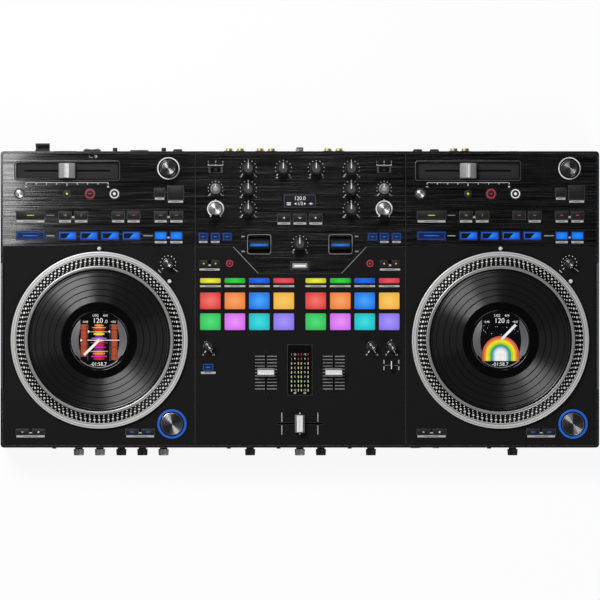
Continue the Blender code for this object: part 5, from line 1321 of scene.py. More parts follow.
@dataclass
class KeyBank:
    """The keys of one CAD bank, which move as one."""

    node: str
    keys: Sequence[Key]
    rounds: Sequence[RoundKey] = ()

    def rims(self) -> None:
        """Builds the thin bevelled edge of each key's hole, on the plate, in a lighter finish that paints the bevel's
        highlight; round a lit blue key it is blue, painted glow from the key.
        """
        form, open_ends = Form(), (False, False)
        for key in self.keys:
            steps = ((-0.85, INK), (-0.6, TOP + 0.3), (-0.35, TOP + 0.28), (-0.25, INK))
            rings = stepped((key.width, key.depth), 0.9, steps, (key.x, key.y), points=3)
            # Round a lit blue key the rim takes the blue finish: painted glow from the key.
            edge = 2 if key.look in KeyLook.blues() else 0
            form.loft(rings, [0, edge, edge, 1, 1], open_ends)
        for key in self.rounds:
            steps = ((0.8, INK), (0.55, TOP + 0.3), (0.3, TOP + 0.28), (0.2, INK))
            rings = [shifted(circle(key.radius + i, z, 48), key.x, key.y) for i, z in steps]
            form.loft(rings, [0, 0, 0, 1, 1], open_ends)
        form.piece(f"{self.node}_rims", "chassis", (KEY_RIM_HIGHLIGHT, HOLE_BLACK, BLUE_RIM_GLOW))

    def build(self) -> None:
        """Builds the bank in place of its CAD node."""
        self.rims()
        form = Form()
        for key in (*self.keys, *self.rounds):
            key.build(form)
        form.piece(f"{self.node}_tops", self.node, KEY_FINISHES, replaces=(self.node,), slot="key_black")


@dataclass
class Deck:
    """The plates, keys and marks of one deck, placed from the platter's axis."""

    hand: Hand
    tray_size: Spot = (130.9, 25.2)
    round_row: float = 130.2
    key_row: float = 103.7
    lit_row: float = 78.5
    bend_row: float = -163.45
    loop_x: float = -84.8
    page_x: Spot = (75.7, 95.0)
    sync_x: float = 23.2
    shift_x: float = -98.4
    lamp_x: float = -39.8
    bend_x: Spot = (-84.8, 50.3)
    small: float = 14.9
    wide: float = 34.3

    @property
    def name(self) -> str:
        """The word that the deck's pieces start with."""
        return self.hand.value

    @property
    def x(self) -> float:
        """The deck's axis."""
        return self.hand.deck_x

    def columns(self) -> tuple[Spot, ...]:
        """Lists the places of the key row.

        Returns:
            The place and width of each.
        """
        small, (first, second) = self.small, self.page_x
        return (
            (self.loop_x, self.wide), (-42.3, small), (-22.4, 15.4), (self.sync_x, small), (42.3, small),
            (first, small), (second, small),
        )

    def keys(self) -> list[Key]:
        """Lists the keys of the upper plate.

        Returns:
            The keys.
        """
        x, look = self.x, KeyLook
        keys = [Key(x + 74.3, 131.8, 12.1, 10.1), Key(x + 94.0, 131.5, 18.9, 16.5)]
        signs = ((look.AMBER, ""), (look.AMBER, "1/2"), (look.AMBER, "2"), *((look.RED, ""),) * 4)
        for (dx, width), (kind, text) in zip(self.columns(), signs):
            keys.append(Key(x + dx, self.key_row, 14.5 if dx == self.sync_x else width, 9.1, kind, text=text))
        keys.append(Key(x + self.loop_x, self.lit_row, self.wide, 9.7, look.WIDE_RING))
        keys += [Key(x + dx, self.lit_row, 21.5, 9.7, look.SPLIT) for dx in (-39.1, -12.9, 13.2, 39.4)]
        keys += [Key(x + dx, self.lit_row, self.small, 9.7, look.SOLID) for dx in self.page_x]
        return keys

    def banks(self) -> None:
        """Builds both key banks, and the round keys' chrome and lamp."""
        x, y, node = self.x, self.round_row, f"{self.name}_deck_keys"
        rounds = (
            RoundKey(x + self.shift_x, y, 5.9), RoundKey(x + self.lamp_x, y, 3.7),
            RoundKey(x - 11.5, y, 5.9, RoundLook.RED), RoundKey(x + 18.6, y, 5.9, RoundLook.WHITE),
        )
        KeyBank(node, self.keys(), rounds).build()
        cap = Form().turned(((0.01, 0.0), (5.0, 0.0), (5.0, 0.1), (4.7, 0.3), (0.01, 0.3)), 48, loop=False)
        cap.piece(f"{node}_chrome", node, (BRIGHT_SPUN,), (x + self.shift_x, y, TOP + KEY_RISE))
        lamp = Form().turned(((0.01, 0.0), (1.5, 0.0), (1.3, 0.25), (0.01, 0.4)), 24, loop=False)
        lamp.piece(f"{node}_lamp", node, (GREEN_LIGHT,), (x + self.lamp_x, y, TOP + KEY_RISE))
        pairs = ((KeyLook.MINUS, KeyLook.PLUS), (KeyLook.BLUE_MARK, KeyLook.BLUE_MARK))
        keys = [
            Key(x + dx + side * 9.95, self.bend_row, 14.8, 6.5, pair[side > 0])
            for dx, pair in zip(self.bend_x, pairs) for side in (-1, 1)
        ]
        KeyBank(f"{self.name}_bend_keys", keys).build()

    def tempo_scale(self, form: Form) -> None:
        """Prints the tempo slider's scale, with its minus and plus.

        Args:
            form: The form to add to.
        """
        x, y = self.x + TEMPO[0], TEMPO[1]
        front = y - self.tray_size[1] / 2 - 1.8
        form.bar(x, front - 0.3, 101.9, 0.5)
        for i in range(17):
            length = 4.4 if i == 8 else 2.6 if i % 2 == 0 else 1.5
            finish = Ink.WHITE if i % 2 == 0 else Ink.FAINT
            form.bar(x + (i - 8) * 6.325, front - length / 2, 0.75, length, finish=finish)
        for side in (-1, 1):
            form.bar(x + side * 50.6, front - 5.4, 2.6, 0.8)
        form.bar(x + 50.6, front - 5.4, 0.8, 2.6, INK + 0.01)

    def chips(self, form: Form) -> None:
        """Prints the label chips; the right deck has none under its sync key.

        Args:
            form: The form to add to.
        """
        first, second = self.page_x
        for dx, width in self.columns():
            if self.hand is Hand.LEFT or dx != self.sync_x:
                chip(form, self.x + dx, 96.2, width)
        for dx, y, width in ((74.3, 124.2, 11.6), (94.0, 120.6, 18.5), (first, 70.6, 14.9), (second, 70.6, 14.9)):
            chip(form, self.x + dx, y, width)
        for dx, width in zip(self.bend_x, (34.6, 34.0)):
            chip(form, self.x + dx, self.bend_row - 5.2, width)

    def gaps(self, form: Form) -> None:
        """Prints the dark gaps between neighbouring keys, each with its small light bar.

        Args:
            form: The form to add to.
        """
        places = ((-32.1, self.key_row, 3.6), (85.3, self.key_row, 3.4), (85.3, self.lit_row, 3.2))
        for dx, y, width in places:
            form.bar(self.x + dx, y + 0.6, width, 7.6, INK, Ink.GAP)
            form.bar(self.x + dx, y - 2.2, width * 0.8, 2.2, INK + 0.01, Ink.GREY)
        for dx in self.bend_x:
            form.bar(self.x + dx, self.bend_row, 4.2, 6.2, INK, Ink.GAP)
            form.bar(self.x + dx, self.bend_row - 0.9, 3.4, 1.5, INK + 0.01, Ink.GREY)

    def marks(self) -> None:
        """Prints the deck's scales, chips and lines."""
        form, x = Form(), self.x
        self.tempo_scale(form)
        self.chips(form)
        form.bar(x - 60.2, self.key_row, 9.4, 0.9, finish=Ink.FAINT)
        form.bar(x - 60.2, self.lit_row, 9.6, 0.9, finish=Ink.GREY)
        form.bar(x + 60.0, self.lit_row, 12.0, 0.9, finish=Ink.GREY)
        self.gaps(form)
        dial = (x + 84.8, 44.7)
        ticks(form, *dial, 9.2, 11, 0.6, 2.2)
        form.arc(*dial, 14.6, 1.1, 215, 233, finish=Ink.GREY)
        form.stroke((x + 92.0, 37.6), (x + 96.4, 34.4), 1.0, finish=Ink.GREY)
        if self.hand is Hand.LEFT:
            self.power_mark(form)
        form.piece(f"{self.name}_deck_print", "chassis", PRINT_FINISHES)

    def power_mark(self, form: Form) -> None:
        """Prints a small standby ring near the power switch.

        Args:
            form: The form to add to.
        """
        x, y = -251.3, 176.0
        form.arc(x, y, 1.3, 0.45, 120, 420).bar(x, y + 1.2, 0.45, 1.6, INK + 0.01)
        form.stroke((x - 8.2, y + 1.4), (x - 8.2, y - 1.0), 0.4, finish=Ink.GREY)
        form.stroke((x - 8.2, y - 1.0), (x - 3.6, y - 1.0), 0.4, finish=Ink.GREY)

    def tempo_tray(self) -> None:
        """Dresses the tempo tray with a smooth lip, a matt floor and a dark slot."""
        at, (width, depth), lip = (self.x + TEMPO[0], TEMPO[1]), self.tray_size, 2.7
        steps = (
            (0.0, TOP + 0.02), (0.3, TOP + 0.62), (0.9, TOP + 0.8), (1.5, TOP + 0.78), (lip - 0.2, TOP + 0.2),
            (lip, TOP - 0.6),
        )
        edge = stepped(self.tray_size, 3.4, steps, at, ease=1.0, least=0.8, points=6)
        form = Form().loft(edge, [0, 0, 0, 1, 1, 1, 0], (False, False))
        well = (width - 2 * lip, depth - 2 * lip)
        form.loft(stepped(well, 0.8, ((0.0, TOP - 0.6), (0.0, TOP - 2.9)), at, points=6), 2, (False, True))
        form.bar(*at, 106.5, 2.3, TOP - 2.85, 3)
        form.piece(f"{self.name}_tempo_tray", "chassis", (LIP_METAL, PANEL_MATT, TRAY_MATT, HOLE_BLACK))

    def selector_ring(self) -> None:
        """Builds the bright ring round the selector, over the dark well it stands in."""
        form = Form()
        form.turned(((13.8, 0.02), (13.8, 0.7), (13.5, 1.0), (12.6, 1.0), (12.3, 0.7), (12.3, 0.02)), 72)
        form.loft([circle(12.65, 0.04, 72), circle(6.4, 0.04, 72)], 1, (False, False))
        at = (self.x + SELECTOR[0], SELECTOR[1], TOP)
        form.piece(f"{self.name}_selector_ring", "chassis", (CAP_SILVER, HOLE_BLACK), at)

    def lamps(self) -> None:
        """Builds the two lamps that light the platter's dots."""
        reach = 112.8
        profile = ((2.5, -0.3), (2.5, 3.2), (2.3, 3.7), (1.7, 4.0), (0.01, 4.0))
        for number, angle in enumerate((math.radians(90), math.radians(40))):
            form = Form().turned(profile, 32, [0, 0, 0, 1, 1, 1], loop=False)
            at = (self.x + reach * math.cos(angle), DECK_Y + reach * math.sin(angle), TOP)
            form.piece(f"{self.name}_dot_lamp_{number + 1}", "chassis", (SOCKET_BLACK, WHITE_LIGHT), at)

    def build(self) -> None:
        """Builds the deck's dressing."""
        dress(f"{self.name}_deck_plate", PLATE_BLACK)
        dress(f"{self.name}_platter_panel", PANEL_MATT)
        dress(f"{self.name}_platter_motor", CAN_STEEL)
        self.banks()
        self.marks()
        self.tempo_tray()
        self.selector_ring()
        self.lamps()


@dataclass
class Platter:
    """A platter: satin flange, dark flank with four rows of bright dots, bead and bed."""

    hand: Hand
    rows: tuple[tuple[float, int, float], ...] = (
        (101.1, 112, 0.85), (98.3, 108, 1.45), (95.4, 104, 0.85), (93.1, 100, 0.8),
    )
    under: float = 55.5
    foot: Spot = (102.4, 58.5)
    crest: Spot = (91.5, 66.2)

    def profile(self) -> tuple[list[Spot], list[int]]:
        """Lists the section's points, and the finish of the band that starts at each.

        Returns:
            The points and the finishes.
        """
        # The walls and floors of the two grooves in the flange take the bead's and the casting's darker finishes:
        # painted shade in the grooves.
        points = [
            (109.0, 55.6, 0), (109.0, 57.9, 0), (108.7, 58.35, 0), (108.2, 58.5, 0), (107.3, 58.5, 1), (107.1, 58.2, 1),
            (106.8, 58.2, 1), (106.6, 58.5, 0), (104.2, 58.5, 1), (103.9, 58.1, 3), (103.5, 58.1, 1), (103.2, 58.5, 0),
            (*self.foot, 2), (*self.crest, 1), (91.1, 66.45, 1), (90.3, 66.5, 1), (88.6, 66.5, 1),
            (88.0, 66.3, 1), (87.8, 65.9, 2), (87.8, 63.9, 2), (36.5, 63.9, 2), (36.5, 62.2, 3), (11.9, 62.2, 3),
            (11.9, 40.1, 3), (17.0, 40.1, 3), (17.0, 58.7, 3), (83.8, 60.4, 3), (105.0, 55.6, 3),
        ]
        return [(r, z - self.under) for r, z, _ in points], [finish for *_, finish in points]

    def dots(self, form: Form) -> None:
        """Sets the rows of strobe dots proud of the flank.

        Args:
            form: The form to add to.
        """
        (foot, low), (crest, high) = self.foot, self.crest
        slope = math.atan2(high - low, foot - crest)
        for radius, count, size in self.rows:
            height = low + (foot - radius) * math.tan(slope) - self.under
            bead = Form()
            profile = ((size, -0.3), (size, 0.1), (size * 0.75, 0.3), (size * 0.3, 0.38))
            bead.loft([circle(r, z, 10) for r, z in profile], 4, (False, True))
            for i in range(count):
                turn = Matrix.Rotation(math.tau * i / count, 4, "Z")
                lean = Matrix.Translation((radius, 0, height)) @ Matrix.Rotation(slope, 4, "Y")
                form.merge(bead, turn @ lean)

    def build(self) -> None:
        """Builds the platter in place of its CAD node."""
        form = Form()
        points, finishes = self.profile()
        form.turned(points, 216, [*finishes, finishes[-1]])
        self.dots(form)
        node = f"{self.hand.value}_platter"
        parts = (SATIN_METAL, BEAD_METAL, FLANK_BLACK, CAST_METAL, DOT_METAL)
        form.piece(f"{node}_metal", node, parts, (self.hand.deck_x, DECK_Y, self.under), (node,), "platter_metal")


@dataclass
class Record:
    """The control record: a bead, grooved bands with plain lands between, and a gloss label."""

    hand: Hand
    lands: tuple[float, ...] = (83.9, 78.9, 70.6, 62.8, 55.0)
    low: float = 64.2
    bore: float = 36.5

    def build(self) -> None:
        """Builds the record in place of its CAD node."""
        top, groove = 66.2 - self.low, 65.9 - self.low
        valley, ridge = groove - 0.06, groove + 0.06
        points = [
            (self.bore, 0.0, 0), (86.6, 0.0, 1), (87.1, 0.4, 1), (87.1, 1.7, 1), (86.8, 2.05, 1), (86.2, 2.1, 1),
            (85.4, 1.9, 0),
        ]
        for land in self.lands:
            points += [
                (land + 0.55, valley, 1), (land + 0.35, ridge, 1), (land - 0.35, ridge, 1), (land - 0.55, valley, 0),
            ]
        points += [
            (47.3, valley, 1), (46.6, groove, 2), (46.3, top, 2), (37.2, top, 2), (36.7, top - 0.2, 2),
            (self.bore, top - 0.5, 0),
        ]
        form = Form()
        form.turned([(r, z) for r, z, _ in points], 216, [finish for *_, finish in points])
        node = f"{self.hand.value}_record"
        parts = (VINYL, VINYL_PLAIN, LABEL_GLOSS)
        form.piece(
            f"{node}_vinyl", node, parts, (self.hand.deck_x, DECK_Y, self.low), (node,), "record_black", sharp=20,
        )


class Hue(Enum):
    """The colours that the jog displays show, each with its middle and its edge."""

    WHITE = ((244, 244, 244), (228, 228, 228))
    YELLOW = ((240, 226, 44), (226, 206, 36))
    CREAM = ((236, 206, 128), (200, 150, 80))
    ORANGE = ((244, 150, 60), (214, 110, 40))
    RED = ((214, 44, 52), (170, 24, 36))
    MAGENTA = ((236, 44, 196), (170, 20, 140))
    PURPLE = ((136, 40, 170), (84, 12, 120))
    VIOLET = ((206, 160, 240), (150, 90, 200))
    RUST = ((182, 88, 46), (150, 58, 36))
    BRICK = ((176, 62, 48), (140, 42, 40))
    LIME = ((176, 214, 52), (150, 196, 44))
    GREEN = ((58, 166, 92), (48, 150, 84))
    CYAN = ((96, 184, 196), (70, 150, 176))
    LILAC = ((206, 206, 230), (190, 190, 220))
    CORAL = ((214, 104, 84), (190, 80, 66))

    @property
    def number(self) -> int:
        """The hue's place among a picture's finishes."""
        return list(Hue).index(self)

    def finish(self) -> Lit:
        """Returns the lit finish in this hue."""
        return lit(f"screen_{self.name.lower()}", *self.value)


@dataclass
class JogDisplay:
    """The round display in the record's middle, which shows a generic playing screen."""

    hand: Hand
    z: float = 65.93
    radius: float = 34.9
    window: float = 23.0
    bulge: float = 2.2
    glass: int = len(Hue)
    satin: int = len(Hue) + 1
    beats: tuple[tuple[float, float, Hue], ...] = (
        (3.2, 11.0, Hue.ORANGE), (1.6, 17.0, Hue.CREAM), (3.0, 14.0, Hue.RED), (1.4, 22.0, Hue.CREAM),
        (3.4, 13.0, Hue.YELLOW), (2.2, 10.0, Hue.PURPLE), (1.6, 19.0, Hue.VIOLET), (3.4, 12.0, Hue.ORANGE),
        (1.4, 21.0, Hue.RUST), (3.2, 13.0, Hue.RED), (2.4, 17.0, Hue.MAGENTA), (2.4, 12.0, Hue.PURPLE),
        (1.6, 22.0, Hue.CREAM), (3.2, 15.0, Hue.ORANGE), (3.0, 19.0, Hue.MAGENTA), (2.6, 14.0, Hue.RED),
    )
    arch: tuple[tuple[float, Hue], ...] = (
        (22.6, Hue.CORAL), (20.4, Hue.ORANGE), (18.4, Hue.YELLOW), (14.6, Hue.LIME), (12.6, Hue.GREEN),
        (10.6, Hue.CYAN), (8.8, Hue.LILAC), (7.0, Hue.WHITE),
    )

    def side_plates(self, form: Form) -> None:
        """Adds the satin half moons at both sides of the picture.

        Args:
            form: The form to add to.
        """
        tall = math.sqrt(self.radius**2 - self.window**2)
        heights = np.linspace(-tall, tall, 33)
        inner = self.window + self.bulge * np.clip(1 - (heights / 14) ** 2, 0, 1)
        outer = np.sqrt(self.radius**2 - heights**2)
        for side in (-1, 1):
            for i in range(32):
                low, high = heights[i:i + 2]
                corners = ((inner[i], low), (outer[i], low), (outer[i + 1], high), (inner[i + 1], high))
                form.flat([(side * x, y) for x, y in corners[::side]], self.z + 0.01, self.satin)
        form.arc(0, 0, self.radius - 1.1, 1.6, 214, 326, self.z + 0.01, self.satin)
        form.arc(0, 0, self.radius - 0.3, 0.4, 38, 142, self.z + 0.01, self.satin)

    def waves(self, form: Form) -> None:
        """Adds stacked wave bars in warm colours, and a column of the whole track at each side.

        Args:
            form: The form to add to.
        """
        y, z, white = 19.8, self.z + LIFT, Hue.WHITE.number
        for height, width, hue in self.beats:
            form.bar(0.0, y - height / 2, width, height * 0.62, z, hue.number)
            form.bar(0.0, y - height / 2, width * 0.66, height, z + 0.01, hue.number)
            y -= height + 0.3
        for x, low in ((-18.7, -20.4), (18.8, -25.4)):
            for i, place in enumerate(np.arange(18.6, low, -2.1)):
                hue = Hue.BRICK if i % 5 == 3 else Hue.RUST
                form.bar(x, place, 8.4 - 1.6 * abs(math.sin(i * 1.7)), 2.1, z, hue.number)
        for x in (-13.8, 13.5):
            form.bar(x, -3.0, 0.4, 45.0, z, self.satin)
        form.bar(5.6, 0.0, 39.5, 0.9, z + LIFT, white)
        for x, y, way in ((-12.4, 10.6, 1), (12.4, 10.6, -1), (-21.6, 0.0, 1)):
            points = [(x + way * 1.3, y), (x - way * 1.2, y + 1.9), (x - way * 1.2, y - 1.9)]
            form.flat(points[::way], z + 0.03, white)
        form.stroke((0.6, 0.6), (-18.4, -18.2), 3.1, z + 2 * LIFT, white)

    def rainbow(self, form: Form) -> None:
        """Adds an arch of colour bands, with straight feet, under a starry ground.

        Args:
            form: The form to add to.
        """
        centre, foot, z = -17.6, 8.0, self.z + LIFT
        for (radius, hue), (inner, _) in zip(self.arch, [*self.arch[1:], (0.0, Hue.WHITE)]):
            middle, width = (radius + inner) / 2, radius - inner
            form.arc(0, centre, middle, width, 0, 180, z, hue.number)
            for side in (-1, 1):
                form.bar(side * middle, centre - foot / 2, width, foot, z, hue.number)
        for i in range(26):
            x, y = 21.0 * math.sin(i * 2.4), 5.5 + 12.5 * abs(math.sin(i * 1.3))
            form.dot(x, y, 0.22 + 0.12 * (i % 3), z, Hue.LILAC.number, 6)
        form.stroke((1.0, 1.0), (18.6, 19.0), 3.1, z + 2 * LIFT, Hue.WHITE.number)

    def numbers(self, form: Form) -> None:
        """Adds the figures above and below the picture.

        Args:
            form: The form to add to.
        """
        for text, x, y, height in (
            ("120", -1.4, 23.9, 6.0), (".0", 8.4, 22.9, 4.0), ("1/02", -4.6, 30.2, 3.2), ("4/4", 7.8, 30.2, 3.2),
            ("0:48", -16.8, 22.5, 2.6), ("+8.0", 17.6, 22.5, 2.6), ("-01:58.7", -0.6, -29.6, 4.3),
        ):
            form.figures(text, x, y, height, self.z + 0.03, Hue.WHITE.number)

    def build(self) -> None:
        """Dresses the display's CAD node and adds its picture."""
        node = f"{self.hand.value}_jog_display"
        dress(node, GLASS_BLACK)
        form = Form()
        form.plate(circle(self.radius, self.z, 96), self.glass)
        self.side_plates(form)
        (self.waves if self.hand is Hand.LEFT else self.rainbow)(form)
        self.numbers(form)
        finishes = (*(hue.finish() for hue in Hue), GLASS_BLACK, SCREEN_SATIN)
        form.piece(f"{node}_picture", "chassis", finishes, (self.hand.deck_x, DECK_Y, 0.0))


@dataclass
class StartButton:
    """A start and stop button: a spun cap inside a ring that lights up."""

    hand: Hand
    place: Spot = (89.54, -153.5)

    def build(self) -> None:
        """Builds the button in place of its CAD node."""
        form = Form()
        profile = (
            (0.01, -6.0), (18.1, -6.0), (18.1, 1.5), (17.8, 1.85), (17.3, 2.0), (15.6, 2.0), (15.3, 1.8), (15.2, 1.2),
            (13.9, 1.2), (13.9, 2.7), (13.7, 3.0), (13.2, 3.15), (12.9, 3.15), (12.8, 3.0), (0.01, 3.0),
        )
        finishes = [1, 1, 1, 0, 0, 0, 0, 1, 1, 2, 2, 2, 2, 2, 3, 3]
        form.turned(profile, 96, finishes, loop=False)
        node = f"{self.hand.value}_start_button"
        at = (self.hand.deck_x + self.place[0], self.place[1], TOP)
        parts = (BLUE_RING, HOLE_BLACK, CHROME, DARK_SPUN)
        form.piece(f"{node}_cap", node, parts, at, (node,), "bright_metal")


class KnobLook(Enum):
    """The kinds of knob on the top of the case."""

    TONE = "black with a white line"
    TRIM = "grey with a short line"
    FILTER = "spun metal"
    SMALL = "black with a spun tip"
    STOP = "spun metal, small"
    SELECTOR = "black skirt and spun top"


@dataclass(frozen=True)
class KnobShape:
    """Sizes and finishes of one kind of knob."""

    radius: float
    height: float
    waist: float
    crown: float
    flutes: int
    finishes: tuple[Finish, Finish, Finish]


KNOB_SHAPES = {
    KnobLook.TONE: KnobShape(7.5, 16.5, 5.9, 5.0, 20, (KNOB_RUBBER, KNOB_TOP, INK_WHITE)),
    KnobLook.TRIM: KnobShape(6.5, 15.0, 5.5, 4.5, 18, (KNOB_GREY, KNOB_GREY, INK_WHITE)),
    KnobLook.FILTER: KnobShape(7.9, 17.0, 7.2, 6.9, 36, (CHROME, BRIGHT_SPUN, INK_WHITE)),
    KnobLook.SMALL: KnobShape(6.4, 13.0, 5.2, 4.0, 18, (DARK_CHROME, SMALL_SPUN, INK_WHITE)),
    KnobLook.STOP: KnobShape(6.4, 13.0, 5.4, 4.6, 24, (DARK_CHROME, SMALL_SPUN, INK_WHITE)),
    KnobLook.SELECTOR: KnobShape(10.6, 19.6, 9.7, 8.0, 40, (KNOB_RUBBER, DARK_SPUN, INK_WHITE)),
}


@dataclass
class Knob:
    """One knob on its shaft, in place of its CAD node."""

    node: str
    place: Spot
    look: KnobLook
    slot: str = "knob_black"

    def body(self, form: Form, shape: KnobShape) -> None:
        """Adds the skirt, the fluted waist and the crown with its inset top; the skirt's outer chamfer takes the top's
        lighter finish, a painted highlight round its outline.

        Args:
            form: The form to add to.
            shape: Sizes of this kind of knob.
        """
        top, grip = shape.height, min(3.8, shape.height * 0.3)
        rings = [
            *(circle(radius, z, 96) for radius, z in (
                (3.0, -4.4), (3.0, 0.8), (shape.radius - 0.2, 0.8), (shape.radius, 1.1),
                (shape.radius - 0.1, grip * 0.55), (shape.radius - 0.5, grip * 0.55 + 0.3),
            )),
            *(fluted(radius, z, depth, shape.flutes) for radius, z, depth in (
                (shape.waist + 0.2, grip, 0.1), (shape.waist, grip + 0.6, 0.32),
                (shape.waist - 0.15, top - 1.2, 0.32), (shape.waist - 0.4, top - 0.4, 0.12),
            )),
            *(circle(radius, z, 96) for radius, z in (
                (shape.crown + 0.35, top), (shape.crown + 0.05, top), (shape.crown, top - 0.2),
                (shape.crown * 0.8, top - 0.25), (shape.crown * 0.78, top - 0.05), (0.02, top - 0.02),
            )),
        ]
        groove = 3 if self.look is KnobLook.TRIM else 1
        # The lone 1 after the first five marks puts the top's lighter finish on the skirt's outer chamfer: a painted
        # highlight round the skirt's outline.
        form.loft(rings, [0] * 5 + [1] + [0] * 6 + [groove] * 3 + [1] * 2)

    def pointer(self, form: Form, shape: KnobShape) -> None:
        """Adds the raised line from the crown down the grip.

        Args:
            form: The form to add to.
            shape: Sizes of this kind of knob.
        """
        top, waist, half = shape.height - 0.15, shape.waist, 0.65
        if self.look is KnobLook.TONE:
            line = ((0.0, top), (waist + 0.35, top), (waist + 0.55, 4.6), (shape.radius + 0.1, 3.0))
        else:
            line = ((1.2, top), (waist + 0.2, top), (waist + 0.3, 4.6), (waist + 0.3, 4.2))
        form.loft([
            np.array([(-half, y, z - 0.3), (half, y, z - 0.3), (half, y + 0.02, z + 0.15), (-half, y + 0.02, z + 0.15)])
            for y, z in line
        ], 2)

    def build(self) -> None:
        """Builds the knob."""
        form, shape = Form(), KNOB_SHAPES[self.look]
        self.body(form, shape)
        if self.look in (KnobLook.TONE, KnobLook.TRIM):
            self.pointer(form, shape)
        finishes = (*shape.finishes, KNOB_GROOVE)
        form.piece(f"{self.node}_cap", self.node, finishes, (*self.place, TOP), (self.node,), self.slot, 40)


class Travel(Enum):
    """The way a fader moves."""

    ACROSS = "along X"
    UP = "along Y"


@dataclass
class FaderCap:
    """A silver fader cap with a hollowed crown, a line across its travel, and painted shade on its flanks and ends."""

    node: str
    place: Spot
    length: float
    depth: float
    height: float
    travel: Travel
    crest: float = 0.26
    skin: Finish = CAP_SILVER

    def section(self, share: float, drop: float) -> Ring:
        """Makes the cap's side view, drawn in for its rounded ends.

        Args:
            share: How much of its depth the cap has here.
            drop: How much of its height it lacks here.

        Returns:
            The ring.
        """
        half, crest, top, base = self.depth / 2, self.depth * self.crest, self.height, 1.2
        flank = [(half, base), (half, base + 2.2), (half - 0.2, base + 2.9)]
        low, high = flank[-1], (crest, top - 0.35)
        for step in (0.25, 0.5, 0.75, 1.0):
            flank.append((low[0] + (high[0] - low[0]) * step, low[1] + (high[1] - low[1]) * step**0.9))
        flank += [(crest - 0.25, top - 0.05), (crest - 0.6, top), (0.7, top - 0.25), (0.5, top - 0.5)]
        points = [*flank, *((-across, up) for across, up in reversed(flank))]
        return np.array([(0.0, across * share, base + (up - base) * (1 - drop)) for across, up in points])

    def shade_flanks(self, body: Form) -> None:
        """Gives the faces beside the crown the darker flank finish, which paints the shade on the sloping flanks.

        Args:
            body: The cap.
        """
        points = np.concatenate(body.points)
        for number, face in enumerate(body.faces):
            across = points[list(face)][:, 1].mean()
            if abs(across) > self.depth * self.crest + 0.1:
                body.marks[number] = 3

    def build(self) -> None:
        """Builds the cap in place of its CAD node."""
        form, half = Form(), self.length / 2
        steps = (
            (-half, 0.95, 0.12), (-half + 0.5, 0.99, 0.03), (-half + 0.9, 1.0, 0.0), (half - 0.9, 1.0, 0.0),
            (half - 0.5, 0.99, 0.03), (half, 0.95, 0.12),
        )
        rings = [self.section(share, drop) + np.array((x, 0.0, 0.0)) for x, share, drop in steps]
        # The rounded ends take the darker flank finish too: painted shade.
        body = Form().loft(rings, [3, 3, 3, 0, 3, 3, 3])
        self.shade_flanks(body)
        body.bar(0, 0, self.length - 1.6, 0.9, self.height - 0.48, 1)
        for way in (-1, 1):
            body.bar(0, way * 0.62, self.length - 1.6, 0.22, self.height - 0.3, 2)
        body.loft([rounded(4.4, 1.15, 0.3, z) for z in (-8.4, 1.6)], 2)
        turn = Matrix.Rotation(math.pi / 2, 4, "Z") if self.travel is Travel.ACROSS else Matrix.Identity(4)
        form.merge(body, turn)
        parts = (self.skin, CAP_LINE, CAP_DARK, CAP_FLANK_SHADE)
        form.piece(f"{self.node}_shell", self.node, parts, (*self.place, TOP), (self.node,), "cap_silver")


@dataclass
class Pad:
    """One performance pad: a crowned rubber block lit from below."""

    node: str
    name: str
    place: Spot
    finish: Lit
    size: Spot = (26.0, 21.2)
    rise: float = 2.2

    def build(self, first: bool) -> None:
        """Builds the pad, and hides the bank's CAD node with the first one.

        Args:
            first: Whether it is the first pad of its bank.
        """
        top = self.rise
        steps = (
            (0.0, -3.0), (0.0, top - 1.1), (0.12, top - 0.7), (0.42, top - 0.3), (0.9, top - 0.08), (1.6, top),
            (5.0, top),
        )
        rings = stepped(self.size, 1.5, steps, ease=0.3, least=0.6, points=5)
        form = Form().loft(rings, [1, 1, 1, 1, 0, 0, 0, 0])
        replaced = (self.node,) if first else ()
        form.piece(self.name, self.node, (self.finish, PAD_SIDE), (*self.place, TOP), replaced, "pad_rubber")


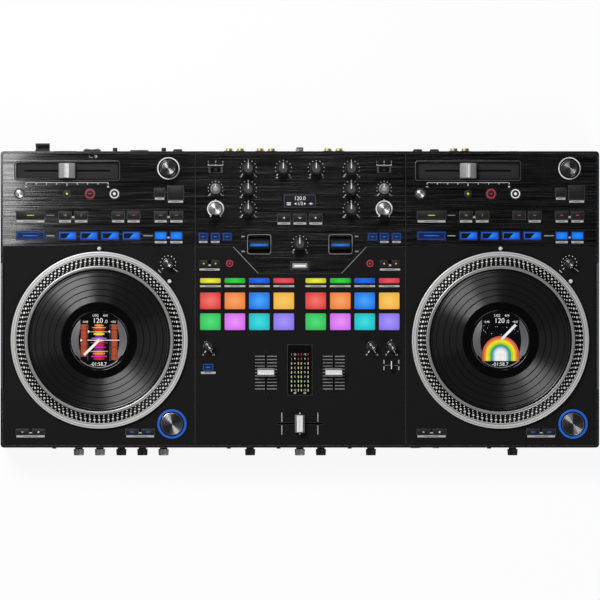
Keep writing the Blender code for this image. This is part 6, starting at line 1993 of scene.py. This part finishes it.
@dataclass
class PadBank:
    """All that one side of the pad field carries: pads, mode keys, parameter keys and small keys."""

    hand: Hand
    pad_rows: Spot = (-1.8, -27.5)
    mode_row: float = 23.1
    mode_size: Spot = (26.0, 6.9)
    small_row: float = 44.1
    cue: Spot = (86.5, 44.3)
    colours: tuple[tuple[Screen, Screen], ...] = (
        ((244, 122, 112), (218, 46, 48)), ((250, 168, 108), (238, 120, 44)), ((72, 172, 255), (20, 104, 226)),
        ((250, 206, 104), (238, 172, 52)), ((84, 226, 124), (44, 182, 84)), ((236, 152, 252), (204, 100, 230)),
        ((60, 228, 232), (18, 180, 190)), ((170, 152, 252), (130, 108, 232)),
    )
    mode_colours: tuple[tuple[Screen, Screen], ...] = (
        ((250, 248, 70), (186, 184, 20)), ((56, 226, 70), (14, 164, 36)), ((36, 118, 250), (10, 70, 200)),
        ((246, 90, 100), (200, 40, 54)),
    )

    def columns(self) -> list[float]:
        """Returns the columns of this side, from left to right."""
        return list(PAD_COLUMNS) if self.hand is Hand.RIGHT else [-x for x in reversed(PAD_COLUMNS)]

    def build(self) -> None:
        """Builds the bank."""
        node = f"{self.hand.value}_pads"
        places = [(x, y) for y in self.pad_rows for x in self.columns()]
        for number, (place, colours) in enumerate(zip(places, self.colours)):
            row, column = divmod(number, len(PAD_COLUMNS))
            finish = lit(f"pad_{row + 1}_{column + 1}", *colours, by_face=False)
            Pad(node, f"{node}_{number + 1}", place, finish).build(number == 0)
        for number, (x, colours) in enumerate(zip(self.columns(), self.mode_colours), 1):
            finish = lit(f"mode_{number}", *colours, by_face=False)
            Pad(node, f"{self.hand.value}_mode_{number}", (x, self.mode_row), finish, self.mode_size).build(False)
        self.small_keys(node)

    def small_keys(self, node: str) -> None:
        """Builds the parameter keys, the silent cue key and the echo key.

        Args:
            node: The bank's CAD node.
        """
        form, side = Form(), self.hand.side
        keys = [
            Key(side * SMALL_KEYS_X + dx, self.small_row, 10.2, 8.5, look)
            for dx, look in ((-7.45, KeyLook.AMBER_LEFT), (7.45, KeyLook.AMBER_RIGHT))
        ]
        if self.hand is Hand.LEFT:
            keys.append(Key(-112.9, -83.6, 13.1, 8.5, KeyLook.RING, 2.2))
        for key in (*keys, RoundKey(side * self.cue[0], self.cue[1], 4.75, RoundLook.CUE)):
            key.build(form)
        form.piece(f"{node}_small_keys", node, KEY_FINISHES, slot="key_black")


@dataclass
class Paddle:
    """An effect paddle in its frame: a barrel with a lit blade."""

    hand: Hand
    away: float = 50.1
    y: float = 67.92
    width: float = 24.0
    barrel: float = 7.75
    drop: float = -5.2
    tip: float = 13.0

    def section(self) -> list[Spot]:
        """Makes the side view: a barrel with the blade standing on it.

        Returns:
            The section's points.
        """
        radius, drop, tip = self.barrel, self.drop, self.tip
        angles = [math.radians(14 + (346 - 14) * step / 28) for step in range(29)]
        barrel = [(-radius * math.sin(angle), drop + radius * math.cos(angle)) for angle in angles]
        blade = (
            (1.05, 4.6), (1.0, tip - 1.0), (0.7, tip - 0.3), (0.2, tip), (-1.0, tip), (-1.9, tip - 0.3),
            (-2.4, tip - 1.0), (-2.7, 4.6),
        )
        return [*barrel, *blade]

    def build(self) -> None:
        """Builds the paddle in place of its CAD node, and a smooth frame round it."""
        x, node, form = self.hand.side * self.away, f"{self.hand.value}_effect_paddle", Form()
        form.loft([
            np.array([(along, across * share, self.drop + (up - self.drop) * share) for across, up in self.section()])
            for along, share in ((-12.0, 0.96), (-11.6, 1.0), (11.6, 1.0), (12.0, 0.96))
        ], 0)
        half = self.width / 2 - 0.3
        inner = half - 1.4
        top = ((-half, -0.7), (-inner, -2.3), (inner, -2.3), (half, -0.7), (inner, 0.9), (-inner, 0.9))
        form.flat(top, self.tip + LIFT, 1)
        form.loft([
            np.array([(-half, y, z), (half, y, z), (half, y - 0.03, z), (-half, y - 0.03, z)])
            for y, z in ((-2.55, self.tip - 1.4), (-2.2, self.tip - 0.1))
        ], 1)
        form.piece(f"{node}_blade", node, (KEY_BLACK, BLUE_BLADE), (x, self.y, TOP), (node,), "key_black")
        self.bezel(x)

    def bezel(self, x: float) -> None:
        """Builds the frame with its thin light edge and dark well.

        Args:
            x: The paddle's place along X.
        """
        steps = ((-0.1, 0.02), (-0.05, 0.95), (0.25, 1.15), (0.65, 1.15), (1.2, 1.05), (2.25, 1.05), (2.3, -5.0))
        rings = stepped((29.6, 24.8), 3.4, steps, ease=1.0, least=1.2, points=6)
        form = Form().loft(rings, [0, 0, 0, 1, 3, 2, 2, 2], (False, False))
        finishes = (CAP_DARK, INK_GREY, HOLE_BLACK, KEY_BLACK)
        form.piece(f"{self.hand.value}_paddle_frame", "chassis", finishes, (x, self.y, TOP))


@dataclass
class Mixer:
    """The mixer's plates with their marks, screen and meter."""

    meter: Spot = (0.0, -86.9)
    screen: Spot = (0.0, 121.2)
    screen_key_x: float = 19.6
    screen_key_y: float = 100.5
    assign_x: tuple[float, ...] = (89.6, 104.2, 119.1)
    switch_y: float = 159.8

    def keys(self) -> None:
        """Builds the keys of the upper plate."""
        signs = ((-1, KeyLook.LEFT_ARROW), (0, KeyLook.TURN_ARROW), (1, KeyLook.RIGHT_ARROW))
        keys = [Key(way * self.screen_key_x, self.screen_key_y, 15.2, 9.1, look) for way, look in signs]
        keys.append(Key(0, 41.5, 21.4, 8.9, KeyLook.SHIFT))
        keys += [Key(side * x, 77.3, 10.7, 8.9, KeyLook.RING) for side in (-1, 1) for x in self.assign_x]
        KeyBank("effect_keys", keys).build()

    def ends(self, form: Form, x: float, y: float, apart: float, texts: tuple[str, str], height: float = 1.7) -> None:
        """Prints the figures at both ends of a dial."""
        form.figures(texts[0], x - apart, y, height).figures(texts[1], x + apart, y, height)

    def dials(self, form: Form) -> None:
        """Prints the dials round the knobs.

        Args:
            form: The form to add to.
        """
        for side in (-1, 1):
            x = side * CHANNEL_X
            for y in KNOB_ROWS:
                ticks(form, x, y, 10.0)
                form.bar(x, y + 9.6, 0.9, 2.6)
                self.ends(form, x, y - 9.8, 9.4, ("-26", "+6"))
            x = side * TRIM_X
            ticks(form, x, TRIM_Y, 9.0)
            self.ends(form, x, 128.0, 8.8, ("-9", "+9"))
            form.arc(x, FILTER_Y, 9.6, 1.5, -57, 237)
            form.bar(x, 122.4, 1.0, 1.6)
            for way in (-1, 1):
                form.stroke((x + way * 5.4, 103.4), (x + way * 6.8, 102.0), 1.2)
            x = side * LEVEL_X
            ticks(form, x, KNOB_ROWS[0], 9.9)
            form.figures("0", x + 8.4, 150.2, 1.8).figures("-60", x - 8.4, 150.2, 1.7)
        ticks(form, 0, EFFECT_KNOB_Y, 9.9)
        form.figures("0", -8.4, 57.6, 1.8).figures("10", 8.6, 57.6, 1.8)

    def switch_marks(self, form: Form) -> None:
        """Prints the scales of the input switches and the words at the paddles.

        Args:
            form: The form to add to.
        """
        for side in (-1, 1):
            x, y = side * TRIM_X, self.switch_y
            form.bar(x, y, 17.4, 7.8, INK, Ink.PLATE).bar(x, y, 12.6, 7.0, INK + LIFT, Ink.GAP)
            for offset in (-9.0, 0.0, 9.0):
                form.bar(x + offset, 166.0, 0.7, 1.6)
            form.bar(x - 4.5, 165.4, 8.4, 0.5).bar(x + 4.5, 165.4, 8.4, 0.5)
            for text, offset in (("1", -9.0), ("0", 0.0), ("2", 9.0)):
                form.figures(text, x + offset, 169.6, 2.0)
            for y in (77.6, 59.2):
                form.figures("ON", side * 70.0, y, 1.8)

    def upper_print(self) -> None:
        """Prints the upper plate."""
        form = Form()
        self.dials(form)
        self.switch_marks(form)
        for way in (-1, 0, 1):
            chip(form, way * self.screen_key_x, 93.6, 15.6)
        for side, places in ((-1, (119.1, 104.2)), (1, (104.2, 119.1))):
            for x in places:
                chip(form, side * x, 70.9, 10.4, 2.3)
        form.piece("mixer_upper_print", "chassis", (*PRINT_FINISHES, CAP_DARK))

    def fader_scales(self, form: Form) -> None:
        """Prints the channel faders' rungs, and the marks and chips of the pads and their keys.

        Args:
            form: The form to add to.
        """
        for side in (-1, 1):
            for i in range(11):
                for way in (-1, 1):
                    x, y = side * FADER[0] + way * 7.4, -70.1 - i * 4.02
                    form.bar(x, y, 12.1, 1.0 if i % 5 else 1.15, finish=Ink.FAINT)
            centre = side * SMALL_KEYS_X
            form.bar(centre, 44.6, 3.4, 7.2, INK, Ink.GAP).bar(centre, 42.2, 2.8, 2.2, INK + 0.01, Ink.GREY)
            chip(form, centre, 36.9, 25.0, 2.4)
            for column in PAD_COLUMNS:
                chip(form, side * column, 16.4, 25.6, 2.3)

    def lower_print(self) -> None:
        """Prints the lower panel."""
        form = Form()
        self.fader_scales(form)
        for x in (SAMPLER_X, *PHONES_X):
            for way in (-1, 1):
                form.stroke((x + way * 2.9, -63.3), (x + way * 4.6, -65.7), 1.0)
            self.ends(form, x, -68.2, 6.3, ("0", "10"), 2.3)
        form.bar(PHONES_X[1], -50.2, 0.7, 1.6)
        chip(form, -112.9, -90.4, 18.0, 2.7)
        form.bar(CUE_SLIDER[0], -81.2, 15.8, 0.5, finish=Ink.FAINT)
        for places, width, depth, rows in (
            ((103.7, 121.9), 1.2, 4.6, (-76.9, -84.6)), ((-22.2, 22.2), 1.0, 11.4, (-145.1, -160.9)),
        ):
            for x in places:
                for y in rows:
                    form.bar(x, y, width, depth, finish=Ink.GREY)
        form.bar(0, -140.4, 1.2, 1.8).bar(0, -165.6, 1.2, 1.8)
        form.piece("mixer_lower_print", "chassis", PRINT_FINISHES)

    def slots(self) -> None:
        """Lines the fader slots with dark sleeves and thin raised lips."""
        form = Form()
        steps = ((0.0, TOP + 0.02), (0.15, TOP + 0.16), (0.4, TOP + 0.16), (0.5, TOP - 1.8))
        for at, size in (
            ((-FADER[0], FADER[1]), (2.9, 53.2)), (FADER, (2.9, 53.2)), (CROSSFADER, (57.2, 2.9)),
            (CUE_SLIDER, (16.6, 2.6)),
        ):
            form.loft(stepped(size, 0.8, steps, at, ease=0.4), [0, 0, 0, 1, 1], (False, True))
        form.piece("fader_slots", "chassis", (SOCKET_BLACK, HOLE_BLACK))

    def level_meter(self) -> None:
        """Builds the level meter's frame, window, lights and numbers."""
        form, z, number_x = Form(), WINDOW_Z, 6.1
        steps = ((0.0, TOP + 0.02), (0.15, TOP + 0.5), (0.45, TOP + 0.56), (0.6, TOP + 0.46))
        form.loft(stepped((30.9, 62.5), 1.0, steps, self.meter), 0, (False, False))
        form.plate(shifted(rounded(29.7, 61.3, 0.8, z), *self.meter), 1)
        for row in range(9):
            y, finish = -67.8 - row * 5.51, 2 if row < 2 else 3 if row < 5 else 4
            for dx in (-10.2, -1.83, 1.83, 10.2):
                form.bar(dx, y, 1.15, 2.9, z + LIFT, finish)
            for dx in (-number_x, number_x):
                form.figures(str(abs(12 - row * 3)), dx, y, 2.4, z + LIFT, 5)
        for dx in (-number_x, number_x):
            form.figures("dB", dx, -115.4, 2.2, z + LIFT, 5)
        parts = (METER_FRAME, GLASS_BLACK, METER_RED, METER_AMBER, METER_GREEN, INK_WHITE)
        form.piece("level_meter_lights", "chassis", parts)

    def effect_screen(self) -> None:
        """Builds the effects screen with generic figures."""
        form, z, white = Form(), WINDOW_Z + LIFT, 2
        steps = ((0.0, TOP + 0.02), (0.2, TOP + 0.7), (0.6, TOP + 0.75), (0.8, TOP + 0.46))
        form.loft(stepped((39.3, 15.9), 1.0, steps, self.screen), 0, (False, False))
        form.plate(shifted(rounded(37.7, 14.3, 0.6, WINDOW_Z), *self.screen), 1)
        upper, lower = self.screen[1] + 3.2, self.screen[1] - 3.2
        form.figures("120.0", 0.0, upper, 4.6, z, white).figures("1/2", 0.4, lower, 4.0, z, white)
        for way in (-1, 1):
            tip = [(0.4 + way * 7.2, lower), (0.4 + way * 4.8, lower + 1.5), (0.4 + way * 4.8, lower - 1.5)]
            form.flat(tip[::-way], z, white)
        for row in (0.0, 2.2):
            form.bar(-13.6, self.screen[1] - 2.2 - row, 5.6 - row * 0.4, 1.1, z, white)
        form.bar(13.6, lower, 4.8, 0.7, z, white).bar(13.6, lower, 0.8, 2.8, z + 0.01, white)
        form.piece("effect_screen_window", "chassis", (LIP_METAL, GLASS_VIOLET, Hue.WHITE.finish()))

    def cue_slider(self) -> None:
        """Builds the headphone cue slider's bright handle in place of its CAD node."""
        node, form = "phones_cue_slider", Form()
        form.loft(stepped((3.0, 11.8), 0.5, ((0.0, 1.2), (0.15, 5.8), (0.45, 7.0), (0.9, 7.5))), 0)
        form.loft([rounded(1.2, 3.0, 0.3, z) for z in (-2.6, 1.4)], 1)
        form.loft([rounded(7.0, 7.0, 0.4, z) for z in (-3.3, -2.4)], 1)
        form.bar(0, 0, 1.0, 9.8, 7.52, 2)
        finishes = (CAP_DARK, SOCKET_BLACK, CAP_LINE)
        form.piece(f"{node}_handle", node, finishes, (*CUE_SLIDER, TOP), (node,), "cap_silver")

    def build(self) -> None:
        """Builds the mixer's dressing."""
        dress("mixer_fascia", PLATE_BLACK)
        dress("mixer_panel", PANEL_MATT)
        for hand in Hand:
            dress(f"{hand.value}_input_switch", KEY_BLACK)
        self.keys()
        self.upper_print()
        self.lower_print()
        self.slots()
        self.level_meter()
        self.effect_screen()
        self.cue_slider()


# Added to a place along a wall, so the number in a piece's name is never below zero.
NAME_OFFSET = 400
WALL_Y = 182.7


def facing(x: float, rear: bool, z: float = 28.0) -> Matrix:
    """Returns the matrix that stands a form built along +Z on the rear or the front wall.

    Args:
        x: Place along the wall.
        rear: Whether it is the rear wall.
        z: Height above the floor.

    Returns:
        The matrix, in millimetres.
    """
    way = 1 if rear else -1
    return Matrix.Translation((x, way * WALL_Y, z)) @ Matrix.Rotation(-way * math.pi / 2, 4, "X")


def on_wall(form: Form, name: str, x: float, rear: bool, *finishes: Finish) -> None:
    """Stands a form on the rear or the front wall, as a piece of the chassis."""
    Form().merge(form, facing(x, rear)).piece(name, "chassis", finishes)


@dataclass
class RearSockets:
    """The sockets and switches in the rear wall, over the CAD rail that carries them."""

    phonos: tuple[float, ...] = (-87.6, -73.5, -49.1, -35.0, 34.8, 48.7, 190.3, 204.5)
    jacks: tuple[float, ...] = (-151.0, 145.6, 166.3)
    trimmers: Spot = (-228.5, -168.2)
    computers: Spot = (240.0, 263.8)
    microphone: float = -198.3
    terminal: float = -0.4
    mains: float = -289.7

    def phono(self) -> Form:
        """Builds a gold phono socket: an insulating washer, a barrel and the white core.

        Returns:
            The form, standing along +Z.
        """
        form = Form()
        form.turned(((6.2, 0.05), (6.2, 0.7), (5.9, 1.0), (4.2, 1.0), (4.2, 0.05)), 40, 1)
        form.turned(((4.25, 0.2), (4.25, 3.7), (4.0, 4.0), (3.3, 4.0), (3.2, 3.8), (3.2, -6.0), (3.6, -6.0)), 40, 0)
        return form.loft(
            [circle(3.2, -1.0, 32), circle(1.6, -1.0, 32), circle(1.6, -5.0, 32)], [2, 2, 3, 3], (False, False),
        )

    def jack(self) -> Form:
        """Builds a jack socket with its nut.

        Returns:
            The form, standing along +Z.
        """
        form = Form()
        form.loft([circle(5.9, z, 6) for z in (0.05, 1.4)] + [circle(5.5, 1.8, 6)], 1)
        return form.turned(
            ((5.15, 0.2), (5.15, 2.8), (4.9, 3.0), (3.5, 3.0), (3.3, 2.7), (3.3, -6.0), (3.6, -6.0)), 40, 0,
        )

    def trimmer(self) -> Form:
        """Builds a small slotted trimmer knob.

        Returns:
            The form, standing along +Z.
        """
        form = Form()
        form.loft([fluted(2.8, 0.2, 0.2, 12, 48), fluted(2.8, 4.3, 0.2, 12, 48), circle(2.4, 4.7, 48)], 0)
        return form.bar(0, 1.0, 0.5, 2.2, 4.72, 1)

    def build(self) -> None:
        """Builds what stands proud of the rear wall."""
        dress("rear_sockets", SOCKET_BLACK)
        dress("power_switch", KNOB_GREY)
        dress("cable_hook", SOCKET_BLACK)
        gold = (GOLD, SOCKET_BLACK, INK_WHITE, HOLE_BLACK)
        for x in self.phonos:
            on_wall(self.phono(), f"phono_socket_{round(x + NAME_OFFSET)}", x, True, *gold)
        for x in self.jacks:
            on_wall(self.jack(), f"jack_nut_{round(x + NAME_OFFSET)}", x, True, SOCKET_BLACK, KNOB_RUBBER)
        for x in self.trimmers:
            on_wall(self.trimmer(), f"trimmer_knob_{round(x + NAME_OFFSET)}", x, True, KNOB_RUBBER, INK_WHITE)
        self.combo()
        self.ground()
        self.inlet()
        self.usb()

    def combo(self) -> None:
        """Builds the microphone socket's face with its latch and contact holes."""
        profile = ((11.3, 0.05), (11.3, 1.4), (11.0, 1.8), (9.8, 1.8), (9.5, 1.5), (3.3, 1.5), (3.3, -6.0), (3.6, -6.0))
        face = Form().turned(profile, 64)
        for angle in (90, 210, 330):
            c, s = math.cos(math.radians(angle)), math.sin(math.radians(angle))
            face.dot(6.4 * c, 6.4 * s, 1.1, 1.53, 1)
        face.loft([shifted(rounded(5.0, 2.6, 0.6, z), 0, 9.4) for z in (0.5, 2.1)], 2)
        on_wall(face, "microphone_face", self.microphone, True, SOCKET_BLACK, HOLE_BLACK, NICKEL)

    def ground(self) -> None:
        """Builds the ground terminal: a knurled nut on a threaded stud."""
        knurl = [fluted(4.7, z, 0.25, 32) for z in (0.5, 3.4)]
        stud = [circle(radius, z, 96) for radius, z in ((4.2, 3.8), (2.0, 3.9), (1.9, 4.9), (1.6, 5.1))]
        on_wall(Form().loft([circle(4.6, 0.2, 96), *knurl, *stud]), "ground_nut", self.terminal, True, NICKEL)

    def inlet(self) -> None:
        """Builds the mains inlet's flange and pins."""
        plug = Form()
        outer = [rounded(27.0, 19.5, 2.6, z, 5) for z in (0.05, 0.5)]
        inner = [rounded(23.6, 16.1, 3.6, 0.55, 5), rounded(23.6, 16.1, 3.6, -14.0, 5)]
        plug.loft([*outer, rounded(26.2, 18.7, 2.4, 0.58, 5), *inner], [0, 0, 0, 0, 1, 1], (False, True))
        for x, y in ((-7.0, -2.0), (0.0, 3.0), (7.0, -2.0)):
            plug.loft([shifted(rounded(1.9, 4.0, 0.3, z), x, y) for z in (-13.9, -2.0)], 2)
        on_wall(plug, "mains_inlet_face", self.mains, True, SOCKET_BLACK, HOLE_BLACK, NICKEL)

    def usb(self) -> None:
        """Builds the shells of the two computer sockets."""
        for number, x in enumerate(self.computers):
            outer = [rounded(12.0, 10.8, 1.2, z) for z in (0.1, 0.58)]
            inner = [rounded(10.8, 9.6, 0.9, z) for z in (0.58, -9.0)]
            shell = Form().loft([*outer, *inner], [0, 0, 0, 0, 1], (False, True))
            shell.loft([rounded(6.4, 3.0, 0.3, z) for z in (-8.9, -1.0)], 2)
            on_wall(shell, f"computer_socket_{number + 1}", x, True, NICKEL, HOLE_BLACK, INK_WHITE)


@dataclass
class FrontControls:
    """The knobs, switches and headphone sockets in the front wall."""

    greys: tuple[float, ...] = (-273.1, -247.1, -168.4, 0.0)
    blacks: tuple[float, ...] = (-220.7, -194.5, -61.5, 26.0, 87.8, 262.9)
    switches: tuple[float, ...] = (-303.3, -87.9, -26.4, 61.5, 233.7)
    phones: tuple[tuple[float, float, float], ...] = ((142.8, 6.3, 3.2), (168.1, 4.2, 1.8))

    def knob(self) -> Form:
        """Builds a push knob: a collar, a fluted body with sloping shoulders, and a line.

        Returns:
            The form, standing along +Z.
        """
        collar = [circle(radius, z, 96) for radius, z in ((4.65, 0.05), (4.65, 2.3), (6.0, 2.3), (6.3, 2.6))]
        grip = [fluted(6.3, 3.4, 0.22, 24), fluted(6.15, 7.8, 0.22, 24)]
        crown = [circle(radius, z, 96) for radius, z in ((5.9, 9.3), (5.5, 9.9), (5.2, 10.0))]
        form = Form().loft([*collar, *grip, *crown], [1, 1, 1, 0, 0, 0, 0, 0, 0, 0])
        form.loft([
            np.array([(-0.4, y, z), (0.4, y, z), (0.4, y + 0.15, z + 0.02), (-0.4, y + 0.15, z + 0.02)])
            for y, z in ((6.15, 2.8), (6.28, 4.0), (6.1, 8.6))
        ], 2)
        return form.bar(0, 3.2, 0.9, 4.2, 9.995, 2)

    def build(self) -> None:
        """Builds what stands proud of the front wall."""
        dress("front_controls", KEY_BLACK)
        for x in (*self.greys, *self.blacks):
            form = Form().merge(self.knob(), facing(x, False) @ Matrix.Rotation(math.pi, 4, "Z"))
            body = KNOB_GREY if x in self.greys else KNOB_RUBBER
            form.piece(f"front_knob_{round(x + NAME_OFFSET)}", "chassis", (body, SOCKET_BLACK, INK_WHITE))
        for x, radius, hole in self.phones:
            lip = ((radius, 0.05), (radius, 0.8), (radius - 0.4, 1.2), (hole + 0.3, 1.2))
            bore = ((hole, 0.9), (hole, -7.0), (hole + 0.2, -7.0))
            on_wall(Form().turned((*lip, *bore), 48), f"phones_socket_{round(x)}", x, False, NICKEL)
        form = Form()
        rings = [rounded(13.0, 6.0, 0.8, 0.06), rounded(13.0, 6.0, 0.8, 0.2), rounded(11.6, 4.8, 0.5, 0.2)]
        slot = Form().loft(rings, [0, 0, 1, 1], (False, False))
        for x in self.switches:
            form.merge(slot, facing(x, False))
        form.piece("front_switch_frames", "chassis", (KEY_BLACK, HOLE_BLACK))


@dataclass
class Case:
    """The case, its feet, its grips and what shows underneath."""

    foot_x: tuple[float, ...] = (-335.0, 0.0, 335.0)
    foot_y: Spot = (148.7, -148.7)

    def foot_rubbers(self) -> None:
        """Builds a ribbed rubber sleeve round each foot."""
        profile = (
            (14.4, 5.9), (14.5, 4.6), (14.1, 4.2), (13.9, 3.2), (13.5, 2.9), (13.2, 1.6), (12.6, 0.5), (12.0, 0.05),
            (6.0, 0.05), (5.6, 0.8), (0.01, 0.8),
        )
        places = [(x, y, 0.0) for y in self.foot_y for x in self.foot_x]
        for number, at in enumerate(places, 1):
            Form().turned(profile, 56, loop=False).piece(f"foot_rubber_{number}", "chassis", (RUBBER,), at)

    def screws(self) -> None:
        """Sets cross-headed screws in the underside."""
        head = Form()
        head.loft([circle(3.1, 0.0, 32), circle(3.1, 0.35, 32), circle(2.6, 0.75, 32)], 0, (False, True))
        # The cross is drawn as dark bars on the flat head: painted shade in place of the recess.
        head.bar(0, 0, 3.2, 0.7, 0.78, 1).bar(0, 0, 0.7, 3.2, 0.79, 1)
        form, down, floor = Form(), Matrix.Rotation(math.pi, 4, "X"), 6.0
        long_sides = [(x, y) for x in (-300.0, -180.0, -60.0, 60.0, 180.0, 300.0) for y in (-168.0, 168.0)]
        short_sides = [(x, y) for x in (-352.0, 352.0) for y in (-60.0, 60.0)]
        for place in (*long_sides, *short_sides):
            form.merge(head, Matrix.Translation((*place, floor)) @ down)
        form.piece("base_screws", "chassis", (NICKEL, HOLE_BLACK))

    def grip_trim(self) -> None:
        """Builds the bar over each hand grip, and beside it a dark line that paints the shadow of the recess wall."""
        for hand in Hand:
            side, y = hand.side, -32.7
            steps = ((0.0, TOP + 0.02), (0.1, TOP + 0.3), (0.5, TOP + 0.5))
            rings = stepped((3.0, 155.0), 1.2, steps, (side * 367.4, y), ease=1.0, points=5)
            # The flat dark bar inside the grip bar is painted shadow of the recess wall.
            form = Form().loft(rings, 0, (False, True)).bar(side * 364.9, y, 1.4, 155.4, INK, 1)
            form.piece(f"{hand.value}_grip_bar", "chassis", (CAP_DARK, HOLE_BLACK))

    def seams(self) -> None:
        """Draws the dark gaps of the seams between the plates, each with a lighter line that paints the highlight on a
        plate's edge.
        """
        form = Form()
        for x in (-129.8, 129.8):
            form.bar(x, 0.0, 0.5, 359.0, TOP - 0.3)
            # A lighter line on the right of each long seam: painted highlight on the plate's edge.
            form.bar(x + 0.75, 0.0, 0.35, 359.0, INK - 0.03, 1)
        for side in (-1, 1):
            form.bar(side * 248.0, 65.4, 235.0, 0.5, TOP - 0.3)
            corners = ((side * 129.4, 64.9), (side * 82.2, 64.9), (side * 51.4, 32.2), (0.0, 32.2))
            for number, (start, end) in enumerate(zip(corners, corners[1:])):
                # The diagonal stroke is lighter than the others: painted highlight where that edge faces the light.
                form.stroke(start, end, 0.45, INK, 3 if number == 1 else 1)
        border = stepped((737.2, 364.6), 3.3, ((0.0, TOP + 0.03), (2.0, TOP + 0.03)), ease=0.5, points=6)
        form.loft(border, 2, (False, False))
        form.piece("plate_seams", "chassis", (HOLE_BLACK, CAP_DARK, RIM_METAL, INK_GREY))

    def build(self) -> None:
        """Dresses the case."""
        dress("bottom_case", CASE_BLACK)
        dress("main_board", BOARD_GREEN)
        dress("power_supply", CAN_STEEL)
        self.foot_rubbers()
        self.screws()
        self.grip_trim()
        self.seams()


KNOBS = (
    ("booth_level", -LEVEL_X, KNOB_ROWS[0], KnobLook.TONE), ("master_level", LEVEL_X, KNOB_ROWS[0], KnobLook.TONE),
    ("effect_depth", 0.0, EFFECT_KNOB_Y, KnobLook.TONE), ("sampler_volume", SAMPLER_X, SMALL_KNOB_Y, KnobLook.SMALL),
    ("phones_level", PHONES_X[0], SMALL_KNOB_Y, KnobLook.SMALL),
    ("phones_mix", PHONES_X[1], SMALL_KNOB_Y, KnobLook.SMALL),
)
CHANNEL_KNOBS = (
    ("high", CHANNEL_X, KNOB_ROWS[0], KnobLook.TONE), ("mid", CHANNEL_X, KNOB_ROWS[1], KnobLook.TONE),
    ("low", CHANNEL_X, KNOB_ROWS[2], KnobLook.TONE), ("trim", TRIM_X, TRIM_Y, KnobLook.TRIM),
    ("filter", TRIM_X, FILTER_Y, KnobLook.FILTER),
)
DECK_KNOBS = (("selector", *SELECTOR, KnobLook.SELECTOR), ("stop_time", *STOP_TIME, KnobLook.STOP))


def build_knobs() -> None:
    """Builds every knob on the top of the case."""
    for name, x, y, look in KNOBS:
        Knob(f"{name}_knob", (x, y), look).build()
    for hand in Hand:
        for name, x, y, look in CHANNEL_KNOBS:
            slot = "knob_grey" if look is KnobLook.TRIM else "knob_black"
            Knob(f"{hand.value}_{name}_knob", (hand.side * x, y), look, slot).build()
        for name, x, y, look in DECK_KNOBS:
            Knob(f"{hand.value}_{name}_knob", (hand.deck_x + x, y), look).build()


def build_faders() -> None:
    """Builds the five fader caps."""
    FaderCap("crossfader_cap", CROSSFADER, 21.7, 12.1, 12.5, Travel.ACROSS, 0.3).build()
    for hand in Hand:
        channel, tempo = (hand.side * FADER[0], FADER[1]), (hand.deck_x + TEMPO[0], TEMPO[1])
        FaderCap(f"{hand.value}_channel_cap", channel, 21.4, 10.7, 12.5, Travel.UP).build()
        FaderCap(f"{hand.value}_tempo_cap", tempo, 18.5, 20.5, 11.5, Travel.ACROSS, 0.14, CAP_METAL).build()


def main() -> None:
    """Builds the studio and every part of the controller's looks."""
    logging.basicConfig(level=logging.INFO, format="%(message)s")
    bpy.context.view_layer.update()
    Studio().build()
    Case().build()
    for hand in Hand:
        Deck(hand).build()
        Platter(hand).build()
        Record(hand).build()
        JogDisplay(hand).build()
        StartButton(hand).build()
        PadBank(hand).build()
        Paddle(hand).build()
    Mixer().build()
    build_knobs()
    build_faders()
    RearSockets().build()
    FrontControls().build()


if __name__ == "__main__":
    main()
